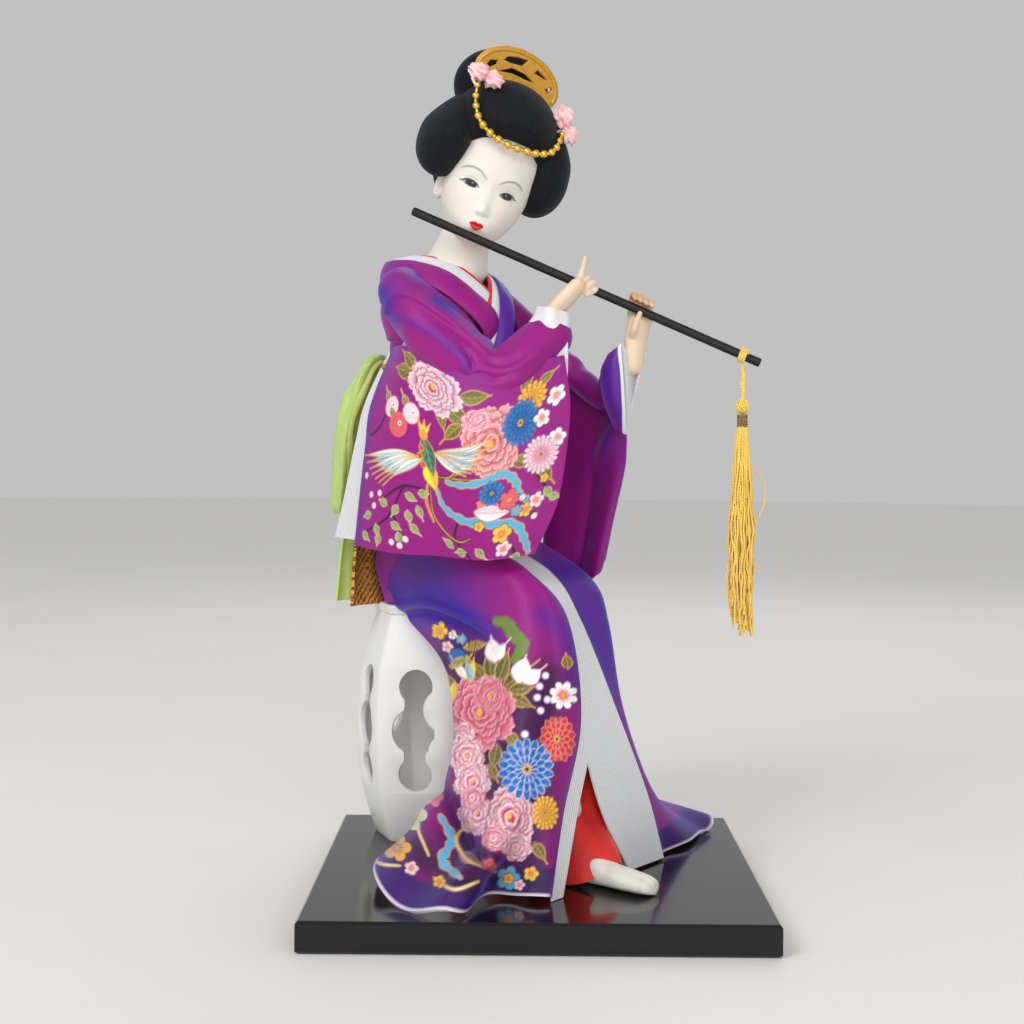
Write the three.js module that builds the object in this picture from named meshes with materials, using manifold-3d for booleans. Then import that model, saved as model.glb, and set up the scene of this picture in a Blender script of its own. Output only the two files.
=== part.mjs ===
// A seated figurine doll in a kimono, playing a flute on a barrel stool that stands on a lacquered board.
// Millimetres, +Z up, the front of the board towards -Y, origin in the middle of the board's underside.
import * as THREE from "three";
import { mergeVertices } from "three/addons/utils/BufferGeometryUtils.js";
import Module from "manifold-3d";

const wasm = await Module();
wasm.setup();

// Clearances and cloth
const GAP = 0.3;
const PIVOT_GAP = 0.35;
const NECK_GAP = 0.5;
const THIN_CLOTH = 1;
const CLOTH = 1.2;
const THICK_CLOTH = 1.6;

// Board
const BOARD_WIDTH = 150;
const BOARD_DEPTH = 150;
const BOARD_HEIGHT = 10;
const BOARD_EDGE = 0.8;

// Stool: a hexagonal barrel with a lobed window in each side
const STOOL_X = -40;
const STOOL_Y = 46;
const STOOL_TURN = 20;
const STOOL_SIDES = 6;
const STOOL_HEIGHT = 84;
const STOOL_MID_RADIUS = 29;
const STOOL_END_RADIUS = 21;
const STOOL_BELLY = 2.2;
const STOOL_WALL = 2.4;
const STOOL_TOP_THICKNESS = 3;
const STOOL_TOP_LIP = 1;
const STOOL_FLOOR_THICKNESS = 4;
const WINDOW_LOBE_RADIUS = 8.6;
const WINDOW_END_RADIUS = 6.2;
const WINDOW_END_OFFSET = 16;
const WINDOW_NECK = 8;
const SCREW_RADIUS = 1.5;
const SCREW_HEAD_RADIUS = 3;
const SCREW_HEAD_HEIGHT = 2;
const SCREW_SPACING = 16;
const SCREW_SINK = 0.6;
const SCREW_TIP_COVER = 1;

// Figure: its way of facing, lengths of the limbs and the wires inside
const FACING = 44;
const WIRE_RADIUS = 0.9;
const SPINE_RADIUS = 1.4;
const HIP_RISE = 15;
const HIP_SPREAD = 12;
const THIGH_LENGTH = 63;
const THIGH_RADIUS = 11;
const KNEE_SPREAD = 10;
const KNEE_RISE = 5;
const KNEE_RADIUS = 8.5;
const ANKLE_RADIUS = 4.5;
const TORSO_HEIGHT = 124;
const LEAN_FORWARD = 25;
const LEAN_RIGHT = 11;
const SHOULDER_SPREAD = 25;
const SHOULDER_DROP = 12;
const ARM_RADIUS = 6.5;
const ELBOW_OUT = 6;
const ELBOW_FORWARD = 10;
const ELBOW_DROP = 22;
const HAND_WIDTH = 7.5;
const FINGER_RADIUS = 0.95;
const WRIST_RADIUS = 3.6;
const FOOT_LENGTH = 36;
const FOOT_WIDTH = 12;
const FOOT_HEIGHT = 11;
const RIGHT_FOOT_FORWARD = 54;
const LEFT_FOOT_FORWARD = 27;

// Head
const HEAD_YAW = 23;
const HEAD_TILT = 17;
const HEAD_NOD = 8;
const FACE_TURN = -9;
const HEAD_WIDTH = 33;
const HEAD_DEPTH = 37;
const FACE_HEIGHT = 21;
const CHIN_SETBACK = 1.5;
const CROWN_HEIGHT = 23;
const NOSE_RADIUS = 2.1;
const NOSE_OUT = 1.3;
const NECK_LENGTH = 31;
const NECK_RADIUS = 9;
const NECK_BACK = 4;
const NECK_FLARE = 2.5;
const NECK_PEG = 20;
const BEAD_RADIUS = 1.5;
const BEAD_COUNT = 16;
const THREAD_RADIUS = 0.5;
const COMB_WIDTH = 33;
const COMB_HEIGHT = 11;
const COMB_THICKNESS = 1.6;
const COMB_RIM = 2.6;
const COMB_PETALS = 7;
const COMB_RISE = 38;
const COMB_TILT = 8;
const COMB_PETAL_INSET = 0.6;
const COMB_PETAL_LENGTH = 5.2;
const COMB_PETAL_WIDTH = 2.8;
const FLOWER_RADIUS = 4.6;
const FLOWER_HEART_OUT = 1.2;
const FLOWER_PIN_RADIUS = 0.6;

// Flute and tassel
const FLUTE_LENGTH = 132;
const FLUTE_RADIUS = 1.55;
const FLUTE_BLOW_END = 29;
const FLUTE_SLOPE = 23.5;
const FLUTE_SWING = 4.7;
const FLUTE_ABOVE_CHIN = 2;
const FLUTE_FACE_GAP = 2;
const RIGHT_HAND_ALONG = 34;
const LEFT_HAND_ALONG = 58;
const TIE_ALONG = 96.5;
const TIE_WIDTH = 3.6;
const TIE_WALL = 0.9;
const TASSEL_HANG_GAP = 0.4;
const TASSEL_CORD_LENGTH = 11;
const TASSEL_CORD_RADIUS = 0.9;
const TASSEL_KNOT_RADIUS = 2.5;
const TASSEL_BAND_HEIGHT = 4.6;
const TASSEL_BAND_RADIUS = 1.9;
const TASSEL_LENGTH = 72;
const TASSEL_RADIUS = 4.8;

// Clothes
const SLEEVE_DROP = 66;
const LEFT_SLEEVE_DROP = 74;
const SLEEVE_BAG = 3.2;
const SLEEVE_RADIUS = 12;
const SLEEVE_FOLD = 1.4;
const INNER_SLEEVE_SHOW = 17;
const INNER_SLEEVE_FRONT = 2.5;
const OBI_RISE = 42;
const OBI_HEIGHT = 46;
const OBI_THICKNESS = 2.2;
const BODICE_THICKNESS = 2;
const COLLAR_STEP = 2.2;
const COLLAR_WIDTH = 11;
const COLLAR_DROP = 42;
const UNDER_COLLAR_WIDTH = 7;
const UNDER_COLLAR_DROP = 30;
const INNER_COLLAR_WIDTH = 4;
const INNER_COLLAR_DROP = 24;
const OBI_CORD_RADIUS = 1.3;
const BOW_BACK = 27;
const BOW_HEIGHT = 62;
const BOW_WIDTH = 50;
const TAIL_LENGTH = 62;
const HEM_CLEARANCE = 0.5;
const SKIRT_FOLD = 2.2;
const FACING_WIDTH = 10;
const LEFT_FACING_WIDTH = 17;

const radians = THREE.MathUtils.degToRad;
const vec = (x, y, z) => new THREE.Vector3(x, y, z);
const lerp = THREE.MathUtils.lerp;

// Solids from closed geometry, and back

function solidOf(geometry) {
  const bare = new THREE.BufferGeometry().setAttribute("position", geometry.getAttribute("position"));
  if (geometry.index) bare.setIndex(geometry.index);
  const merged = mergeVertices(bare, 1e-4);
  const triVerts = new Uint32Array(merged.index.array);
  const vertProperties = merged.getAttribute("position").array;
  return new wasm.Manifold(new wasm.Mesh({ numProp: 3, vertProperties, triVerts }));
}

function geometryOf(solid) {
  const mesh = solid.getMesh();
  const geometry = new THREE.BufferGeometry();
  geometry.setAttribute("position", new THREE.BufferAttribute(mesh.vertProperties, mesh.numProp));
  geometry.setIndex(new THREE.BufferAttribute(mesh.triVerts, 1));
  geometry.computeVertexNormals();
  return geometry;
}

// The largest body of a solid, so that a cut leaves no loose slivers.
function largest(solid) {
  return solid.decompose().reduce((a, b) => (b.volume() > a.volume() ? b : a));
}

const cut = (solid, ...cutters) => largest(cutters.reduce((rest, cutter) => rest.subtract(cutter), solid));
const join = (...solids) => solids.reduce((sum, next) => sum.add(next));

// A closed surface through rings of points, turned to face out, with a fan over both end rings.
function skin(rings) {
  const count = rings[0].length;
  const points = rings.flat();
  const faces = [];
  for (let r = 0; r + 1 < rings.length; r++) {
    for (let i = 0; i < count; i++) {
      const a = r * count + i;
      const b = r * count + ((i + 1) % count);
      faces.push(a, b, b + count, a, b + count, a + count);
    }
  }
  const fan = (start, turn) => {
    const middle = vec(0, 0, 0);
    for (let i = 0; i < count; i++) middle.addScaledVector(points[start + i], 1 / count);
    const centre = points.push(middle) - 1;
    for (let i = 0; i < count; i++) {
      const pair = [start + i, start + ((i + 1) % count)];
      faces.push(centre, ...(turn ? pair : pair.reverse()));
    }
  };
  fan(0, false);
  fan((rings.length - 1) * count, true);
  return solidOf(facesOf(points, faces));
}

function facesOf(points, faces) {
  const geometry = new THREE.BufferGeometry().setFromPoints(points);
  return geometry.setIndex(faces);
}

const ellipse = (sides, place) =>
  Array.from({ length: sides }, (_, i) => {
    const turn = (i / sides) * 2 * Math.PI;
    return place(Math.cos(turn), Math.sin(turn));
  });

// Level ellipses [x, y, z, half width, half depth] stacked upwards.
function stack(levels, sides, grow = 0) {
  const last = levels.length - 1;
  const rings = levels.map(([x, y, z, halfWidth, halfDepth], i) => {
    const end = i === 0 ? -grow : i === last ? grow : 0;
    return ellipse(sides, (c, s) => vec(x + c * (halfWidth + grow), y + s * (halfDepth + grow), z + end));
  });
  return skin(rings);
}

// A value from a list spread evenly over 0 to 1.
function along(list, share) {
  const place = share * (list.length - 1);
  const i = Math.min(Math.floor(place), list.length - 2);
  return lerp(list[i], list[i + 1], place - i);
}

// A round or flattened form along a curve through points, its radius from a list spread along it.
function limb(points, radii, { sides = 10, steps = 8, flat = 1, grow = 0 } = {}) {
  const curve = new THREE.CatmullRomCurve3(points);
  const frames = curve.computeFrenetFrames(steps, false);
  const rings = frames.tangents.map((tangent, i) => {
    const share = i / steps;
    const radius = along(radii, share);
    const end = i === 0 ? -grow : i === steps ? grow : 0;
    const centre = curve.getPointAt(share).addScaledVector(tangent, end);
    return ellipse(sides, (c, s) =>
      centre
        .clone()
        .addScaledVector(frames.normals[i], c * (radius + grow))
        .addScaledVector(frames.binormals[i], s * (radius * flat + grow)),
    );
  });
  return skin(rings);
}

// A smooth surface through a net of points, sampled as rows and columns.
function surfaceOf(net, rows, columns) {
  const spread = (points, count) => {
    const curve = new THREE.CatmullRomCurve3(points, false, "catmullrom");
    return Array.from({ length: count + 1 }, (_, i) => curve.getPoint(i / count));
  };
  const lines = net.map((row) => spread(row, columns));
  const down = lines[0].map((_, c) => spread(lines.map((line) => line[c]), rows));
  return Array.from({ length: rows + 1 }, (_, r) => down.map((line) => line[r]));
}

// A sheet of cloth over a net of points: a closed solid, half its thickness on each side of the net.
function sheet(net, thickness, { rows = 10, columns = 8, grow = 0, fold = () => 0 } = {}) {
  const grid = surfaceOf(net, rows, columns);
  const step = (r, c) => grid[Math.min(Math.max(r, 0), rows)][Math.min(Math.max(c, 0), columns)];
  const side = (reach) =>
    grid.map((row, r) =>
      row.map((point, c) => {
        const across = step(r, c + 1).clone().sub(step(r, c - 1)).normalize();
        const down = step(r + 1, c).clone().sub(step(r - 1, c)).normalize();
        const normal = across.clone().cross(down).normalize();
        const edgeAcross = c === 0 ? -grow : c === columns ? grow : 0;
        const edgeDown = r === 0 ? -grow : r === rows ? grow : 0;
        return point
          .clone()
          .addScaledVector(normal, reach + fold(c / columns, r / rows))
          .addScaledVector(across, edgeAcross)
          .addScaledVector(down, edgeDown);
      }),
    );
  const reach = thickness / 2 + grow;
  const points = [...side(reach).flat(), ...side(-reach).flat()];
  const wide = columns + 1;
  const back = (rows + 1) * wide;
  const faces = [];
  const quad = (a, b, c, d) => faces.push(a, b, c, a, c, d);
  for (let r = 0; r < rows; r++) {
    for (let c = 0; c < columns; c++) {
      const a = r * wide + c;
      quad(a, a + 1, a + wide + 1, a + wide);
      quad(back + a, back + a + wide, back + a + wide + 1, back + a + 1);
    }
  }
  for (let c = 0; c < columns; c++) {
    const foot = rows * wide + c;
    quad(c + 1, c, back + c, back + c + 1);
    quad(foot, foot + 1, back + foot + 1, back + foot);
  }
  for (let r = 0; r < rows; r++) {
    const left = r * wide;
    const right = left + columns;
    quad(left, left + wide, back + left + wide, back + left);
    quad(right + wide, right, back + right, back + right + wide);
  }
  return solidOf(facesOf(points, faces));
}

function lathe(profile, segments = 24) {
  return solidOf(new THREE.LatheGeometry(profile.map(([r, z]) => new THREE.Vector2(r, z)), segments));
}

// A lathe turns about Y in three.js, so this stands its axis up along Z.
const upright = (solid) => solid.rotate([90, 0, 0]);

function ball(radius, centre, [x, y, z] = [1, 1, 1], width = 12, height = 8) {
  const geometry = new THREE.SphereGeometry(radius, width, height);
  return solidOf(geometry).scale([x, y, z]).translate(centre.toArray());
}

function block(width, depth, height) {
  return solidOf(new THREE.BoxGeometry(width, depth, height));
}

// Groups: stool and figure stand on the board; head, flute and tassel hang on the figure

const part = new THREE.Group();
part.name = "doll";
const stool = new THREE.Group();
const figure = new THREE.Group();
const head = new THREE.Group();
const flute = new THREE.Group();
const tassel = new THREE.Group();
part.add(stool, figure);
figure.add(head, flute, tassel);

stool.position.set(STOOL_X, STOOL_Y, BOARD_HEIGHT);
stool.rotation.z = radians(STOOL_TURN);
figure.position.set(STOOL_X, STOOL_Y, BOARD_HEIGHT);
figure.rotation.z = radians(FACING);

const turnAbout = (x, y, z, degrees) =>
  new THREE.Quaternion().setFromAxisAngle(vec(x, y, z), radians(degrees));
const unturn = turnAbout(0, 0, 1, -FACING);

// The figure's own frame: +X to its left, -Y forwards, Z from the board's top.
const seatZ = STOOL_HEIGHT + STOOL_TOP_THICKNESS;
const hipZ = seatZ + HIP_RISE;
const kneeZ = seatZ + KNEE_RISE;
const kneeY = -THIGH_LENGTH;
const neck = vec(-LEAN_RIGHT, -LEAN_FORWARD, seatZ + TORSO_HEIGHT);
const shoulderZ = neck.z - SHOULDER_DROP;

head.quaternion
  .copy(unturn)
  .multiply(turnAbout(0, 1, 0, HEAD_TILT))
  .multiply(turnAbout(1, 0, 0, HEAD_NOD))
  .multiply(turnAbout(0, 0, 1, HEAD_YAW));
const neckFoot = vec(0, NECK_BACK, -NECK_LENGTH);
head.position.copy(neck).sub(neckFoot.clone().applyQuaternion(head.quaternion));
head.updateMatrix();

// The flute lies across the chin, below the mouth, with its own +X along it.
const chinFront = -HEAD_DEPTH / 2 + CHIN_SETBACK;
const flutePoint = vec(0, chinFront - FLUTE_FACE_GAP - FLUTE_RADIUS, FLUTE_ABOVE_CHIN - FACE_HEIGHT);
flute.position.copy(flutePoint.applyMatrix4(head.matrix));
flute.quaternion
  .copy(unturn)
  .multiply(turnAbout(0, 0, 1, -FLUTE_SWING))
  .multiply(turnAbout(0, 1, 0, FLUTE_SLOPE));
flute.updateMatrix();
const onFlute = (distance) => vec(distance, 0, 0).applyMatrix4(flute.matrix);

tassel.position.copy(onFlute(TIE_ALONG));
tassel.quaternion.copy(unturn);
part.updateMatrixWorld(true);

// A solid of one group in the frame of another.
function moved(solid, from, to) {
  const matrix = to.matrixWorld.clone().invert().multiply(from.matrixWorld);
  return solid.transform(matrix.elements);
}

// Finishes
const finish = (color, roughness, metalness = 0) =>
  new THREE.MeshStandardMaterial({ color, roughness, metalness });
const lacquer = finish("#0b0b0d", 0.15);
const whiteStool = finish("#e9e9e6", 0.45);
const steel = finish("#9a9a9c", 0.35, 1);
const foam = finish("#d8d2c4", 0.9);
const ivory = finish("#ece6df", 0.5);
const blackHair = finish("#15151a", 0.6);
const gilt = finish("#c8962a", 0.3, 0.9);
const pinkCloth = finish("#f0b6c2", 0.7);
const purpleSilk = finish("#8a1f8f", 0.45);
const whiteSilk = finish("#e8e6ea", 0.5);
const redSilk = finish("#d0140f", 0.5);
const limeSatin = finish("#a9cf6a", 0.4);
const brocade = finish("#b8791f", 0.55);
const blackWood = finish("#141416", 0.4);
const yellowThread = finish("#edb92a", 0.6);

function add(group, name, solid, material) {
  const mesh = new THREE.Mesh(geometryOf(solid), material);
  mesh.name = name;
  group.add(mesh);
}

// Board and stool

const screwPlaces = [-1, 1].map((side) => (side * SCREW_SPACING) / 2);

function boardForm() {
  const half = (size) => size / 2 - BOARD_EDGE;
  const outline = new THREE.Shape();
  outline.moveTo(-half(BOARD_WIDTH), -half(BOARD_DEPTH));
  outline.lineTo(half(BOARD_WIDTH), -half(BOARD_DEPTH));
  outline.lineTo(half(BOARD_WIDTH), half(BOARD_DEPTH));
  outline.lineTo(-half(BOARD_WIDTH), half(BOARD_DEPTH));
  outline.closePath();
  const geometry = new THREE.ExtrudeGeometry(outline, {
    depth: BOARD_HEIGHT - 2 * BOARD_EDGE,
    bevelThickness: BOARD_EDGE,
    bevelSize: BOARD_EDGE,
    bevelSegments: 1,
  });
  return solidOf(geometry).translate([0, 0, BOARD_EDGE]);
}

// The board as a plain block, for keeping cloth off it.
const boardBody = (grow) =>
  block(BOARD_WIDTH, BOARD_DEPTH, BOARD_HEIGHT + 2 * grow).translate([0, 0, BOARD_HEIGHT / 2]);

// A flat-headed screw from below, standing on Z = 0 with its head down.
function screwForm(grow = 0) {
  const tip = BOARD_HEIGHT + STOOL_FLOOR_THICKNESS - SCREW_SINK - SCREW_TIP_COVER;
  const profile = [
    [0, -grow],
    [SCREW_HEAD_RADIUS + grow, -grow],
    [SCREW_HEAD_RADIUS + grow, SCREW_HEAD_HEIGHT + grow],
    [SCREW_RADIUS + grow, SCREW_HEAD_HEIGHT + grow],
    [SCREW_RADIUS + grow, tip + grow],
    [0, tip + grow],
  ];
  return upright(lathe(profile, 10)).translate([0, 0, SCREW_SINK - BOARD_HEIGHT]);
}

// The screw's hole, open below its head.
function screwHole() {
  const radius = SCREW_HEAD_RADIUS + GAP;
  const mouth = new THREE.CylinderGeometry(radius, radius, 4 * SCREW_SINK, 10);
  return screwForm(GAP).add(upright(solidOf(mouth)).translate([0, 0, -BOARD_HEIGHT]));
}

const screws = screwPlaces.map((x) => screwForm().translate([x, 0, 0]));
const screwHoles = screwPlaces.map((x) => screwHole().translate([x, 0, 0]));
const board = screwHoles.reduce((rest, hole) => rest.subtract(moved(hole, stool, part)), boardForm());
add(part, "board", board, lacquer);

const barrelRadius = (height) => {
  const share = (2 * height) / STOOL_HEIGHT - 1;
  return lerp(STOOL_MID_RADIUS, STOOL_END_RADIUS, Math.abs(share) ** STOOL_BELLY);
};

function barrelForm(inset) {
  const steps = 4;
  const profile = Array.from({ length: steps + 1 }, (_, i) => {
    const height = (i / steps) * STOOL_HEIGHT;
    return [barrelRadius(height) - inset, height];
  });
  return profile;
}

// The barrel as one solid, for keeping cloth off it.
const stoolBody = (grow = 0) =>
  upright(lathe([[0, 0], ...barrelForm(-grow), [0, STOOL_HEIGHT]], STOOL_SIDES));

// The window's three round lobes, cut through the wall of each side.
function windowForm() {
  const lobe = (radius, rise) =>
    new THREE.CylinderGeometry(radius, radius, STOOL_MID_RADIUS, 10).translate(0, 0, rise);
  const lobes = [
    lobe(WINDOW_LOBE_RADIUS, 0),
    lobe(WINDOW_END_RADIUS, WINDOW_END_OFFSET),
    lobe(WINDOW_END_RADIUS, -WINDOW_END_OFFSET),
  ];
  const slot = block(WINDOW_NECK, STOOL_MID_RADIUS, 2 * WINDOW_END_OFFSET);
  return join(...lobes.map(solidOf), slot).translate([0, -STOOL_MID_RADIUS, STOOL_HEIGHT / 2]);
}

function stoolShell() {
  const cosine = Math.cos(Math.PI / STOOL_SIDES);
  const outer = barrelForm(0);
  const inner = barrelForm(STOOL_WALL / cosine).reverse();
  const shell = upright(lathe([...outer, ...inner, outer[0]], STOOL_SIDES));
  const turn = 180 / STOOL_SIDES;
  const windows = Array.from({ length: STOOL_SIDES }, (_, i) =>
    windowForm().rotate([0, 0, (360 * i) / STOOL_SIDES + turn]),
  );
  return windows.reduce((rest, window) => rest.subtract(window), shell);
}

function stoolPlate(radius, thickness) {
  return upright(lathe([[0, 0], [radius, 0], [radius, thickness], [0, thickness]], STOOL_SIDES));
}

const stoolInside = STOOL_END_RADIUS - STOOL_WALL / Math.cos(Math.PI / STOOL_SIDES) - GAP;
const stoolTop = (grow = 0) =>
  stoolPlate(STOOL_END_RADIUS + STOOL_TOP_LIP + grow, STOOL_TOP_THICKNESS + 2 * grow).translate([
    0,
    0,
    STOOL_HEIGHT - grow,
  ]);
const stoolFloor = stoolPlate(stoolInside, STOOL_FLOOR_THICKNESS);

// Pieces in the order in which the doll is dressed: each one is cut clear of those before it.
const cutters = [];

const boxesMeet = (a, b) => [0, 1, 2].every((i) => a.min[i] <= b.max[i] && b.min[i] <= a.max[i]);

function keepClear(group, form, clearance = GAP) {
  cutters.push(moved(form(clearance), group, part));
}

function dress(group, name, form, material, clearance = GAP) {
  const whole = moved(form(0), group, part);
  const box = whole.boundingBox();
  const near = cutters.filter((cutter) => boxesMeet(box, cutter.boundingBox()));
  add(group, name, moved(cut(whole, ...near), part, group), material);
  keepClear(group, form, clearance);
}

// Wires and padding inside the figure

const leanAt = (share) => vec(neck.x * share, neck.y * share, 0);
const waistShare = 0.35;
const headUp = vec(0, 0, 1).applyQuaternion(head.quaternion);

function spineForm(grow = 0) {
  const back = [
    vec(0, 0, STOOL_HEIGHT - SPINE_RADIUS),
    vec(0, 0, hipZ),
    leanAt(waistShare).setZ(lerp(hipZ, neck.z, 0.45)),
    neck.clone().addScaledVector(headUp, -NECK_PEG / 2),
    neck.clone().addScaledVector(headUp, -1),
  ];
  const peg = [-2, NECK_PEG].map((reach) => neck.clone().addScaledVector(headUp, reach));
  const options = { sides: 6, grow };
  const radii = [SPINE_RADIUS, SPINE_RADIUS];
  return join(limb(back, radii, { ...options, steps: 10 }), limb(peg, radii, { ...options, steps: 1 }));
}

function torsoForm(grow = 0) {
  const levels = [
    [0, 0.3, 17, 13],
    [0.02, 14, 21, 17],
    [0.25, 0.36 * TORSO_HEIGHT, 18.5, 14.5],
    [0.6, 0.65 * TORSO_HEIGHT, 22, 16],
    [0.88, 0.86 * TORSO_HEIGHT, SHOULDER_SPREAD - 1, 14],
    [0.97, TORSO_HEIGHT - 9, 14, 10],
    [1, TORSO_HEIGHT - 5, 8, 7.5],
  ].map(([share, rise, halfWidth, halfDepth]) => {
    const centre = leanAt(share);
    return [centre.x, centre.y, seatZ + rise, halfWidth, halfDepth];
  });
  return stack(levels, 12, grow);
}

const RIGHT = -1;
const LEFT = 1;
const sideName = { [RIGHT]: "right", [LEFT]: "left" };

const footForward = { [RIGHT]: RIGHT_FOOT_FORWARD, [LEFT]: LEFT_FOOT_FORWARD };
const toe = (side) => vec(side * 0.7 * KNEE_SPREAD + 2, kneeY - footForward[side], FOOT_HEIGHT / 2);
const heel = (side) => toe(side).add(vec(side * 6, FOOT_LENGTH * 0.96, 0));
const ankle = (side) => heel(side).add(vec(0, -0.2 * FOOT_LENGTH, FOOT_HEIGHT * 0.9));

const legRoute = (side) => [
  vec(side * HIP_SPREAD, -8, hipZ - 2),
  vec(side * (HIP_SPREAD + 1), kneeY * 0.5, lerp(hipZ, kneeZ, 0.45)),
  vec(side * KNEE_SPREAD, kneeY, kneeZ),
  vec(side * KNEE_SPREAD, kneeY - KNEE_RADIUS * 0.4, kneeZ * 0.7),
  ankle(side),
];

function legForm(side, grow = 0) {
  const calf = lerp(KNEE_RADIUS, ANKLE_RADIUS, 0.5);
  const radii = [THIGH_RADIUS, THIGH_RADIUS, KNEE_RADIUS + 1, KNEE_RADIUS, calf, ANKLE_RADIUS];
  return limb(legRoute(side), radii, { sides: 7, steps: 7, grow });
}

const legWire = (side, grow = 0) =>
  limb([...legRoute(side), ankle(side).add(vec(0, 0, -FOOT_HEIGHT * 0.5))], [WIRE_RADIUS, WIRE_RADIUS], {
    sides: 4,
    steps: 8,
    grow,
  });

function footForm(side, grow = 0) {
  const route = [heel(side), heel(side).lerp(toe(side), 0.55), toe(side)];
  const half = FOOT_WIDTH / 2;
  const sole = limb(route, [half * 0.6, half, half * 0.8, half * 0.9, half * 0.8, half * 0.35], {
    sides: 8,
    steps: 6,
    flat: FOOT_HEIGHT / FOOT_WIDTH,
    grow,
  });
  const rise = [heel(side).add(vec(0, -0.2 * FOOT_LENGTH, 0)), ankle(side).add(vec(0, 0, -GAP))];
  const shin = limb(rise, [ANKLE_RADIUS, ANKLE_RADIUS], { sides: 8, steps: 1, grow });
  const ground = block(4 * FOOT_LENGTH, 4 * FOOT_LENGTH, FOOT_HEIGHT);
  const below = ground.translate([0, kneeY, GAP - grow - FOOT_HEIGHT / 2]);
  return join(sole, shin).subtract(below);
}

const palm = { [RIGHT]: onFlute(RIGHT_HAND_ALONG), [LEFT]: onFlute(LEFT_HAND_ALONG) };
const wristOffset = { [RIGHT]: vec(-8, 6, -12), [LEFT]: vec(4, 6, -15) };
const shoulder = (side) => vec(neck.x + side * SHOULDER_SPREAD, neck.y, shoulderZ);
const wrist = (side) => palm[side].clone().add(wristOffset[side]);
const elbow = (side) =>
  shoulder(side).lerp(wrist(side), 0.5).add(vec(side * ELBOW_OUT, -ELBOW_FORWARD, -ELBOW_DROP));
const armRoute = (side) => [shoulder(side), elbow(side), wrist(side)];

function armForm(side, grow = 0) {
  const radii = [ARM_RADIUS, ARM_RADIUS, ARM_RADIUS - 1, WRIST_RADIUS];
  return limb(armRoute(side), radii, { sides: 8, steps: 6, grow });
}
const armWire = (side, grow = 0) => {
  const end = wrist(side).lerp(palm[side], 0.45);
  return limb([...armRoute(side), end], [WIRE_RADIUS, WIRE_RADIUS], { sides: 4, steps: 6, grow });
};

// A hand: a flat palm from the wrist to the flute, four fingers over the flute and the thumb below it.
function handForm(side, grow = 0) {
  const at = palm[side];
  const run = vec(1, 0, 0).applyQuaternion(flute.quaternion);
  const inward = wrist(side).sub(at).normalize();
  const out = run.clone().cross(inward).normalize();
  const reach = FLUTE_RADIUS + FINGER_RADIUS;
  const point = (slide, depth, rise) =>
    at.clone().addScaledVector(run, slide).addScaledVector(inward, depth).addScaledVector(out, rise);
  const back = limb(
    [wrist(side).addScaledVector(inward, -GAP), point(0, reach + 3, 0), point(0, reach - 0.5, 0)],
    [WRIST_RADIUS, HAND_WIDTH / 2, HAND_WIDTH / 2],
    { sides: 8, steps: 3, flat: 0.7, grow },
  );
  const fingers = [-1.5, -0.5, 0.5, 1.5].map((place) => {
    const slide = place * (FINGER_RADIUS * 2.05);
    const curl = [
      point(slide, reach + 0.5, reach * 0.7),
      point(slide, 0, reach * 1.15),
      point(slide, -reach * 0.9, reach * 0.7),
      point(slide, -reach * 1.1, -reach * 0.4),
    ];
    return limb(curl, [FINGER_RADIUS, FINGER_RADIUS, FINGER_RADIUS * 0.7], { sides: 4, steps: 4, grow });
  });
  const thumb = limb(
    [point(-1, reach + 3, -1), point(-1, 1, -reach * 1.1), point(-0.5, -reach * 0.6, -reach * 0.9)],
    [FINGER_RADIUS * 1.2, FINGER_RADIUS, FINGER_RADIUS * 0.8],
    { sides: 5, steps: 3, grow },
  );
  return join(back, ...fingers, thumb);
}

// The flute's solid, grown alike for the hands' bores.
function fluteForm(grow = 0) {
  const radius = FLUTE_RADIUS + grow;
  const tube = new THREE.CylinderGeometry(radius, radius, FLUTE_LENGTH, 16).rotateZ(Math.PI / 2);
  return solidOf(tube).translate([FLUTE_LENGTH / 2 - FLUTE_BLOW_END, 0, 0]);
}

add(stool, "stool_shell", stoolShell(), whiteStool);
add(stool, "stool_floor", cut(stoolFloor, ...screwHoles), whiteStool);
screws.forEach((screw, i) => add(stool, "stool_screw_" + ["left", "right"][i], screw, steel));
dress(figure, "spine_wire", spineForm, steel);
dress(stool, "stool_top", stoolTop, whiteStool);
keepClear(stool, stoolBody);
keepClear(part, boardBody);
for (const side of [RIGHT, LEFT]) {
  dress(figure, "leg_wire_" + sideName[side], (grow) => legWire(side, grow), steel);
  dress(figure, "arm_wire_" + sideName[side], (grow) => armWire(side, grow), steel);
}
dress(flute, "flute", fluteForm, blackWood, PIVOT_GAP);
dress(figure, "torso", torsoForm, foam);
for (const side of [RIGHT, LEFT]) {
  dress(figure, "leg_" + sideName[side], (grow) => legForm(side, grow), foam);
  dress(figure, "foot_" + sideName[side], (grow) => footForm(side, grow), whiteSilk);
  dress(figure, "arm_" + sideName[side], (grow) => armForm(side, grow), foam);
  dress(figure, "hand_" + sideName[side], (grow) => handForm(side, grow), ivory);
}

// Head, with +X to its left and -Y along its look, origin between the ears

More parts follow.
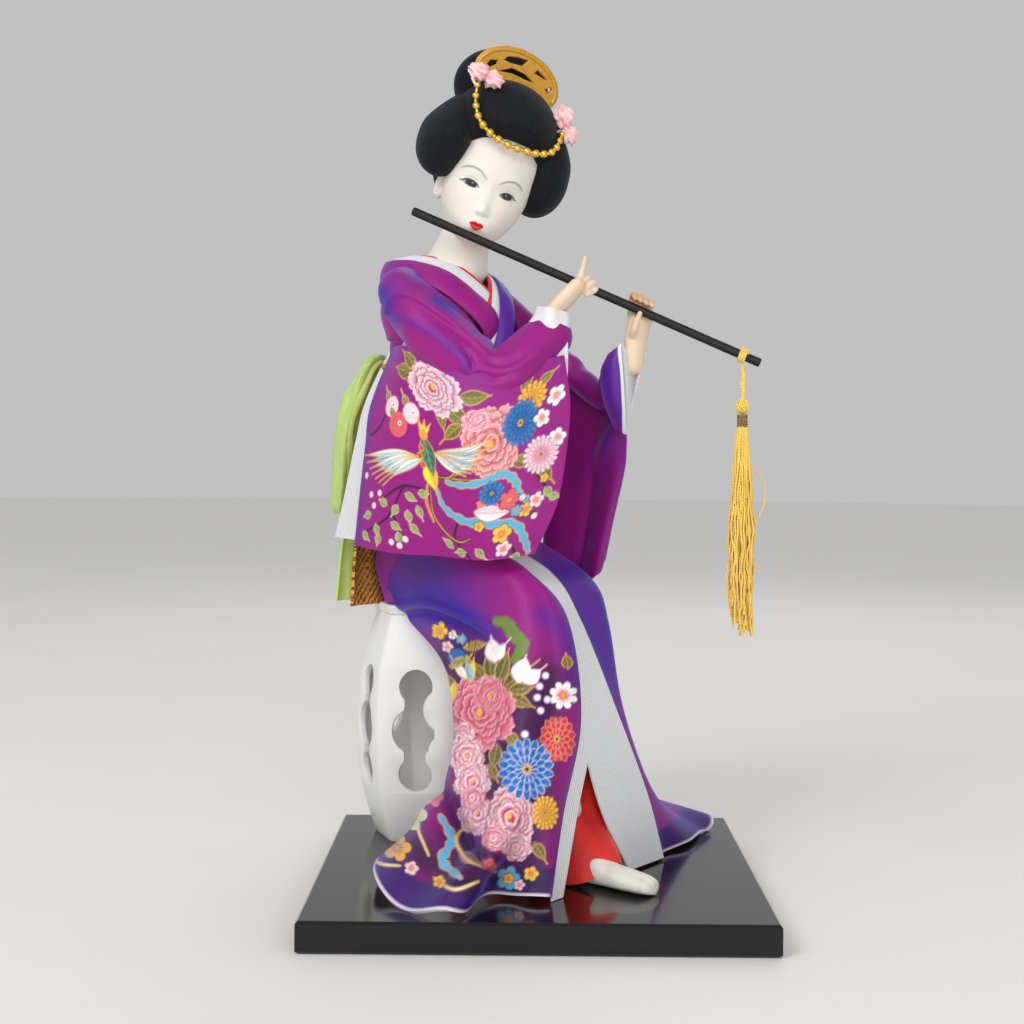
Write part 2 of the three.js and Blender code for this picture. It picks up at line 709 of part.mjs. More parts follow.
// Heights, with the face's front and the back as shares of the depth, and the half width as one of the width.
const headLevels = [
  [-FACE_HEIGHT, -0.297, -0.081, 0.121],
  [-FACE_HEIGHT + 1.5, -0.422, 0.027, 0.212],
  [-0.8 * FACE_HEIGHT, -0.454, 0.162, 0.291],
  [-0.6 * FACE_HEIGHT, -0.47, 0.27, 0.364],
  [-0.36 * FACE_HEIGHT, -0.476, 0.378, 0.424],
  [-0.1 * FACE_HEIGHT, -0.47, 0.459, 0.473],
  [0.2 * CROWN_HEIGHT, -0.486, 0.495, 0.497],
  [0.5 * CROWN_HEIGHT, -0.47, 0.495, 0.491],
  [0.76 * CROWN_HEIGHT, -0.378, 0.405, 0.406],
  [0.93 * CROWN_HEIGHT, -0.216, 0.243, 0.255],
  [CROWN_HEIGHT, -0.081, 0.081, 0.091],
];

function headForm(grow = 0) {
  const rings = headLevels.map(([z, front, back, half]) => {
    const middle = (HEAD_DEPTH * (front + back)) / 2;
    const depth = (HEAD_DEPTH * (back - front)) / 2;
    return ellipse(16, (c, s) => vec(c * (HEAD_WIDTH * half + grow), middle + s * (depth + grow), z));
  });
  rings[0].forEach((point) => (point.z -= grow));
  rings[rings.length - 1].forEach((point) => (point.z += grow));
  const nose = ball(NOSE_RADIUS, vec(0, chinFront - NOSE_OUT, -0.36 * FACE_HEIGHT), [0.8, 1, 1.5], 8, 6);
  const neckLevels = [
    [-NECK_LENGTH, NECK_RADIUS + NECK_FLARE],
    [-NECK_LENGTH + 8, NECK_RADIUS],
    [-FACE_HEIGHT + 12, NECK_RADIUS],
  ].map(([z, radius]) => [0, NECK_BACK, z, radius, radius]);
  return join(join(skin(rings), nose).rotate([0, 0, FACE_TURN]), stack(neckLevels, 16, grow));
}

function egg(x, y, z, halfWidth, halfDepth, halfHeight, grow, sides = 12, rows = 7) {
  const reach = [halfWidth + grow, halfDepth + grow, halfHeight + grow];
  return ball(1, vec(x, y, z), reach, sides, rows);
}

const hairFront = (grow) => egg(0, -1.5, 19, 19.5, 19, 15, grow);
const hairBack = (grow) => egg(0, 11, 8, 18, 15, 21, grow);
const hairWings = {
  [RIGHT]: (grow) => egg(-20, -1, 12.8, 8.6, 12.5, 15, grow),
  [LEFT]: (grow) => egg(19.5, -1, 12.9, 8.2, 12.5, 17.5, grow),
};
const hairKnot = (grow) => egg(-1, 11, 34, 17, 9.5, 12, grow);

// The comb: a half-round plate with petal openings between its rim and its foot.
function combForm(grow = 0) {
  const outline = new THREE.Shape();
  outline.moveTo(-COMB_WIDTH / 2 - grow, -COMB_RIM - grow);
  outline.lineTo(COMB_WIDTH / 2 + grow, -COMB_RIM - grow);
  outline.absellipse(0, 0, COMB_WIDTH / 2 + grow, COMB_HEIGHT + grow, 0, Math.PI, false, 0);
  if (grow === 0) {
    for (let i = 0; i < COMB_PETALS; i++) {
      const turn = ((i + 0.5) / COMB_PETALS) * Math.PI;
      const inside = new THREE.Vector2(COMB_WIDTH / 2 - COMB_RIM, COMB_HEIGHT - COMB_RIM);
      const tip = inside.multiply(new THREE.Vector2(Math.cos(turn), Math.sin(turn)));
      const [length, width] = [COMB_PETAL_LENGTH / 2, COMB_PETAL_WIDTH / 2];
      const centre = tip.clone().setLength(tip.length() - COMB_PETAL_INSET - length);
      const petal = ellipse(6, (c, s) =>
        new THREE.Vector2(c * length, s * width).rotateAround(new THREE.Vector2(), tip.angle()).add(centre),
      );
      outline.holes.push(new THREE.Path(petal));
    }
  }
  const depth = COMB_THICKNESS + 2 * grow;
  const geometry = new THREE.ExtrudeGeometry(outline, { depth, bevelEnabled: false, curveSegments: 9 });
  const plate = solidOf(geometry.translate(0, 0, -depth / 2).rotateX(Math.PI / 2));
  return plate.rotate([0, COMB_TILT, 0]).translate([0, 1, COMB_RISE]);
}

// The bead chain hangs from two pins and turns about the line between its ends.
const chainRoute = new THREE.CatmullRomCurve3([
  vec(-17.6, -11.5, 31.9),
  vec(-16.8, -13.4, 25.7),
  vec(-13.9, -17.3, 19.8),
  vec(-6.4, -21.2, 15.9),
  vec(2.4, -21.9, 15.3),
  vec(10, -19.8, 16.3),
  vec(14.7, -17.1, 19),
  vec(17.9, -11.4, 25.1),
]);
const chainEnds = { [RIGHT]: chainRoute.points[0], [LEFT]: chainRoute.points.at(-1) };
const chainAxis = chainEnds[LEFT].clone().sub(chainEnds[RIGHT]).normalize();
const chainHook = (side) =>
  chainEnds[side].clone().addScaledVector(chainAxis, side * (THREAD_RADIUS + PIVOT_GAP));

const flowerPlaces = { [RIGHT]: vec(-15, -9.5, 36), [LEFT]: vec(19.5, -9, 28) };
const flowerRoots = { [RIGHT]: vec(-10, -4, 28), [LEFT]: vec(14, -6, 22) };

// A flower of five petals on a pin that is stuck in the hair, with an arm out to its end of the bead chain.
function flowerForm(side) {
  return (grow) => {
    const centre = flowerPlaces[side];
    const petals = Array.from({ length: 5 }, (_, i) => {
      const turn = (i / 5) * 2 * Math.PI;
      const out = vec(Math.cos(turn), 0, Math.sin(turn)).multiplyScalar(FLOWER_RADIUS * 0.55);
      return ball(FLOWER_RADIUS * 0.5 + grow, out.add(centre), [1, 0.55, 1], 6, 3);
    });
    const heart = centre.clone().add(vec(0, -FLOWER_HEART_OUT, 0));
    const pin = [FLOWER_PIN_RADIUS, FLOWER_PIN_RADIUS];
    const hook = chainHook(side);
    const elbow = centre.clone().lerp(hook, 0.6).addScaledVector(chainAxis, side * FLOWER_RADIUS * 0.6);
    return join(
      ...petals,
      ball(FLOWER_RADIUS * 0.45 + grow, heart, [1, 0.8, 1], 6, 3),
      limb([flowerRoots[side], centre], pin, { sides: 6, steps: 1, grow }),
      limb([centre, elbow, hook], pin, { sides: 6, steps: 3, grow }),
    );
  };
}

function chainForm(grow = 0) {
  const bead = [THREAD_RADIUS, BEAD_RADIUS, BEAD_RADIUS];
  const beads = Array.from({ length: BEAD_COUNT }, () => bead).flat();
  const radii = [THREAD_RADIUS, ...beads, THREAD_RADIUS, THREAD_RADIUS];
  return limb(chainRoute.getSpacedPoints(8), radii, { sides: 5, steps: radii.length - 1, grow });
}

dress(head, "head", headForm, ivory, NECK_GAP);
dress(head, "comb", combForm, gilt);
for (const side of [RIGHT, LEFT]) {
  dress(head, "hair_flower_" + sideName[side], flowerForm(side), pinkCloth);
}
dress(head, "bead_chain", chainForm, gilt);
dress(head, "hair_front", hairFront, blackHair);
for (const side of [RIGHT, LEFT]) dress(head, "hair_side_" + sideName[side], hairWings[side], blackHair);
dress(head, "hair_knot", hairKnot, blackHair);
dress(head, "hair_back", hairBack, blackHair);

// Tassel, hanging from a tie round the flute, in a frame that stands upright at the tie

const tieOuter = FLUTE_RADIUS + PIVOT_GAP + TIE_WALL;
function tieForm(grow = 0) {
  const inner = FLUTE_RADIUS + PIVOT_GAP;
  const half = TIE_WIDTH / 2 + grow;
  const outer = tieOuter + grow;
  const ring = lathe([[inner, -half], [outer, -half], [outer, half], [inner, half], [inner, -half]], 12);
  return ring.rotate([0, 0, 90]).translate([TIE_ALONG, 0, 0]);
}

const cordTop = -Math.hypot(tieOuter, TIE_WIDTH / 2) - TASSEL_HANG_GAP;
const knotZ = cordTop - TASSEL_CORD_LENGTH - TASSEL_KNOT_RADIUS - GAP;
const bandTop = knotZ - TASSEL_KNOT_RADIUS - GAP;
const skirtTop = bandTop - TASSEL_BAND_HEIGHT - GAP;
function tasselCord() {
  const route = [0, 0.5, 1].map((share) => vec(0, 0, cordTop - TASSEL_CORD_LENGTH * share));
  return limb(route, [TASSEL_CORD_RADIUS, TASSEL_CORD_RADIUS], { sides: 8, steps: 6 });
}
const tasselKnot = () => ball(TASSEL_KNOT_RADIUS, vec(0, 0, knotZ), [1, 1, 1], 10, 7);
const tasselBand = () =>
  stack(
    [bandTop - TASSEL_BAND_HEIGHT, bandTop].map((z) => [0, 0, z, TASSEL_BAND_RADIUS, TASSEL_BAND_RADIUS]),
    12,
  );
function tasselSkirt() {
  const widths = [0.98, 1, 0.9, 0.78, 0.62, 0.36];
  const levels = widths.map((share, i) => {
    const z = skirtTop - TASSEL_LENGTH * (1 - i / (widths.length - 1));
    return [0, 0, z, TASSEL_RADIUS * share, TASSEL_RADIUS * share];
  });
  return stack(levels, 14);
}

dress(flute, "tassel_tie", tieForm, yellowThread);
dress(tassel, "tassel_cord", tasselCord, yellowThread);
dress(tassel, "tassel_knot", tasselKnot, yellowThread);
dress(tassel, "tassel_band", tasselBand, brocade);
dress(tassel, "tassel_strands", tasselSkirt, yellowThread);

// Collars, laid round the neck as strips from the right breast over the nape to the left breast

function collarForm(spread, width, drop, thickness) {
  return (grow = 0) => {
    const inner = [
      vec(-1, -spread - 6, -drop),
      vec(-spread * 0.62, -spread - 0.5, -drop * 0.55),
      vec(-spread - 1, -spread * 0.35, -5),
      vec(-spread * 0.75, spread * 0.75, 2.5),
      vec(0, spread + 1.5, 4),
      vec(spread * 0.75, spread * 0.75, 2.5),
      vec(spread + 1, -spread * 0.35, -5),
      vec(spread * 0.62, -spread - 2, -drop * 0.55),
      vec(1, -spread - 8.5, -drop),
    ];
    const fall = [
      vec(-0.8, 0.1, -0.5),
      vec(-0.9, 0, -0.4),
      vec(-0.85, 0.1, -0.5),
      vec(-0.45, 0.4, -0.8),
      vec(0, 0.6, -0.8),
      vec(0.45, 0.4, -0.8),
      vec(0.85, 0.1, -0.5),
      vec(0.9, 0, -0.4),
      vec(0.8, 0.1, -0.5),
    ];
    const row = (share) =>
      inner.map((point, i) => point.clone().add(neck).addScaledVector(fall[i], width * share));
    return sheet([row(0), row(1)], thickness, { rows: 1, columns: 16, grow });
  };
}

const collarAt = (layer) => NECK_RADIUS + layer * COLLAR_STEP;
const innerCollar = collarForm(collarAt(1), INNER_COLLAR_WIDTH, INNER_COLLAR_DROP, THIN_CLOTH);
const underCollar = collarForm(collarAt(2), UNDER_COLLAR_WIDTH, UNDER_COLLAR_DROP, CLOTH);
const kimonoCollar = collarForm(collarAt(3), COLLAR_WIDTH, COLLAR_DROP, THICK_CLOTH);
dress(figure, "inner_collar", innerCollar, redSilk);
dress(figure, "under_collar", underCollar, whiteSilk);
dress(figure, "kimono_collar", kimonoCollar, purpleSilk);

// Bodice, obi and its cord, wrapped round the torso

// A wrap round the torso between two heights, from one distance off the padding to another.
function wrapForm(low, high, inner, outer, grow) {
  const reach = 4 * TORSO_HEIGHT;
  const slab = block(reach, reach, high - low + 2 * grow).translate([0, 0, (low + high) / 2]);
  return torsoForm(outer + grow).subtract(torsoForm(inner - grow)).intersect(slab);
}

const obiLow = seatZ + OBI_RISE;
const obiHigh = obiLow + OBI_HEIGHT;
const bodiceOut = GAP + BODICE_THICKNESS;
const obiOut = bodiceOut + GAP + OBI_THICKNESS;
const waistZ = obiLow - 2;
const bodiceForm = (grow) => wrapForm(waistZ, neck.z, GAP, bodiceOut, grow);
const hipsForm = (grow) => wrapForm(seatZ + GAP, waistZ - GAP, GAP, bodiceOut, grow);
const obiForm = (grow) => wrapForm(obiLow, obiHigh, bodiceOut + GAP, obiOut, grow);
const obiCordForm = (grow) => {
  const middle = lerp(obiLow, obiHigh, 0.62);
  const inner = obiOut + GAP;
  const radius = OBI_CORD_RADIUS;
  return wrapForm(middle - radius, middle + radius, inner, inner + 2 * radius, grow);
};

dress(figure, "bodice", bodiceForm, purpleSilk);
dress(figure, "skirt_hips", hipsForm, purpleSilk);
dress(figure, "obi", obiForm, brocade);
dress(figure, "obi_cord", obiCordForm, gilt);

// Sleeves: a roll round the arm with a long bag hanging from it

// A bag of cloth hung from points along the arm: each row falls by a share of the drop, bulging halfway.
function hangingNet(tops, falls, drop, bulge) {
  return [0, 0.5, 1].map((share) =>
    tops.map((top, i) => {
      const [aside, forward, down] = falls[i];
      const fall = vec(aside, forward, -down).multiplyScalar(drop * share);
      return top.clone().add(fall).addScaledVector(bulge, 4 * share * (1 - share));
    }),
  );
}

function rightBag() {
  const [top, bend, end] = armRoute(RIGHT);
  const tops = [
    top.clone().add(vec(0, 10, -14)),
    top.clone().add(vec(-4, -6, -18)),
    bend.clone().add(vec(-12, 12, 4)),
    bend.clone().add(vec(-6, -4, -2)),
    end.clone().add(vec(0, -11, -6)),
  ];
  const falls = [
    [-0.09, 0.08, 1.1],
    [-0.03, 0, 1.09],
    [0.02, 0, 1],
    [0.02, -0.03, 0.92],
    [-0.08, -0.05, 0.96],
  ];
  return hangingNet(tops, falls, SLEEVE_DROP, vec(-2, 0, 0));
}

function leftBag() {
  const [top, bend, end] = armRoute(LEFT);
  const tops = [
    top.clone().add(vec(12, -8, -18)),
    bend.clone().add(vec(4, 18, 6)),
    bend.clone().add(vec(5, 2, 0)),
    bend.clone().add(vec(4, -10, 2)),
    end.clone().add(vec(3, 5, -2)),
  ];
  const falls = [
    [0, -0.02, 1.02],
    [0, 0.04, 1],
    [0, 0.14, 0.95],
    [0, 0.15, 0.83],
    [0.06, 0.26, 0.8],
  ];
  return hangingNet(tops, falls, LEFT_SLEEVE_DROP, vec(1.5, 0, 0));
}

const bags = { [RIGHT]: rightBag, [LEFT]: leftBag };
const bagFold = (u, v) => SLEEVE_FOLD * v * Math.sin(3 * Math.PI * u + 0.6);

function sleeveForm(side) {
  return (grow = 0) => {
    const [top, bend, end] = armRoute(side);
    const start = neck.clone().add(vec(side * NECK_RADIUS * 1.4, 3, -SHOULDER_DROP * 0.9));
    const stop = end.clone().lerp(bend, 0.25);
    const radii = [0.5, 0.85, 0.97, 1, 1, 0.92, 0.75].map((share) => share * SLEEVE_RADIUS);
    const roll = limb([start, top, bend, stop], radii, { sides: 10, steps: 8, grow });
    const bag = sheet(bags[side](), SLEEVE_BAG, { rows: 5, columns: 9, fold: bagFold, grow });
    return join(roll, bag);
  };
}

// The white inner sleeve, nearer the body, showing past the outer one at its edges.
function innerSleeveForm(side) {
  return (grow = 0) => {
    const net = bags[side]().map((row, r) =>
      row.map((point, c) => {
        const shown = side === RIGHT ? INNER_SLEEVE_SHOW : 0;
        const back = c === 0 ? shown * (0.3 + 0.35 * r) : 0;
        const front = c === row.length - 1 ? side * INNER_SLEEVE_FRONT : 0;
        return point.clone().add(vec(SLEEVE_BAG + 1.2, back + front, 2));
      }),
    );
    return sheet(net, CLOTH, { rows: 5, columns: 8, fold: bagFold, grow });
  };
}

function cuffForm(side) {
  return (grow = 0) => {
    const [, bend, end] = armRoute(side);
    const route = [end.clone().lerp(bend, 0.3), end];
    return limb(route, [SLEEVE_RADIUS - 4.5, SLEEVE_RADIUS - 6], { sides: 12, steps: 2, grow });
  };
}

for (const side of [RIGHT, LEFT]) {
  dress(figure, "cuff_" + sideName[side], cuffForm(side), whiteSilk);
  dress(figure, "sleeve_" + sideName[side], sleeveForm(side), purpleSilk);
  dress(figure, "inner_sleeve_" + sideName[side], innerSleeveForm(side), whiteSilk);
}

// Skirt: a red underskirt, and two printed panels with white facings along their front edges

// Places on the skirt: on the lap by share of the thigh and rise over the seat,
// below it by distance in front of the knee and share of the knee's height.
const lap = (x, share, rise) => vec(x, kneeY * share, seatZ + rise);
const shin = (x, forward, share) => vec(x, kneeY - forward, HEM_CLEARANCE + share * kneeZ);

const rightEdge = [
  lap(-3, 0.36, 37),
  lap(-4, 0.7, 27),
  lap(-5, 1.12, 16),
  shin(-5, 18, 0.95),
  shin(-9, 27, 0.6),
  shin(-24, 32, 0.27),
  shin(-35, 33, 0.01),
];
const leftEdge = [
  lap(9, 0.34, 37),
  lap(10, 0.7, 27),
  lap(11, 1.12, 15),
  shin(10, 17, 0.93),
  shin(13, 24, 0.6),
  shin(22, 27, 0.27),
  shin(33, 25, 0.01),
];

const rightPanel = [
  rightEdge,
  [
    lap(-11, 0.32, 35), lap(-12, 0.7, 27), lap(-12, 1.12, 17),
    shin(-14, 19, 0.95), shin(-20, 26, 0.6), shin(-37, 32, 0.27), shin(-53, 36, 0.01),
  ],
  [
    lap(-21, 0.24, 25), lap(-24, 0.67, 18), lap(-23, 1.06, 11),
    shin(-25, 13, 0.9), shin(-31, 18, 0.57), shin(-47, 26, 0.24), shin(-70, 31, 0.012),
  ],
  [
    lap(-25, 0.05, 11), lap(-28, 0.56, -2), lap(-27, 0.86, -12),
    shin(-27, -4, 0.66), shin(-31, 2, 0.42), shin(-46, 6, 0.19), shin(-73, 0, 0.02),
  ],
  [
    lap(-25, -0.12, -2), lap(-27, 0.34, -14), lap(-26, 0.64, -24),
    shin(-26, -16, 0.55), shin(-29, -12, 0.36), shin(-42, -16, 0.2), shin(-56, -34, 0.05),
  ],
];
const leftPanel = [
  leftEdge,
  [
    lap(14, 0.28, 34), lap(15, 0.67, 24), lap(15, 1.08, 12),
    shin(16, 13, 0.91), shin(20, 18, 0.59), shin(36, 18, 0.27), shin(56, 16, 0.01),
  ],
  [
    lap(20, 0.15, 24), lap(22, 0.58, 14), lap(22, 0.95, 3),
    shin(23, 3, 0.83), shin(29, 7, 0.54), shin(48, 7, 0.26), shin(80, 8, 0.012),
  ],
  [
    lap(24, 0, 12), lap(25, 0.48, -2), lap(25, 0.78, -15),
    shin(26, -12, 0.65), shin(31, -9, 0.43), shin(48, -9, 0.21), shin(84, -3, 0.02),
  ],
  [
    lap(25, -0.12, -2), lap(26, 0.33, -16), lap(25, 0.6, -26),
    shin(26, -26, 0.52), shin(31, -25, 0.37), shin(42, -27, 0.22), shin(62, -29, 0.04),
  ],
];

const skirtFold = (u, v) => SKIRT_FOLD * v * v * Math.sin(5 * Math.PI * u + 0.4);
const turned = (columns) => columns[0].map((_, r) => columns.map((column) => column[r]));
const skirtForm = (panel) => (grow) =>
  sheet(turned(panel), CLOTH, { rows: 12, columns: 9, fold: skirtFold, grow });

// The facing runs beside its panel's front edge, up to its own width or half the way to the other edge.
function facingForm(edge, other, width) {
  return (grow = 0) => {
    const beside = (reach) =>
      edge.map((point, r) => {
        const gap = other[r].clone().sub(point);
        const share = Math.min(reach / gap.length(), 0.48);
        return point.clone().addScaledVector(gap, share).add(vec(0, 0, -CLOTH / 2));
      });
    return sheet(turned([beside(CLOTH), beside(width)]), CLOTH, { rows: 12, columns: 2, grow });
  };
}

function underskirtForm(grow = 0) {
  const levels = [
    [-4, kneeY - 13, HEM_CLEARANCE, 24, 27],
    [-3, kneeY - 12, 0.35 * kneeZ, 20, 22],
    [-1, kneeY - 7, 0.7 * kneeZ, 17, 16],
    [0, kneeY - 4, 0.92 * kneeZ, 15, 11],
  ];
  return stack(levels, 16, grow);
}

dress(figure, "underskirt", underskirtForm, redSilk);
dress(figure, "skirt_right", skirtForm(rightPanel), purpleSilk);
dress(figure, "skirt_left", skirtForm(leftPanel), purpleSilk);
dress(figure, "facing_right", facingForm(rightEdge, leftEdge, FACING_WIDTH), whiteSilk);
dress(figure, "facing_left", facingForm(leftEdge, rightEdge, LEFT_FACING_WIDTH), whiteSilk);

// Bow behind the waist

const bowKnot = leanAt(waistShare).add(vec(0, BOW_BACK, obiLow + 0.55 * OBI_HEIGHT));
const bowKnotForm = (grow) => egg(bowKnot.x, bowKnot.y, bowKnot.z, 7, 5.5, 8, grow, 12, 8);

function bowLoopForm(side) {
  return (grow = 0) => {
    const route = [
      bowKnot.clone().add(vec(side * 5, 1, 4)),
      bowKnot.clone().add(vec(side * BOW_WIDTH * 0.22, -1, BOW_HEIGHT * 0.36)),
      bowKnot.clone().add(vec(side * BOW_WIDTH * 0.36, 5, 0)),
      bowKnot.clone().add(vec(side * BOW_WIDTH * 0.38, 9, -BOW_HEIGHT * 0.5)),
    ];
    return limb(route, [3, 6, 8, 9, 6], { sides: 10, steps: 7, flat: 0.6, grow });
  };
}

function tailForm(side) {
  return (grow = 0) => {
    const column = (x, y) => [
      bowKnot.clone().add(vec(side * (4 + x * 0.4), 2 + y, -6)),
      bowKnot.clone().add(vec(side * (8 + x * 0.7), 2 + y, -6 - TAIL_LENGTH * 0.5)),
      bowKnot.clone().add(vec(side * (8 + x), y - 1, -6 - TAIL_LENGTH)),
    ];
    const net = turned([column(0, -6), column(9, -5), column(18, -7)]);
    return sheet(net, THICK_CLOTH, { rows: 6, columns: 4, grow });
  };
}

dress(figure, "bow_knot", bowKnotForm, limeSatin);
for (const side of [RIGHT, LEFT]) dress(figure, "bow_loop_" + sideName[side], bowLoopForm(side), limeSatin);
for (const side of [RIGHT, LEFT]) dress(figure, "bow_tail_" + sideName[side], tailForm(side), brocade);

export default part;
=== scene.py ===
"""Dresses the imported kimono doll: skin, hair, printed silk, flute, tassel, stand and studio."""
import math

import bmesh
import bpy
import numpy as np
from mathutils import Matrix


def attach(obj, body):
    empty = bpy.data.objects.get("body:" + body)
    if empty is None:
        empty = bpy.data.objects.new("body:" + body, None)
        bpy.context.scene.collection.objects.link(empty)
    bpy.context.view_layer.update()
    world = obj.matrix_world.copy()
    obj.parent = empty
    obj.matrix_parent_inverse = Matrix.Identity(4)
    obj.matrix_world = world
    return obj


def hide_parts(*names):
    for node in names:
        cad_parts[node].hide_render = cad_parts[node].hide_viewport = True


bl_info = {
    "name": "Seated Kimono Doll",
    "version": (1, 0, 0),
    "blender": (4, 5, 0),
    "location": "3D View > Sidebar > Doll",
    "description": "Builds the visible pieces of a seated kimono doll over its packed model",
    "category": "Add Mesh",
}

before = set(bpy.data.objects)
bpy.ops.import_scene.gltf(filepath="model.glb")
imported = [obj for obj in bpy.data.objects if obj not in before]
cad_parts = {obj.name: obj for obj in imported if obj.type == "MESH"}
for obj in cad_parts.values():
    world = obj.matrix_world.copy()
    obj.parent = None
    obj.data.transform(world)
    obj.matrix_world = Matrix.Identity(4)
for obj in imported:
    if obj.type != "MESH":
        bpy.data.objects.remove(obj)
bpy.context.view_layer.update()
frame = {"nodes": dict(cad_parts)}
MILLIMETRE = 0.001
RIGHT, LEFT = -1, 1
SIDES = {RIGHT: "right", LEFT: "left"}


def turn(axis, degrees):
    """A turn about an axis as a matrix of three by three."""
    return np.array(Matrix.Rotation(math.radians(degrees), 3, axis))


class Place:
    """A frame of the doll: where its origin lies, in millimetres, and how it is turned."""

    def __init__(self, origin, rotation):
        self.origin = np.asarray(origin, float)
        self.rotation = rotation

    def __call__(self, points):
        return np.asarray(points, float) @ self.rotation.T + self.origin


FIGURE = Place((-40, 46, 10), turn("Z", 44))
HEAD = Place(FIGURE((-9.11, -37.9, 239.41)), turn("Y", 17) @ turn("X", 8) @ turn("Z", 23))
FLUTE = Place((-18.82, -3.67, 226.55), turn("Z", -4.7) @ turn("Y", 23.5))
TASSEL = Place((69.38, -10.92, 188.07), np.eye(3))
STOOL = Place((-40, 46, 10), turn("Z", 20))

# The figure's own frame: +X to its left, -Y forwards, Z from the board's top.
SEAT = 87
KNEE = 92
KNEE_FRONT = -63
NECK = np.array((-11.0, -25.0, 211.0))
OBI_LOW, OBI_HIGH = 129, 175
SHOULDER = {RIGHT: (-36, -25, 199), LEFT: (14, -25, 199)}
HEEL = {RIGHT: (-11, -82.44), LEFT: (15, -55.44)}
TOE = {RIGHT: (-5, -117), LEFT: (9, -90)}
BOW_KNOT = np.array((-3.85, 18.25, 154.3))
CAMERA = {"place": (-7.1, -597.0, 158.3), "focal": 1702.0, "centre": (520.0, 440.0), "roll": 0.5}
PICTURE_WIDTH, SENSOR_WIDTH = 1024, 36


def linear(red, green, blue):
    """A screen colour of 0 to 255 as the light that a shader takes."""
    share = np.array((red, green, blue), float) / 255
    return np.where(share <= 0.04045, share / 12.92, ((share + 0.055) / 1.055) ** 2.4)


class DollSizes(bpy.types.PropertyGroup):
    """Sizes that a user would change."""

    silk: bpy.props.FloatProperty(
        name="Silk", description="Thickness of the outer silk with its lining", default=0.001, unit="LENGTH")
    collar: bpy.props.FloatProperty(
        name="Collar", description="Thickness of a folded collar", default=0.0015, unit="LENGTH")
    strand: bpy.props.FloatProperty(
        name="Strand", description="Radius of a tassel strand", default=0.00034, unit="LENGTH")
    strands: bpy.props.IntProperty(name="Strands", description="Strands in the tassel", default=76, min=8)
    bead: bpy.props.FloatProperty(
        name="Bead", description="Radius of the largest bead of the hair chain", default=0.00145, unit="LENGTH")
    beads: bpy.props.IntProperty(name="Beads", description="Beads on the hair chain", default=16, min=4)
    rib: bpy.props.FloatProperty(
        name="Rib", description="Distance between the ribs of the lining, in millimetres", default=1.15)


def colour_property(name, description, value):
    """A colour of the doll as a property."""
    return bpy.props.FloatVectorProperty(
        name=name, description=description, subtype="COLOR", size=3, min=0, max=1,
        default=[float(part) for part in linear(*value)])


class DollColours(bpy.types.PropertyGroup):
    """Colours that a user would change."""

    # The silk colour is where the cloth faces the front; the cool colour is painted sheen and shade where it
    # turns aside and along its folds.
    silk: colour_property("Silk", "Warm colour of the shot silk", (152, 17, 122))
    shade: colour_property("Silk shade", "Cool colour of the shot silk", (60, 32, 146))
    lining: colour_property("Lining", "Silvery lining and inner sleeves", (226, 226, 228))
    red: colour_property("Underskirt", "Red cloth under the skirt and collar", (214, 30, 24))
    lime: colour_property("Bow", "Satin of the bow", (176, 200, 104))
    gold: colour_property("Brocade", "Gold of the obi's brocade", (224, 156, 52))
    skin: colour_property("Skin", "Matt finish of the head", (228, 222, 214))
    hand: colour_property("Hands", "Finish of the hands", (230, 205, 178))
    hair: colour_property("Hair", "Flocked hair", (17, 18, 20))
    comb: colour_property("Comb", "Lacquer of the comb", (200, 146, 34))
    pink: colour_property("Hair flowers", "Ribbon of the hair flowers", (244, 190, 194))
    thread: colour_property("Tassel", "Thread of the tassel", (255, 226, 100))
    stool: colour_property("Stool", "Paint of the stool", (228, 228, 226))
    lacquer: colour_property("Board", "Lacquer of the board", (14, 14, 16))


# Node trees


class Socket:
    """A value in a node tree, with arithmetic that adds Math nodes."""

    def __init__(self, nodes, socket):
        self.nodes, self.socket = nodes, socket

    def math(self, operation, *others):
        return self.nodes.node("ShaderNodeMath", (self, *others), operation=operation)

    __add__ = __radd__ = lambda self, other: self.math("ADD", other)
    __mul__ = __rmul__ = lambda self, other: self.math("MULTIPLY", other)
    __sub__ = lambda self, other: self.math("SUBTRACT", other)
    __rsub__ = lambda self, other: self.nodes.node("ShaderNodeMath", (other, self), operation="SUBTRACT")
    __truediv__ = lambda self, other: self.math("DIVIDE", other)
    __pow__ = lambda self, other: self.math("POWER", other)

    def sine(self):
        return self.math("SINE")

    def above(self, low, high):
        """0 below low, 1 above high and smooth between."""
        values = {"Value": self, "From Min": low, "From Max": high}
        return self.nodes.node("ShaderNodeMapRange", values, interpolation_type="SMOOTHSTEP")


class Nodes:
    """A node tree that is written as expressions."""

    def __init__(self, tree):
        self.tree = tree

    def node(self, kind, inputs=(), out=0, **settings):
        """Adds a node: its settings first, then the values or links of its sockets."""
        made = self.tree.nodes.new(kind)
        for key, value in settings.items():
            setattr(made, key, value)
        for key, value in inputs.items() if isinstance(inputs, dict) else enumerate(inputs):
            if isinstance(value, Socket):
                self.tree.links.new(value.socket, made.inputs[key])
            else:
                made.inputs[key].default_value = value
        return Socket(self, made.outputs[out])

    def axes(self, vector):
        made = self.node("ShaderNodeSeparateXYZ", (vector,)).socket.node
        return [Socket(self, socket) for socket in made.outputs]

    def captured(self, geometry, name, value):
        """Keeps a value with a geometry: the geometry and the kept value."""
        made = self.node("GeometryNodeCaptureAttribute", (geometry,)).socket.node
        made.capture_items.new("FLOAT", name)
        self.tree.links.new(value.socket, made.inputs[1])
        return [Socket(self, socket) for socket in made.outputs[:2]]


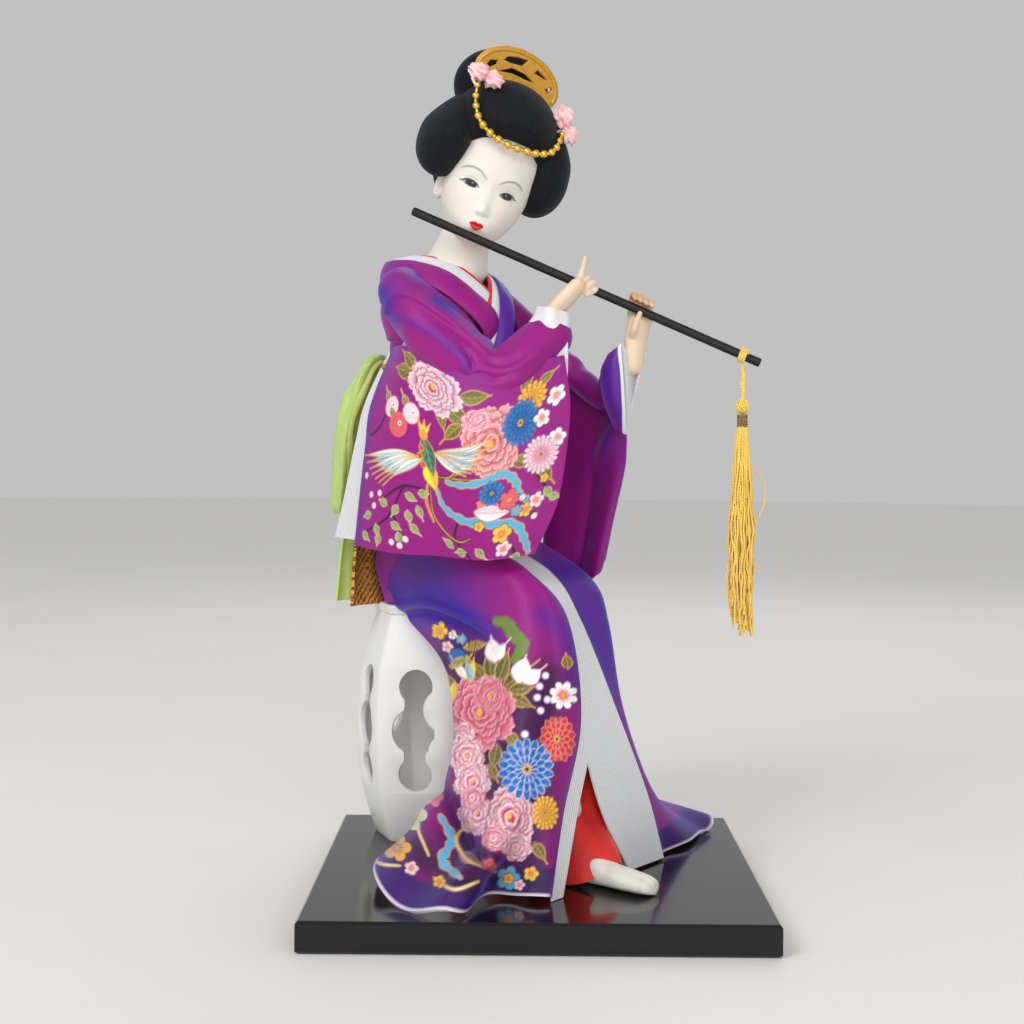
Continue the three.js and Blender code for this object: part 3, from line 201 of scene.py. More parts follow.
class Finish(Nodes):
    """A material with one Principled shader."""

    def __init__(self, name, **sockets):
        self.material = bpy.data.materials.new(name)
        self.material.use_nodes = True
        super().__init__(self.material.node_tree)
        self.shader = self.tree.nodes["Principled BSDF"]
        self.set(**sockets)

    def set(self, **sockets):
        """Sets sockets of the shader: base_color is Base Color."""
        for key, value in sockets.items():
            socket = self.shader.inputs[key.replace("_", " ").title().replace("Ior", "IOR")]
            if isinstance(value, Socket):
                self.tree.links.new(value.socket, socket)
            elif hasattr(value, "__len__"):
                socket.default_value = [*value][:3] + [1.0]
            else:
                socket.default_value = value
        return self.material

    def place(self):
        return self.node("ShaderNodeTexCoord", out="Object")

    def attribute(self, name, out="Color"):
        return self.node("ShaderNodeAttribute", (), out, attribute_name=name)

    def flat(self):
        return self.attribute("Flat", "Vector")

    def scaled(self, vector, *shares):
        return self.node("ShaderNodeVectorMath", (vector, shares), operation="MULTIPLY")

    def noise(self, vector, scale, detail=3.0):
        return self.node("ShaderNodeTexNoise", {"Vector": vector, "Scale": scale, "Detail": detail})

    def cells(self, vector, scale):
        return self.node("ShaderNodeTexVoronoi", {"Vector": vector, "Scale": scale}, "Distance")

    def mix(self, share, first, second):
        """A colour between two, each a socket or three numbers."""
        full = [value if isinstance(value, Socket) else (*value, 1.0) for value in (first, second)]
        return self.node("ShaderNodeMix", {0: share, 6: full[0], 7: full[1]}, 2, data_type="RGBA")

    def bump(self, height, strength, distance):
        values = {"Height": height, "Strength": strength, "Distance": distance}
        return self.set(normal=self.node("ShaderNodeBump", values))


def colours():
    return bpy.context.scene.doll_colours


def sizes():
    return bpy.context.scene.doll_sizes


def finish_silk():
    """Printed shot silk: the print, with painted sheen and shade where the folds turn, is in its Print
    attribute.
    """
    silk = Finish("shot_silk", sheen_weight=0.45, sheen_roughness=0.35, sheen_tint=(0.32, 0.22, 1.0),
                  specular_tint=(0.75, 0.62, 1.0))
    across, down, _ = silk.axes(silk.flat())
    threads = (across * 9.0).sine() * (down * 9.0).sine()
    slub = silk.noise(silk.scaled(silk.flat(), 0.5, 3.2, 1.0), 1.0, 4.0)
    dull = slub.above(0.35, 0.8)
    base = silk.mix(dull * 0.2, silk.attribute("Print"), (0.03, 0.0, 0.05))
    silk.set(base_color=base, roughness=0.34 + dull * 0.16)
    return silk.bump(threads * 0.5 + slub, 0.22, 0.0004)


def finish_lining():
    """Silvery lining, woven with fine ribs along its length."""
    lining = Finish("ribbed_lining", sheen_weight=0.25, sheen_roughness=0.4)
    across, down, _ = lining.axes(lining.flat())
    waver = lining.noise(lining.scaled(lining.flat(), 0.12, 0.05, 1), 1.0, 2.0)
    rib = ((across + waver * 1.6) * (2 * math.pi / sizes().rib)).sine()
    grain = (down * 7.0).sine() * (across * 11.0).sine()
    # Painted shade: the grooves between the ribs are darker.
    groove = rib.above(0.2, 1.0)
    pale = lining.mix(groove * 0.34, lining.attribute("Print"), (0.36, 0.35, 0.39))
    lining.set(base_color=pale, roughness=0.36 + groove * 0.2)
    return lining.bump(rib * -0.5 + grain * 0.25, 0.45, 0.0005)


def finish_plain_cloth(name, sheen):
    """A plain woven cloth, its colour in its Print attribute."""
    cloth = Finish(name, sheen_weight=0.3, sheen_roughness=0.5, sheen_tint=sheen)
    across, down, _ = cloth.axes(cloth.flat())
    threads = (across * 8.0).sine() * (down * 8.0).sine()
    cloud = cloth.noise(cloth.place(), 160.0, 4.0)
    base = cloth.mix(cloud.above(0.4, 0.8) * 0.25, cloth.attribute("Print"), (0.05, 0.01, 0.01))
    cloth.set(base_color=base, roughness=0.48 + cloud * 0.2)
    return cloth.bump(threads * 0.6 + cloud, 0.25, 0.0004)


def finish_satin():
    """Lime satin: glossy along the threads, with soft creases."""
    satin = Finish("lime_satin", sheen_weight=0.2, anisotropic=0.5)
    streak = satin.noise(satin.scaled(satin.flat(), 2.2, 0.08, 1.0), 1.0, 3.0)
    fleck = satin.noise(satin.flat(), 0.35, 2.0)
    base = satin.mix(fleck.above(0.45, 0.75) * 0.35, satin.attribute("Print"), linear(214, 222, 160))
    satin.set(base_color=base, roughness=0.24 + streak * 0.22)
    return satin.bump(streak, 0.2, 0.0004)


def finish_brocade():
    """Gold brocade: raised scrolls of gilt thread on brown silk."""
    brocade = Finish("gold_brocade")
    bend = brocade.noise(brocade.flat(), 0.3, 2.0)
    across, down, _ = brocade.axes(brocade.flat())
    scroll = ((across + bend * 5.0) * 2.8).sine() * ((down + bend * 7.0) * 2.2).sine()
    gilt = scroll.above(-0.25, 0.15)
    thread = (across * 6.0 + down * 6.0).sine().above(-0.4, 0.6)
    gold = brocade.mix(thread * 0.5, colours().gold, linear(240, 196, 96))
    base = brocade.mix(gilt, linear(112, 60, 24), gold)
    brocade.set(base_color=base, metallic=gilt * 0.45, roughness=0.62 - gilt * 0.24)
    return brocade.bump(gilt + thread * 0.4, 0.5, 0.0005)


def finish_skin(name):
    """Matt painted modelling paste with faint brush cloud, its colour in its Print attribute."""
    skin = Finish(name, subsurface_weight=0.06, subsurface_scale=0.002, specular_ior_level=0.35)
    cloud = skin.noise(skin.place(), 70.0, 4.0)
    pores = skin.noise(skin.place(), 1700.0, 2.0)
    base = skin.mix(cloud.above(0.35, 0.75) * 0.12, skin.attribute("Print"), linear(206, 186, 170))
    skin.set(base_color=base, roughness=0.5 + cloud * 0.12)
    return skin.bump(pores, 0.06, 0.0002)


def finish_hair():
    """Black flock, combed in fine lines."""
    hair = Finish("flocked_hair", sheen_weight=0.14, sheen_roughness=0.4, sheen_tint=(0.55, 0.6, 0.7),
                  specular_ior_level=0.2)
    comb = hair.noise(hair.scaled(hair.flat(), 3.2, 0.16, 1.0), 1.0, 4.0)
    flock = hair.noise(hair.place(), 1500.0, 2.0)
    tone = comb * 0.6 + flock * 0.5
    base = hair.mix(tone.above(0.4, 0.9) * 0.6, colours().hair, linear(40, 42, 45))
    hair.set(base_color=base, roughness=0.72 + flock * 0.2)
    return hair.bump(comb * 0.7 + flock * 0.8, 0.7, 0.0006)


def finish_gold(name, colour, metallic, worn):
    """Gilt or gold lacquer, duller where it is worn."""
    gold = Finish(name, metallic=metallic, coat_weight=0.4, coat_roughness=0.12)
    wear = gold.noise(gold.place(), 420.0, 4.0)
    gold.set(base_color=gold.mix(wear.above(0.45, 0.8) * 0.55, colour, worn), roughness=0.22 + wear * 0.2)
    return gold.bump(wear, 0.08, 0.0003)


def finish_ribbon():
    """Pale pink ribbon of the hair flowers, finely ribbed and faded in places."""
    ribbon = Finish("pink_ribbon", roughness=0.5, sheen_weight=0.4, subsurface_weight=0.15,
                    subsurface_scale=0.001)
    across, _, _ = ribbon.axes(ribbon.flat())
    cloud = ribbon.noise(ribbon.place(), 500.0, 3.0)
    ribbon.set(base_color=ribbon.mix(cloud.above(0.4, 0.75) * 0.6, colours().pink, linear(252, 222, 220)))
    return ribbon.bump((across * 12.0).sine() * 0.4 + cloud, 0.2, 0.0002)


def finish_thread(name, colour, deep):
    """Twisted rayon thread: bright plies with painted shade in the dark turns between; Strand gives round and
    along.
    """
    thread = Finish(name, roughness=0.34, sheen_weight=0.3, specular_ior_level=0.6)
    around, along, which = thread.axes(thread.attribute("Strand", "Vector"))
    ply = (around * (4 * math.pi) + along * 7.0 + which).sine()
    tone = thread.node("ShaderNodeTexWhiteNoise", {"W": which}, "Value", noise_dimensions="1D")
    bright = thread.mix(tone * 0.5, colour, linear(255, 220, 110))
    # Painted shade: the deep colour fills the turns between the plies.
    thread.set(base_color=thread.mix(ply.above(-0.2, 0.9), deep, bright))
    return thread.bump(ply, 0.5, 0.0003)


def finish_lacquer():
    """Black gloss lacquer with faint polish marks and dust."""
    lacquer = Finish("black_lacquer", coat_weight=0.2, coat_roughness=0.06, specular_ior_level=0.3)
    haze = lacquer.noise(lacquer.place(), 26.0, 5.0)
    speck = 1 - lacquer.cells(lacquer.place(), 900.0).above(0.05, 0.12)
    marks = lacquer.noise(lacquer.scaled(lacquer.place(), 6.0, 420.0, 1.0), 1.0, 2.0)
    return lacquer.set(base_color=lacquer.mix(speck * 0.1, colours().lacquer, (0.3, 0.3, 0.3)),
                       roughness=0.1 + haze * 0.08 + marks.above(0.62, 0.7) * 0.06)


def finish_paint():
    """White satin paint over moulded board, a little uneven, greyer in brushed streaks."""
    paint = Finish("white_paint", specular_ior_level=0.4)
    brush = paint.noise(paint.scaled(paint.place(), 1.0, 1.0, 0.35), 60.0, 5.0)
    orange = paint.noise(paint.place(), 900.0, 2.0)
    base = paint.mix(brush.above(0.4, 0.75) * 0.3, colours().stool, linear(205, 204, 202))
    paint.set(base_color=base, roughness=0.36 + brush * 0.16)
    return paint.bump(brush * 0.6 + orange * 0.4, 0.12, 0.0006)


def finish_flute():
    """Black stained wood with a satin grain along the tube."""
    wood = Finish("black_wood", specular_ior_level=0.4)
    grain = wood.noise(wood.scaled(wood.flat(), 5.0, 0.25, 1.0), 1.0, 4.0)
    base = wood.mix(grain.above(0.45, 0.8) * 0.6, linear(14, 14, 15), linear(38, 36, 36))
    wood.set(base_color=base, roughness=0.4 + grain * 0.22)
    return wood.bump(grain, 0.3, 0.0004)


def finish_foam():
    """Pale padding with small open cells."""
    foam = Finish("padding_foam", roughness=0.95)
    cell = foam.cells(foam.place(), 900.0)
    foam.set(base_color=foam.mix(cell.above(0.1, 0.6), linear(188, 180, 164), linear(224, 217, 203)))
    return foam.bump(cell, 0.5, 0.0005)


def finish_steel():
    """Drawn steel of the wires and screws."""
    steel = Finish("drawn_steel", metallic=1.0)
    draw = steel.noise(steel.scaled(steel.place(), 1.0, 1.0, 40.0), 300.0, 3.0)
    base = steel.mix(draw, linear(140, 140, 143), linear(186, 186, 188))
    return steel.set(base_color=base, roughness=0.28 + draw * 0.2)


# Each finish: its slot in the part, and what makes its material.
FINISHES = {
    "silk": ("purple_silk", finish_silk),
    "lining": ("white_silk", finish_lining),
    "red": ("red_silk", lambda: finish_plain_cloth("red_cloth", (1.0, 0.35, 0.25))),
    "white": ("white_silk", lambda: finish_plain_cloth("white_cloth", (1.0, 1.0, 1.0))),
    "satin": ("lime_satin", finish_satin),
    "brocade": ("brocade", finish_brocade),
    "face": ("ivory_skin", lambda: finish_skin("painted_face")),
    "hand": ("ivory_skin", lambda: finish_skin("painted_hand")),
    "hair": ("hair", finish_hair),
    "comb": ("gilt", lambda: finish_gold("comb_lacquer", colours().comb, 0.25, linear(156, 104, 18))),
    "gilt": ("gilt", lambda: finish_gold("gilt_bead", linear(240, 192, 76), 0.85, linear(206, 146, 40))),
    "ribbon": ("pink_cloth", finish_ribbon),
    "thread": ("yellow_thread", lambda: finish_thread("yellow_thread", colours().thread, linear(255, 206, 84))),
    "braid": ("gilt", lambda: finish_thread("orange_braid", linear(226, 132, 30), linear(110, 52, 8))),
    "band": ("brocade", lambda: finish_thread("brown_gold_thread", linear(206, 140, 40), linear(70, 32, 10))),
    "lacquer": ("lacquer", finish_lacquer),
    "paint": ("stool_white", finish_paint),
    "flute": ("black_wood", finish_flute),
    "foam": ("padding", finish_foam),
    "steel": ("steel", finish_steel),
}
made_finishes = {}


def finish(name):
    """A finish's material by its name, made once."""
    if name not in made_finishes:
        made_finishes[name] = FINISHES[name][1]()
    return made_finishes[name]


# Lines and surfaces


def spline(points, shares):
    """A smooth line through points, at shares of 0 to 1 of their count."""
    points = np.asarray(points, float)
    last = len(points) - 1
    padded = np.concatenate([[2 * points[0] - points[1]], points, [2 * points[-1] - points[-2]]])
    place = np.clip(np.asarray(shares, float), 0, 1) * last
    index = np.minimum(place.astype(int), last - 1)
    part = (place - index).reshape((-1,) + (1,) * (points.ndim - 1))
    a, b, c, d = (padded[index + step] for step in range(4))
    return b + 0.5 * part * (c - a + part * (2 * a - 5 * b + 4 * c - d + part * (3 * (b - c) + d - a)))


def steps(count):
    return np.linspace(0, 1, count)


def circle(count):
    """Angles round a ring, without the last one, which meets the first."""
    return np.linspace(0, 2 * math.pi, count, endpoint=False)


def ring(angle, wide, deep, high):
    """Points round the upright axis."""
    return np.stack([wide * np.cos(angle), deep * np.sin(angle), np.broadcast_to(high, angle.shape)], axis=-1)


def unit(vectors):
    return vectors / np.linalg.norm(vectors, axis=-1, keepdims=True)


def power(value, share):
    """A power that keeps the sign."""
    return np.sign(value) * np.abs(value) ** share


def capped(values):
    """Values of the points of rings, with those of the two end points."""
    return np.concatenate([values, values[:1], values[-1:]])


def flat_of(across, down):
    """The flat measure of a skin over rings."""
    return capped(np.stack([across, down, np.zeros_like(across)], axis=-1).reshape(-1, 3))


def even(points, count):
    """A smooth line through points, cut to equal lengths."""
    fine = spline(points, steps(40 * len(points)))
    run = np.concatenate([[0], np.cumsum(np.linalg.norm(np.diff(fine, axis=0), axis=1))])
    wanted = np.linspace(0, run[-1], count)
    return np.stack([np.interp(wanted, run, fine[:, axis]) for axis in range(fine.shape[1])], axis=1)


def surface(net, across, down):
    """A smooth surface through a net of rows, at shares across and down it."""
    lines = spline(np.asarray(net, float).swapaxes(0, 1), across)
    return spline(lines.swapaxes(0, 1), down)


def even_shares(net, count, weight=None):
    """Shares down a net that lie evenly along its length, closer where the weight is higher."""
    fine = steps(400)
    middle = surface(net, steps(9), fine).mean(axis=1)
    run = np.linalg.norm(np.diff(middle, axis=0), axis=1)
    if weight is not None:
        run = run * weight((fine[1:] + fine[:-1]) / 2)
    run = np.concatenate([[0], np.cumsum(run)])
    return np.interp(np.linspace(0, run[-1], count), run, fine)


def bell(value, middle, width):
    return np.exp(-(((value - middle) / width) ** 2))


def smooth(value, low, high):
    share = np.clip((value - low) / (high - low), 0, 1)
    return share * share * (3 - 2 * share)


def blend(first, second, share):
    """Between two colours by shares for each point."""
    share = np.asarray(share, float)[..., None]
    return np.asarray(first) * (1 - share) + np.asarray(second) * share


def nearest(x, y, path):
    """How far places lie from a line, with a sign for its side, and at which share of it."""
    line = spline(path, steps(24 * len(path)))
    gap = np.full(np.shape(x), 1e9)
    share = np.zeros(np.shape(x))
    side = np.ones(np.shape(x))
    for step, (px, py) in enumerate(line):
        dx, dy = x - px, y - py
        distance = np.hypot(dx, dy)
        closer = distance < gap
        run = line[min(step + 1, len(line) - 1)] - line[max(step - 1, 0)]
        gap = np.where(closer, distance, gap)
        share = np.where(closer, step / (len(line) - 1), share)
        side = np.where(closer, np.sign(run[0] * dy - run[1] * dx), side)
    return gap, share, side


def elevation(points):
    """Where points lie in the front view: across and up, in millimetres."""
    eye = CAMERA["place"]
    share = -eye[1] / (points[..., 1] - eye[1])
    return eye[0] + (points[..., 0] - eye[0]) * share, eye[2] + (points[..., 2] - eye[2]) * share


def transport(path):
    """Two cross directions along a path that turn as little as they can."""
    tangent = unit(np.gradient(path, axis=0))
    seed = np.cross(tangent[0], (0.0, 0.0, 1.0))
    if np.linalg.norm(seed) < 0.1:
        seed = np.cross(tangent[0], (0.0, 1.0, 0.0))
    sides = [unit(seed)]
    for direction in tangent[1:]:
        sides.append(unit(sides[-1] - direction * (sides[-1] @ direction)))
    return tangent, np.array(sides), np.cross(tangent, sides)


def tube(route, radii, count, around, flat=1.0, rounded=True):
    """Rings along a smooth route, rounded off at both ends."""
    path = even(route, count)
    radius = spline(np.asarray(radii, float)[:, None], steps(count))[:, 0]
    tangent, side, up = transport(path)
    angle = circle(around)[None, :, None]
    ring = np.cos(angle) * side[:, None] + flat * np.sin(angle) * up[:, None]
    rings = path[:, None] + radius[:, None, None] * ring
    if not rounded:
        return rings
    caps = [(0.94, 0.34), (0.78, 0.62), (0.5, 0.86)]
    start, stop = ([path[end] + way * tangent[end] * radius[end] * out * flat + radius[end] * share * ring[end]
                    for out, share in caps] for end, way in ((0, -1), (-1, 1)))
    return np.concatenate([start, rings, stop[::-1]])


def ringed(rings):
    """Points and faces of a closed skin over rings."""
    count, around = rings.shape[:2]
    start = np.arange(count - 1)[:, None] * around
    here = np.arange(around)[None, :]
    after = (here + 1) % around
    quads = np.stack([start + here, start + after, start + after + around, start + here + around], axis=-1)
    points = np.concatenate([rings.reshape(-1, 3), rings[0].mean(axis=0)[None], rings[-1].mean(axis=0)[None]])
    first, last = count * around, count * around + 1
    ends = [(first, j, i) for i, j in zip(here[0], after[0])]
    top = (count - 1) * around
    ends += [(last, top + i, top + j) for i, j in zip(here[0], after[0])]
    return points, quads.reshape(-1, 4), np.array(ends)


def joined(*parts):
    """Several sets of points and faces as one."""
    shifts = np.cumsum([0] + [len(part[0]) for part in parts])
    faces = [np.concatenate([part[kind] + shift for part, shift in zip(parts, shifts)]) for kind in (1, 2)]
    return np.concatenate([part[0] for part in parts]), *faces


def skins(parts):
    """Points and faces of several closed skins over rings."""
    return joined(*[ringed(part) for part in parts])


def egg(centre, reach, rows=48, around=64, shape=None):
    """Rings of an egg; shape moves its unit points before they are set out."""
    up = np.cos(np.linspace(math.pi - 0.02, 0.02, rows))[:, None]
    out = np.sqrt(1 - up ** 2)
    angle = circle(around)[None, :]
    points = np.stack([out * np.cos(angle), out * np.sin(angle), np.broadcast_to(up, (rows, around))], axis=-1)
    if shape:
        points = shape(points)
    return points * np.asarray(reach, float) + np.asarray(centre, float)


# Pieces


def mesh_of(name, points, quads, tris=(), flat=None, print_colour=None, sharp=None):
    """A mesh of points in millimetres, with its flat measure and its colours."""
    tris = np.asarray(tris, int).reshape(-1, 3)
    quads = np.asarray(quads, int).reshape(-1, 4)
    mesh = bpy.data.meshes.new(name)
    loops = np.concatenate([quads.ravel(), tris.ravel()])
    starts = np.concatenate([np.arange(len(quads)) * 4, 4 * len(quads) + np.arange(len(tris)) * 3])
    mesh.vertices.add(len(points))
    put(mesh, points)
    mesh.loops.add(len(loops))
    mesh.loops.foreach_set("vertex_index", loops)
    mesh.polygons.add(len(starts))
    mesh.polygons.foreach_set("loop_start", starts)
    mesh.update(calc_edges=True)
    mesh.shade_smooth()
    if sharp:
        mesh.set_sharp_from_angle(angle=math.radians(sharp))
    if flat is not None:
        measure(mesh, "Flat", flat)
    if print_colour is not None:
        tint(mesh, print_colour)
    return mesh


def measure(mesh, name, values):
    """Keeps three numbers for each point of a mesh."""
    mesh.attributes.new(name, "FLOAT_VECTOR", "POINT").data.foreach_set("vector",
                                                                        np.asarray(values, float).ravel())


def tint(mesh, colour):
    """Keeps a colour for each point of a mesh."""
    full = np.ones((len(mesh.vertices), 4))
    full[:, :3] = np.clip(colour, 0, 1)
    mesh.color_attributes.new("Print", "FLOAT_COLOR", "POINT").data.foreach_set("color", full.ravel())


def put(mesh, points):
    """Puts the points of a mesh at places in millimetres."""
    mesh.vertices.foreach_set("co", (np.asarray(points, float) * MILLIMETRE).ravel())


def points_of(mesh):
    """The points of a mesh, in millimetres."""
    place = np.zeros(len(mesh.vertices) * 3)
    mesh.vertices.foreach_get("co", place)
    return place.reshape(-1, 3) / MILLIMETRE


def turned_out(mesh):
    """The same mesh with all its faces pointing outwards."""
    made = bmesh.new()
    made.from_mesh(mesh)
    bmesh.ops.recalc_face_normals(made, faces=made.faces)
    made.to_mesh(mesh)
    made.free()
    return mesh


def skin_over(name, rings, flat=None, colour=None, sharp=None):
    """A closed skin over rings, facing outwards; a colour is for all of it or for each point."""
    points, quads, tris = ringed(rings)
    if colour is not None:
        colour = np.broadcast_to(np.array(colour), points.shape)
    return turned_out(mesh_of(name, points, quads, tris, flat, colour, sharp))


def settle(mesh, name, look_name, node, body="figure"):
    """A finished mesh as a piece that stands for its node and moves with a body."""
    piece = bpy.data.objects.new(name, mesh)
    bpy.context.scene.collection.objects.link(piece)
    mesh.materials.clear()
    mesh.materials.append(finish(look_name))
    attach(piece, body)
    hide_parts(node)
    return piece


def evaluated(holder):
    """The mesh of an object after its modifiers; the object itself goes."""
    bpy.context.scene.collection.objects.link(holder)
    graph = bpy.context.evaluated_depsgraph_get()
    mesh = bpy.data.meshes.new_from_object(holder.evaluated_get(graph))
    bpy.data.objects.remove(holder)
    return mesh


def applied(mesh, *modifiers):
    """A mesh after modifiers, each a type with its settings."""
    holder = bpy.data.objects.new("holder", mesh)
    for kind, settings in modifiers:
        modifier = holder.modifiers.new(kind.lower(), kind)
        for key, value in settings.items():
            setattr(modifier, key, value)
    return evaluated(holder)


def grown(start, tree, values):
    """The mesh that a geometry tree makes from a start mesh."""
    holder = bpy.data.objects.new("holder", start)
    modifier = holder.modifiers.new("grow", "NODES")
    modifier.node_group = tree
    for item in tree.interface.items_tree:
        if item.item_type == "SOCKET" and item.in_out == "INPUT" and item.name in values:
            modifier[item.identifier] = values[item.name]
    return evaluated(holder)


class Cloth:
    """A sheet of cloth: a grid of points, its flat measure and the colours of its two sides."""

    def __init__(self, points, away_from, closed=False):
        self.points = np.asarray(points, float)
        self.closed = closed
        self.measure()
        toward = ((self.points - np.asarray(away_from, float)) * self.normal).sum()
        self.side = 1.0 if toward >= 0 else -1.0

    def measure(self):
        """Finds the way the cloth faces and the lengths along it."""
        grid = self.points
        if self.closed:
            across = np.roll(grid, -1, axis=1) - np.roll(grid, 1, axis=1)
        else:
            across = np.gradient(grid, axis=1)
        down = np.gradient(grid, axis=0)
        normal = np.cross(across, down)
        self.normal = normal / (np.linalg.norm(normal, axis=2, keepdims=True) + 1e-12)
        self.x = np.zeros(grid.shape[:2])
        self.x[:, 1:] = np.cumsum(np.linalg.norm(np.diff(grid, axis=1), axis=2), axis=1)
        self.y = np.zeros(grid.shape[:2])
        self.y[1:] = np.cumsum(np.linalg.norm(np.diff(grid, axis=0), axis=2), axis=0)

    @property
    def outward(self):
        return self.normal * self.side

    def shares(self):
        rows, columns = self.points.shape[:2]
        return np.meshgrid(steps(columns), steps(rows))

    def fold(self, amount):
        """Moves the cloth outwards by an amount for each point."""
        self.points = self.points + self.outward * amount[..., None]
        self.measure()

    def crease(self, path, width, height, sharp=False):
        """A fold along a line of the front view, on the cloth that faces it; a sharp one drops on one side."""
        across, up = elevation(self.points)
        gap, share, side = nearest(across, up, path)
        front = smooth(-self.outward[..., 1], 0.0, 0.35) * np.sin(math.pi * np.clip(share, 0.03, 0.97)) ** 0.5
        shape = bell(gap, 0, width)
        if sharp:
            over = smooth(gap * side, -0.7, 0.7)
            shape = shape * (1.35 * over - 0.35)
        self.fold(height * shape * front)

    def zone(self, path, width):
        """How near the cloth lies to a line of the front view, where it faces the front."""
        across, up = elevation(self.points)
        return bell(nearest(across, up, path)[0], 0, width) * smooth(-self.outward[..., 1], -0.3, 0.2)

    def shot(self, cool=0.0, turned=0.5):
        """Painted sheen and shade of the silk: its own colour where it faces the front, the cool colour where
        it turns aside or is told to.
        """
        facing = self.outward @ np.array((-0.25, -0.96, 0.1))
        aside = turned * smooth(-facing, -0.75, 0.1)
        share = np.clip(aside + np.asarray(cool), 0, 1)
        return blend(colours().silk, colours().shade, share)

    def mesh(self, name, thickness, outer, inner):
        rows, columns = self.points.shape[:2]
        half = self.outward * (thickness / 2)[..., None]
        points = np.concatenate([(self.points + half).reshape(-1, 3), (self.points - half).reshape(-1, 3)])
        index = np.arange(rows * columns).reshape(rows, columns)
        if self.closed:
            index = np.concatenate([index, index[:, :1]], axis=1)
        a, b, c, d = index[:-1, :-1], index[:-1, 1:], index[1:, 1:], index[1:, :-1]
        front = np.stack([a, b, c, d], axis=-1).reshape(-1, 4)
        back = front[:, ::-1] + rows * columns
        rims = [np.stack([run[1:], run[:-1]], axis=1) for run in (index[0], index[-1][::-1])]
        if not self.closed:
            rims += [np.stack([run[1:], run[:-1]], axis=1) for run in (index[::-1, 0], index[:, -1])]
        rim = np.concatenate([np.concatenate([pair, pair[:, ::-1] + rows * columns], axis=1) for pair in rims])
        quads = np.concatenate([front, back, rim])
        if self.side < 0:
            quads = quads[:, ::-1]
        flat = np.stack([self.x, self.y, np.zeros_like(self.x)], axis=-1).reshape(-1, 3)
        tones = [np.broadcast_to(np.reshape(tone, (-1, 3)), flat.shape) for tone in (outer, inner)]
        return mesh_of(name, points, quads, (), np.concatenate([flat, flat]), np.concatenate(tones), sharp=50)

    def make(self, name, node, look_name, held, rests_on, thickness, outer, inner=None):
        """The cloth as a piece, the same inside as outside unless told."""
        thickness = np.broadcast_to(thickness, self.points.shape[:2])
        mesh = self.mesh(name, thickness, outer, outer if inner is None else inner)
        settle(mesh, name, look_name, node)

    def make_roll(self, name, node, look_name, held, rests_on, tone):
        """The cloth as a roll with closed ends."""
        settle(self.rolled(name, tone), name, look_name, node)

    def rolled(self, name, tone):
        colour = capped(np.broadcast_to(tone, self.points.shape).reshape(-1, 3))
        return skin_over(name, self.points, flat_of(self.x, self.y), colour)


# Motifs of the print, in millimetres of the cloth's flat measure

GOLD = linear(226, 176, 62)
WHITE = linear(246, 242, 240)
OLIVE = linear(98, 104, 40)
LEAF_GREEN = linear(112, 140, 54)
DARK = linear(44, 18, 30)
BLUE = linear(28, 104, 178)
SKY = linear(92, 178, 216)
CORAL = linear(232, 96, 96)
BLUSH = linear(250, 214, 220)
YELLOW = linear(244, 200, 48)
TEAL = linear(22, 110, 88)
EDGE = 0.4


def cover(distance):
    """How far a point inside an edge is covered by ink."""
    return np.clip(0.5 + distance / EDGE, 0, 1)


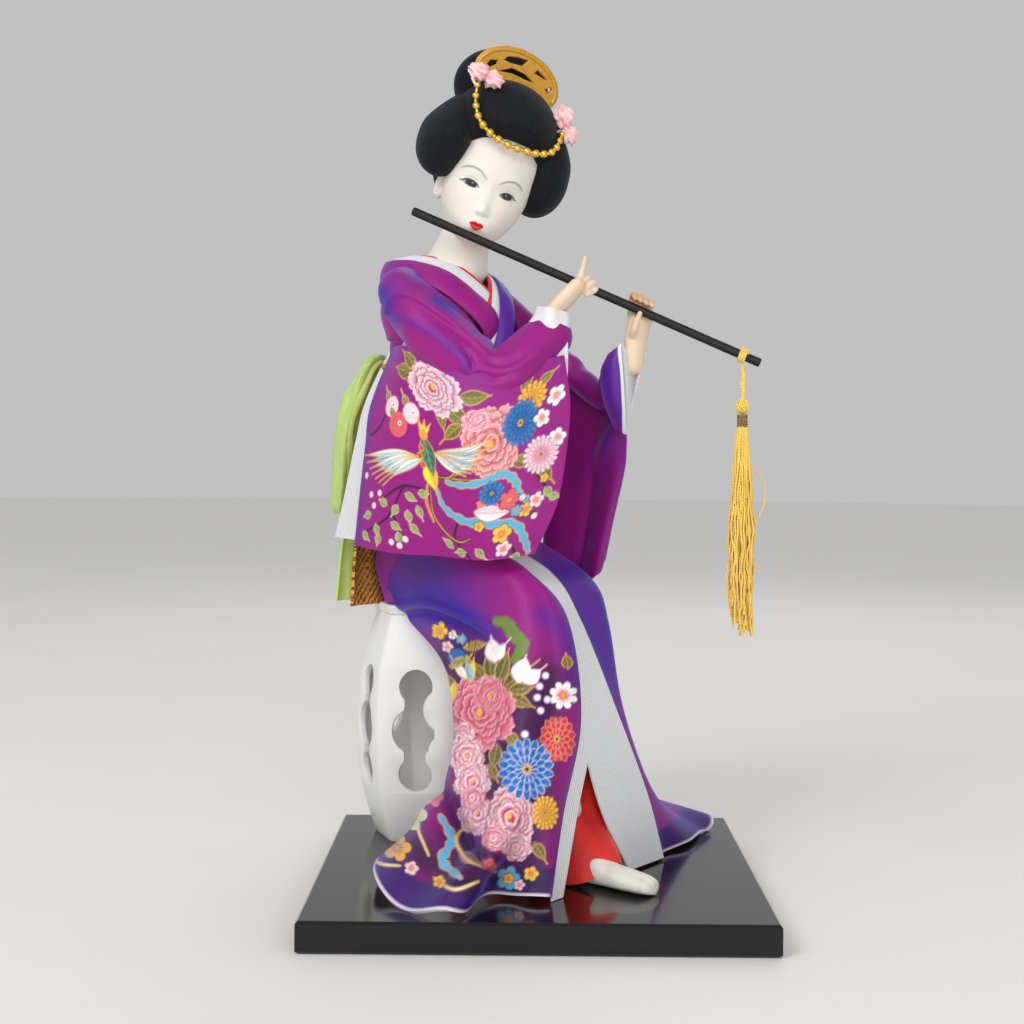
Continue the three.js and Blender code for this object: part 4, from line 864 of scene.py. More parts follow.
class Print:
    """Paints motifs on one side of a cloth."""

    def __init__(self, cloth, colour):
        self.x = cloth.x.ravel()
        self.y = cloth.y.ravel()
        self.colour = np.array(colour, float).reshape(-1, 3)

    def near(self, x, y, reach, angle=0.0, squash=1.0):
        """The points round a place, in the motif's own turned measure."""
        index = np.nonzero((np.abs(self.x - x) < reach) & (np.abs(self.y - y) < reach))[0]
        dx, dy = self.x[index] - x, self.y[index] - y
        c, s = math.cos(math.radians(angle)), math.sin(math.radians(angle))
        return index, dx * c + dy * s, (dy * c - dx * s) / squash

    def lay(self, index, share, colour):
        share = np.asarray(share, float)[:, None]
        self.colour[index] += share * (np.asarray(colour) - self.colour[index])

    def dot(self, x, y, size, colour, line=None):
        index, dx, dy = self.near(x, y, size + 1)
        distance = size - np.hypot(dx, dy)
        if line is not None:
            self.lay(index, cover(distance + 0.3), line)
        self.lay(index, cover(distance), colour)

    def blossom(self, x, y, size, petal, heart, angle=0.0, petals=5, line=DARK):
        """A plum blossom: round petals, a tinted heart and stamens."""
        index, dx, dy = self.near(x, y, size * 1.3, angle)
        far, way = np.hypot(dx, dy), np.arctan2(dy, dx)
        lobe = np.abs(np.cos(way * petals / 2))
        edge = size * (0.6 + 0.4 * lobe ** 0.65)
        self.lay(index, cover(edge + 0.3 - far), line)
        self.lay(index, cover(edge - far), blend(heart, petal, smooth(far / size, 0.1, 0.6)))
        stamen = smooth(np.cos(way * petals * 2), 0.5, 0.9) * cover(0.55 * size - far)
        self.lay(index, 0.7 * stamen, heart)
        self.lay(index, cover(0.17 * size - far), GOLD)

    def chrysanthemum(self, x, y, size, deep, pale, line, petals=16, layers=3, angle=0.0, squash=1.0):
        """Rings of narrow outlined petals round a gold heart."""
        index, dx, dy = self.near(x, y, size * 1.25, angle, squash)
        far, way = np.hypot(dx, dy), np.arctan2(dy, dx)
        for ring in range(layers):
            reach = size * (1 - 0.28 * ring)
            root = 0.2 * reach
            count = petals - 2 * ring
            across = np.abs((way * count / (2 * math.pi) + 0.5 * ring) % 1 - 0.5) * 2 * math.pi / count * far
            share = np.clip((far - root) / (reach - root), 0, 1)
            half = math.pi / count * reach * 0.98 * share ** 0.7 * np.sqrt(1 - share ** 5)
            inside = np.minimum(half - across, reach - far)
            self.lay(index, cover(inside + 0.12), line)
            self.lay(index, cover(inside - 0.1), blend(deep, pale, share ** 2))
        self.lay(index, cover(0.15 * size - far), GOLD)
        self.lay(index, cover(0.07 * size - far), DARK)

    def peony(self, x, y, size, deep, pale, seed, angle=0.0, squash=1.0, rim=WHITE):
        """Layers of frilled petals, deep at the heart and pale at the rim."""
        random = np.random.default_rng(seed)
        index, dx, dy = self.near(x, y, size * 1.35, angle, squash)
        for layer, share in enumerate((1.0, 0.86, 0.7, 0.55, 0.4, 0.24)):
            shift = random.uniform(-0.07, 0.07, 2) * size
            far = np.hypot(dx - shift[0], dy - shift[1])
            way = np.arctan2(dy - shift[1], dx - shift[0])
            lobes, phase = 7 - layer // 2, random.uniform(0, 6.28)
            lobe = np.abs(np.cos(way * lobes / 2 + phase))
            frill = np.sin(way * lobes * 4 + phase) * lobe
            edge = size * share * (0.76 + 0.24 * lobe ** 0.5 + 0.035 * frill)
            tone = np.clip(far / edge, 0, 1)
            shadow = np.asarray(deep) * (0.5 if size > 8 else 0.8)
            self.lay(index, 0.6 * bell(far, edge + 0.4, 0.6) * (layer > 0), shadow)
            self.lay(index, cover(edge + 0.1 - far), rim)
            petal = blend(deep, pale, smooth(tone, 0.45, 1.0))
            self.lay(index, cover(edge - 0.25 - far), petal)
            crease = smooth(0.22 - lobe, 0, 0.2) * cover(edge - far) * (tone > 0.4)
            self.lay(index, 0.55 * crease, deep)
        self.lay(index, 0.8 * cover(0.1 * size - np.hypot(dx, dy)), YELLOW)

    def leaf(self, x, y, length, width, angle, fill=OLIVE, line=GOLD, vein=None):
        """A pointed leaf from its foot, with veins."""
        index, along, across = self.near(x, y, length * 1.1, angle)
        share = np.clip(along / length, 0, 1)
        inside = np.minimum(width / 2 * np.sin(math.pi * share ** 0.8) - np.abs(across), along)
        tone = blend(fill, np.asarray(fill) * 1.6, smooth(across / width, -0.2, 0.4))
        self.lay(index, cover(inside + 0.25), line)
        self.lay(index, cover(inside - 0.12), tone)
        if width > 2:
            veins = np.abs((along - 1.1 * np.abs(across)) % (length / 5) - length / 10)
            mark = np.maximum(cover(0.12 - np.abs(across)), 0.7 * cover(0.1 - veins)) * cover(inside - 0.2)
            self.lay(index, 0.85 * mark, line if vein is None else vein)

    def ribbon(self, path, width, fill, line, scallop=0.0, taper=0.5):
        """A band along a line through points."""
        spots = np.array(path, float)
        low, high = spots.min(axis=0) - width - 4, spots.max(axis=0) + width + 4
        inside = (self.x > low[0]) & (self.x < high[0]) & (self.y > low[1]) & (self.y < high[1])
        index = np.nonzero(inside)[0]
        gap, share, _ = nearest(self.x[index], self.y[index], path)
        half = width / 2 * (1 - taper * np.abs(2 * share - 1) ** 2)
        half = half * (1 + scallop * np.sin(share * len(path) * 9))
        self.lay(index, cover(half + 0.25 - gap), line)
        self.lay(index, cover(half - 0.1 - gap), fill)

    def wing(self, x, y, length, first, last, feathers):
        """A spread wing: long feathers from one root."""
        for step in range(feathers):
            share = step / (feathers - 1)
            angle = first + (last - first) * share
            size = length * (1 - 0.45 * share)
            fill = blend(WHITE, SKY, np.array(0.25 + 0.5 * (step % 2)))
            self.leaf(x, y, size, 2.6, angle, fill, GOLD, TEAL)

    def phoenix(self):
        """A bird with spread wings, a crest and two long scalloped tail bands."""
        for tip in ((50, 32), (52, 36), (48, 29)):
            self.ribbon([(37, 40), (44, 37.5 + 0.1 * tip[1] - 3.5), tip], 0.7, GOLD, DARK)
        self.ribbon([(42.1, 39.6), (49.6, 38.3), (57.8, 36.2), (61.8, 35.2), (65.9, 38.3), (68, 43.8),
                     (72.8, 47.7)],
                    2.6, SKY, GOLD, 0.22)
        self.ribbon([(37.9, 44.3), (41, 48.8), (48.5, 50.5), (57.8, 51.1), (66.9, 53.8), (70.3, 60.4),
                     (72.2, 67.5)],
                    2.8, SKY, GOLD, 0.22)
        self.ribbon([(34.9, 44), (36.2, 52.8), (41.1, 57.4), (47.4, 59), (51.9, 56.6)], 0.8, GOLD, DARK)
        self.ribbon([(33.5, 44), (33.4, 50), (36.5, 56)], 0.8, CORAL, GOLD)
        self.wing(30.5, 36, 27, 172, 140, 7)
        self.wing(36.5, 32, 22, -23, 14, 7)
        self.leaf(33, 36.5, 9.5, 6.4, 62, YELLOW, GOLD, linear(170, 190, 60))
        self.leaf(31.2, 28, 13.5, 6.2, 68, TEAL, GOLD)
        for x, y in ((30.6, 32), (30, 35), (31.5, 37.6)):
            self.dot(x, y, 0.9, linear(226, 70, 40), GOLD)
        for angle in (-120, -92, -62):
            self.leaf(31.3, 27.5, 5, 1.3, angle, YELLOW, GOLD)
        self.dot(31.3, 27.2, 1.5, linear(240, 160, 60), GOLD)


LEAF_PALE = linear(214, 206, 150)


def print_right_sleeve(ink):
    """Peonies, asters, plum blossom and a phoenix on the right sleeve."""
    leaves = ((23, 9, 10, 5.4, 186), (24, 6, 9, 4.6, 205), (36, 13, 10, 5, 62), (40, 13, 11, 5.4, 28),
              (44, 9, 10, 5, -4), (47, 18, 9, 4.2, 130), (71, 33, 7.5, 4.2, 190), (75, 36, 7, 4, 55),
              (66, 9, 7, 3.4, -70), (72, 8, 6, 3, -35))
    for x, y, length, width, angle in leaves:
        ink.leaf(x, y, length, width, angle)
    twigs = (((15, 22), (9, 30), (3, 33)), ((33, 46), (24, 48), (14, 55)), ((24, 48), (18, 60), (6, 67)),
             ((20, 58), (24, 66)), ((70, 33), (76, 42), (79, 46)), ((64, 58), (67, 64), (64, 68)),
             ((48, 50), (46, 58), (52, 64)))
    for twig in twigs:
        ink.ribbon(twig, 0.45, DARK, DARK)
    ink.peony(32.5, 9.8, 12.6, linear(196, 48, 96), linear(248, 206, 216), 4, 8, 0.7)
    ink.peony(57.2, 24.5, 10.4, linear(214, 62, 84), linear(246, 168, 164), 9, 0, 1.2, linear(252, 206, 188))
    ink.peony(52, 16, 5.4, linear(220, 70, 110), linear(250, 190, 200), 12, 0, 0.7)
    ink.chrysanthemum(70.4, 12, 5.6, linear(228, 150, 16), linear(250, 206, 70), linear(150, 92, 10), 14, 3)
    ink.chrysanthemum(67.6, 19.6, 6.6, linear(10, 84, 156), linear(38, 138, 204), linear(10, 52, 104), 20, 3, 0,
                      1.2)
    for x, y, size, angle in ((80, 13.2, 3.5, 10), (75.6, 19.6, 3.1, 40), (81.2, 27.4, 3.2, 70)):
        ink.blossom(x, y, size, WHITE, linear(226, 110, 130), angle)
    ink.chrysanthemum(75, 32, 6.5, linear(232, 120, 150), WHITE, linear(206, 160, 180), 20, 2)
    for x, y, size, petal in ((15.3, 21.7, 3.5, BLUSH), (25.2, 21.9, 3.5, BLUSH), (20, 27.4, 4.0, CORAL)):
        ink.leaf(x - 2, y - 2, 4.6, 2.6, 225, OLIVE, LEAF_PALE)
        ink.dot(x, y, size, petal, linear(226, 120, 130))
        ink.dot(x + 0.8, y - 0.6, 0.9, WHITE)
        ink.dot(x + 0.9, y - 0.5, 0.4, TEAL)
    ink.phoenix()
    ink.leaf(54, 44, 8, 5, 20, CORAL, GOLD)
    ink.leaf(53, 47, 12, 5.4, 8, BLUSH, CORAL)
    ink.chrysanthemum(58.5, 41.2, 4.2, linear(8, 90, 170), linear(40, 150, 214), DARK, 12, 2)
    for x, y, size, petal in ((64.5, 44.6, 3.6, CORAL), (70.2, 49.6, 2.6, YELLOW), (74, 47.4, 2.8, BLUSH),
                              (62.6, 55.6, 3.3, YELLOW), (63.4, 61, 2.7, BLUSH), (55, 52, 1.8, YELLOW),
                              (67, 49, 2.0, SKY), (76.5, 40.5, 1.6, YELLOW)):
        ink.blossom(x, y, size, petal, linear(226, 90, 90))
    sprays = ((4.9, 67.1, 30), (12, 63.3, 70), (19.6, 62, 20), (17.2, 56, 200), (22, 55.4, 120),
              (24.9, 50.6, 10), (29.7, 53, 60), (22.7, 64.6, 80), (27.2, 60.5, 30), (9, 60, 160),
              (14, 66.5, 100), (60, 64, 140), (66, 65, 40), (63, 66, 95), (77, 44, 60), (78.5, 47.5, 20),
              (45, 62, 200), (50, 62, 160), (54, 60, 40), (26, 56, 75), (30, 48.5, -20))
    for x, y, angle in sprays:
        ink.leaf(x, y, 4.2, 2.6, angle, LEAF_GREEN, LEAF_PALE)
    for x, y in ((8.3, 53.3), (13, 52.3), (10.4, 57), (20, 68.6), (23.4, 69.2), (25.6, 66.3), (4, 47),
                 (73.5, 53), (69, 45)):
        ink.dot(x, y, 1.15, BLUSH, DARK)


def print_right_skirt(ink):
    """Peonies, chrysanthemums and leaves down the right panel, in millimetres of the front view."""
    ground = (((70, 55), (68, 85), (64, 110), (66, 128)), ((36, 50), (44, 75), (44, 100)),
              ((40, 112), (52, 120)), ((42, 48), (54, 56), (62, 68), (58, 80)), ((50, 84), (52, 96), (62, 98)),
              ((22, 112), (32, 122), (44, 126)))
    for path in ground:
        ink.lay(slice(None), 0.85 * bell(nearest(ink.x, ink.y, path)[0], 0, 7.5), linear(30, 9, 48))
    ink.ribbon([(52.4, 35.6), (56, 36.4), (58.2, 40), (61.4, 43.8), (59, 49)], 4.6, LEAF_GREEN, OLIVE, 0.08,
               0.35)
    leaves = ((50, 58, 10, 4.2, -128), (51, 57, 11, 4.4, -98), (53, 57, 11, 4.6, -72), (55, 59, 11, 4.6, -40),
              (57, 60, 8, 4.4, -10), (57, 62, 8, 4.2, 24), (38, 62, 8, 4, -110), (36, 68, 8, 4, 120),
              (53, 79, 8, 4.2, 100), (56, 75, 6, 3.4, 40), (50, 86, 6, 3.4, 60), (50, 99, 8, 4.6, 80),
              (50, 113, 8, 4, 10), (66, 113, 7, 3.6, 60), (77, 52, 5, 3.4, -100), (40, 118, 7, 3.6, 20))
    for x, y, length, width, angle in leaves:
        ink.leaf(x, y, length, width, angle, OLIVE * 0.7)
    for x, y, length, width, angle in ((52, 50, 8.6, 5.6, -100), (51, 49, 7, 4.4, -50), (60, 57, 9, 6.4, -75),
                                       (62, 57, 7, 5, -40)):
        ink.leaf(x, y, length, width, angle, WHITE, BLUSH, BLUSH)
    ink.peony(46.6, 67.6, 12.4, linear(186, 28, 72), linear(238, 128, 146), 21, 0, 1.08, linear(250, 196, 200))
    ink.peony(50.5, 62, 6, linear(206, 44, 92), linear(240, 140, 160), 22, 0, 1.1, linear(250, 206, 190))
    for x, y, size, seed in ((40, 77, 4.8, 31), (42.4, 83, 6.4, 32), (44.4, 92, 6.6, 33), (46, 103, 6.4, 34),
                             (44.6, 98, 4, 35)):
        ink.peony(x, y, size, linear(222, 70, 112), linear(252, 236, 238), seed, 0, 1.15)
    ink.peony(57, 104, 8.8, linear(206, 40, 80), linear(250, 190, 200), 41, 0, 1.25)
    ink.peony(59.4, 114.6, 5.6, linear(220, 80, 116), linear(252, 232, 236), 42, 0, 0.9)
    ink.peony(52, 112, 4.4, linear(210, 60, 100), linear(248, 190, 204), 43)
    ink.chrysanthemum(69.4, 102.6, 4.6, linear(226, 150, 16), linear(250, 206, 60), linear(160, 90, 10), 16, 3,
                      0, 1.4)
    ink.chrysanthemum(73.4, 76.8, 6.2, linear(176, 16, 40), linear(226, 60, 66), linear(244, 168, 120), 15, 3,
                      0, 1.4)
    ink.chrysanthemum(62.9, 87.5, 9.5, linear(6, 70, 158), linear(24, 122, 206), linear(226, 232, 240), 18, 4,
                      0, 1.15)
    ink.blossom(75.4, 61.4, 5.0, WHITE, linear(220, 60, 76), 20, 8)
    for x, y in ((69.1, 54.5), (67.1, 58.3), (66.3, 62.2), (69.8, 62.9), (67.5, 66.8), (62.2, 75.2)):
        ink.dot(x, y, 1.1, WHITE, linear(170, 120, 190))
    ink.dot(38.7, 48.4, 3.1, BLUE, linear(8, 50, 110))
    for x, y, size, petal in ((32.4, 39.1, 2.9, YELLOW), (35.2, 44.5, 2.0, BLUSH), (40, 42, 1.8, SKY),
                              (37, 40.5, 1.5, WHITE)):
        ink.blossom(x, y, size, petal, linear(226, 130, 20))
    for x, y, angle, fill in ((43, 57, -80, YELLOW), (44, 57, -105, SKY), (42, 56, -125, WHITE),
                              (36, 52, -30, LEAF_GREEN), (38, 57, 100, YELLOW), (41, 45, -10, OLIVE)):
        ink.leaf(x, y, 8, 2.6, angle, fill, GOLD)
    ink.ribbon([(33, 104.4), (36.8, 112.6), (34, 120), (40.2, 126)], 3.0, SKY, GOLD, 0.25)
    for path in (((27.6, 99.8), (25.3, 107.5), (29.2, 118.2)),
                 ((44.5, 106), (38.4, 112.1), (43, 120), (52, 123)), ((8, 119), (13, 121.5), (19, 122)),
                 ((31, 126), (38, 130), (46, 127))):
        ink.ribbon(path, 0.9, linear(240, 226, 180), GOLD)
    ink.blossom(18.1, 115.6, 4.9, linear(240, 186, 60), linear(200, 120, 20))
    ink.blossom(23, 104, 5.2, linear(214, 226, 150), LEAF_GREEN, 0, 5, WHITE)
    ink.blossom(30.6, 97.6, 3.8, linear(236, 130, 170), CORAL)
    ink.leaf(12, 118, 7, 3.4, 160, BLUSH, WHITE)
    for x, y, size, petal in ((56.8, 125.4, 4.4, SKY), (57, 125.6, 2, YELLOW), (50, 121, 2.4, CORAL),
                              (65, 124, 2.6, YELLOW), (33, 127.4, 2.3, YELLOW), (23, 122.8, 2.5, BLUSH),
                              (13, 112, 2.0, CORAL), (61, 128, 2, BLUSH)):
        ink.blossom(x, y, size, petal, linear(226, 70, 60))


# The stage


def look():
    """The camera at the photograph's viewing angle, and plain soft light."""
    data = bpy.data.cameras.new("camera")
    data.sensor_width = SENSOR_WIDTH
    data.lens = CAMERA["focal"] / PICTURE_WIDTH * SENSOR_WIDTH
    data.shift_x = (PICTURE_WIDTH / 2 - CAMERA["centre"][0]) / PICTURE_WIDTH
    data.shift_y = (CAMERA["centre"][1] - PICTURE_WIDTH / 2) / PICTURE_WIDTH
    data.clip_start = 0.01
    camera = bpy.data.objects.new("camera", data)
    spot = Matrix.Translation([value * MILLIMETRE for value in CAMERA["place"]])
    upright = Matrix.Rotation(math.radians(90), 4, "X")
    camera.matrix_world = spot @ upright @ Matrix.Rotation(math.radians(CAMERA["roll"]), 4, "Z")
    bpy.context.scene.collection.objects.link(camera)
    bpy.context.scene.camera = camera
    lamps = {
        "key": ((-0.7, -0.9, 0.95), 0.6, 7.4),
        "fill": ((0.2, -1.25, 0.4), 0.9, 6.0),
        "back": ((0.25, 0.95, 0.85), 0.8, 1.8),
    }
    for name, (spot, size, power) in lamps.items():
        lamp = bpy.data.lights.new(name, "AREA")
        lamp.shape = "DISK"
        lamp.size = size
        lamp.energy = power
        piece = bpy.data.objects.new(name, lamp)
        piece.location = spot
        aim = Matrix.Translation((-0.01, 0, 0.15)).translation - piece.location
        piece.rotation_euler = aim.to_track_quat("-Z", "Y").to_euler()
        bpy.context.scene.collection.objects.link(piece)


class DOLL_OT_stage(bpy.types.Operator):
    """Sets the camera, the light and a plain pale floor"""

    bl_idname = "doll.stage"
    bl_label = "Stage"

    def execute(self, context):
        context.scene.view_settings.view_transform = "Standard"
        look()
        world = bpy.data.worlds.new("studio")
        context.scene.world = world
        world.use_nodes = True
        sky = Nodes(world.node_tree)
        path = sky.node("ShaderNodeLightPath").socket.node.outputs
        camera, glossy, through = (Socket(sky, path[f"Is {kind} Ray"]) for kind in ("Camera", "Glossy",
                                                                                    "Transmission"))
        seen = sky.node("ShaderNodeBackground", {"Color": (0.53, 0.53, 0.53, 1), "Strength": 1.0})
        light = sky.node("ShaderNodeBackground", {"Color": (0.97, 0.985, 1.0, 1), "Strength": 0.62})
        shown = sky.node("ShaderNodeMixShader", (camera + glossy + through, light, seen))
        world.node_tree.links.new(shown.socket, world.node_tree.nodes["World Output"].inputs["Surface"])
        rings = [ring(circle(96), radius, radius, -0.2) for radius in (4000.0, 900.0, 300.0)]
        points, quads, tris = ringed(np.array(rings))
        mesh = mesh_of("floor", points, quads, tris[96:])
        floor = bpy.data.objects.new("floor", mesh)
        context.scene.collection.objects.link(floor)
        pale = Finish("pale_floor", specular_ior_level=0.25)
        cloud = pale.noise(pale.place(), 9.0, 3.0)
        pale.set(base_color=pale.mix(cloud, linear(229, 227, 223), linear(235, 233, 229)),
                 roughness=0.6 + cloud * 0.1)
        mesh.materials.append(pale.material)
        return {"FINISHED"}


# The stand


STOOL_HEIGHT, STOOL_WALL = 84, 2.6
RIM_RADIUS, BULGE = 21, 8
WINDOW_HALF = 22.2
WINDOW_LOBES = ((8.6, 0), (6.2, 16), (6.2, -16))
WINDOW_DEPTHS = (-14, -40)


def barrel_radius(height):
    return RIM_RADIUS + BULGE * (1 - np.abs(2 * height / STOOL_HEIGHT - 1) ** 2.2)


def barrel_rings(inset, heights):
    """Six flat sides with softened corners, bulging at half height."""
    spread = np.radians(60) * np.arange(6)[:, None] + np.array((-0.055, 0.0, 0.055))[None, :]
    spread = spread.ravel() + math.pi / 2
    radii = [(barrel_radius(height) - inset) * np.tile((0.972, 0.984, 0.972), 6) for height in heights]
    return np.array([ring(spread, radius, radius, height) for radius, height in zip(radii, heights)])


def window_cutter(side):
    """A prism with the outline of three round lobes, through one side of the stool."""
    height = WINDOW_HALF * -np.cos(np.linspace(0, math.pi, 90))
    lobes = [np.sqrt(np.clip(radius ** 2 - (height - middle) ** 2, 0, None))
             for radius, middle in WINDOW_LOBES]
    half = np.maximum.reduce(lobes + [np.where(np.abs(height) < 16, 4.0, 0.0)])
    outline = np.concatenate([np.stack([half, height], axis=1), np.stack([-half, height], axis=1)[-2:0:-1]])
    ends = [np.stack([outline[:, 0], np.full(len(outline), depth), outline[:, 1] + STOOL_HEIGHT / 2], axis=1)
            for depth in WINDOW_DEPTHS]
    rings = np.array(ends) @ turn("Z", 60 * side + 30).T
    mesh = mesh_of("window", *ringed(STOOL(rings)))
    return bpy.data.objects.new("window", mesh)


class DOLL_OT_stand(bpy.types.Operator):
    """Builds the stool's shell with its lobed windows and finishes the board"""

    bl_idname = "doll.stand"
    bl_label = "Stand"

    def execute(self, context):
        nodes = frame["nodes"]
        looks = {"board": "lacquer", "stool_top": "paint", "stool_floor": "paint"}
        looks |= {"stool_screw_left": "steel", "stool_screw_right": "steel", "spine_wire": "steel"}
        looks |= {f"{limb}_wire_{side}": "steel" for limb in ("leg", "arm") for side in SIDES.values()}
        for name, look_name in looks.items():
            nodes[name].data.materials.clear()
            nodes[name].data.materials.append(finish(look_name))
        heights = np.linspace(0, STOOL_HEIGHT, 37)
        outer = barrel_rings(0.0, heights)
        inner = barrel_rings(STOOL_WALL, heights[::-1])
        rings = np.concatenate([outer, inner, outer[:1]])
        points, quads, _ = ringed(STOOL(rings))
        count = (len(rings) - 1) * rings.shape[1]
        quads = np.where(quads >= count, quads - count, quads)
        shell = mesh_of("stool_barrel", points[:count], quads)
        cutters = [window_cutter(side) for side in range(6)]
        for cutter in cutters:
            context.scene.collection.objects.link(cutter)
        cuts = [("BOOLEAN",
                 {"operation": "DIFFERENCE", "solver": "EXACT", "object": cutter}) for cutter in cutters]
        bevel = ("BEVEL",
                 {"width": 0.0004, "segments": 2, "limit_method": "ANGLE", "angle_limit": math.radians(50)})
        mesh = applied(shell, *cuts, bevel)
        for cutter in cutters:
            bpy.data.objects.remove(cutter)
        mesh.shade_smooth()
        mesh.set_sharp_from_angle(angle=math.radians(28))
        settle(mesh, "stool_barrel", "paint", "stool_shell")
        return {"FINISHED"}


# The head and its hair

FACE_TURN = turn("Y", 4) @ turn("Z", -9.5)
HEAD_LEVELS = np.array((
    (-21.0, -9.8, -2.5, 3.6), (-19.6, -14.4, 1, 6.6), (-16.8, -16.3, 6, 9.6), (-12.6, -17.2, 10, 12.3),
    (-7.6, -17.4, 14, 14.4), (-2.1, -17.3, 17, 15.8), (4.6, -17.9, 18.3, 16.3), (11.5, -17.4, 18.3, 16.0),
    (17.5, -14, 15, 13.4), (21.4, -8, 9, 8.4), (23, -3, 3, 3),
))
FACE_SHIFT = (1.0, 1.75)


# Each feature: how far it stands out, its middle and width beside the face's middle line, and those up it.
FACE_BUMPS = (
    (0.5, 1.8, 0.85, -7.7, 0.9), (-0.85, 6.2, 3.6, 0.9, 2.3), (0.6, 6.7, 2.5, -0.1, 1.3),
    (0.35, 6.5, 4.5, 5.0, 1.8), (0.5, 8.5, 4.0, -5.5, 4.0), (0.55, 0, 3.4, -12.6, 2.8),
    (0.5, 0.95, 0.95, -11.75, 0.6), (0.7, 0, 1.5, -13.6, 0.75), (-0.5, 0, 2.2, -12.6, 0.3),
    (-0.45, 0, 2.4, -15.2, 0.8),
)


def face_relief(x, z):
    """How far the features stand out of the plain face."""
    x, z = x + FACE_SHIFT[0], z + FACE_SHIFT[1]
    nose = np.interp(z, (-9.4, -8.7, -7.6, -6.6, -4, 0, 3.5, 6), (0, 0.7, 1.8, 2.0, 0.95, 0.35, 0.1, 0))
    relief = nose * bell(x, 0, np.interp(z, (-8, -6.8, -3, 4), (1.8, 1.7, 1.9, 2.2)))
    for out, aside, wide, up, high in FACE_BUMPS:
        relief += out * bell(np.abs(x), aside, wide) * bell(z, up, high)
    return relief


def line_share(x, z, path, width):
    """Ink of a fine brush line, thin at its ends."""
    gap, share, _ = nearest(x, z, path)
    half = width / 2 * (0.35 + 0.65 * np.sin(math.pi * share) ** 0.7)
    return np.clip(0.5 + (half - gap) / 0.28, 0, 1)


def painted_face(x, y, z):
    """The colours of the head: eyes, brows, lips and the soft grey of the hairline."""
    colour = np.broadcast_to(np.array(colours().skin), x.shape + (3,)).copy()
    x, z = x + FACE_SHIFT[0], z + FACE_SHIFT[1]

    def lay(share, ink):
        colour[...] += (share * (y < 0))[..., None] * (np.asarray(ink) - colour)

    lay(0.5 * smooth(z + 0.009 * x ** 2, 15, 20), linear(120, 116, 114))
    lay(0.14 * bell(np.abs(x), 8, 3.6) * bell(z, -6.5, 3.4), linear(230, 170, 158))
    for side in (-1, 1):
        ex = (x - side * 6.8) * side
        ez = z - 0.1 - 0.07 * ex
        share = np.clip(1 - (ex / 3.0) ** 2, 0, None)
        top, low = 1.25 * share ** 0.8, -0.95 * share
        open_eye = np.clip(0.5 + np.minimum(top - ez, ez - low) / 0.25, 0, 1) * (np.abs(ex) < 3)
        lay(open_eye, linear(176, 168, 164))
        iris = np.clip(0.5 + (1.95 - np.hypot(ex + 0.1, ez - 0.15)) / 0.3, 0, 1)
        lay(open_eye * iris, linear(24, 14, 12))
        # Painted highlight: a grey glint on each iris.
        lay(open_eye * np.clip(0.5 + (0.28 - np.hypot(ex + 0.5, ez - 0.55)) / 0.2, 0, 1), linear(150, 150, 150))
        run = np.linspace(-3.0, 3.0, 9)
        arch = np.clip(1 - (run / 3.0) ** 2, 0, 1)
        level = 0.1 + 0.07 * run
        lid = np.stack([run, level + 1.25 * arch ** 0.8], axis=1)
        lay(line_share(ex, z, [*lid, (3.8, 0.3)], 0.75), linear(34, 28, 28))
        lay(0.45 * line_share(ex, z, np.stack([run, level - 0.95 * arch], axis=1), 0.36), linear(90, 70, 66))
        lay(0.28 * line_share(ex, z, np.stack([run, level + 1.4 + 0.9 * arch], axis=1), 0.4),
            linear(120, 100, 96))
        brow = [(-4.4, 3.35), (-2, 5.15), (0.65, 5.85), (3, 5.35), (4.7, 4.25)]
        lay(0.3 * line_share(ex, z, brow, 1.1), linear(110, 100, 97))
        lay(0.5 * line_share(ex, z, brow, 0.6), linear(84, 76, 74))
    upper = -11.35 - 0.42 * bell(x, 0, 0.55) - 0.2 * np.abs(x / 1.3) ** 2.4
    lower = -14.45 + 0.42 * np.abs(x / 1.35) ** 2.2
    lips = np.clip(0.5 + np.minimum(upper - z, z - lower) / 0.3, 0, 1) * (np.abs(x) < 2.7)
    lay(lips, linear(212, 44, 34))
    lay(0.75 * lips * bell(z, -12.6, 0.26), linear(120, 14, 16))
    # Painted highlight on the lower lip.
    lay(0.3 * lips * bell(z, -13.5, 0.35) * bell(x, 0.3, 0.7), linear(250, 140, 120))
    lay(0.3 * bell(np.abs(x), 1.15, 0.4) * bell(z, -8.9, 0.28), linear(120, 80, 76))
    return colour


def ear_rings(side):
    """A small ear: a raised rim round a hollow, leaning back."""
    share = steps(14)[::-1][:, None]
    angle = circle(36)[None, :]
    out = 1.9 * np.sqrt(np.clip(1 - share ** 4, 0, 1)) + 0.8 * bell(share, 0.78, 0.16) - 1.3 * bell(share, 0.3,
                                                                                                    0.3)
    along = 3.4 * share * np.cos(angle) * (1 - 0.12 * np.sin(angle))
    up = 5.2 * share * np.sin(angle)
    lean = along * 0.25 + np.broadcast_to(out, along.shape)
    return np.stack([side * ((13.9 if side == RIGHT else 12) + lean), 1.2 + along - 0.12 * up, -5.2 + up],
                    axis=-1)


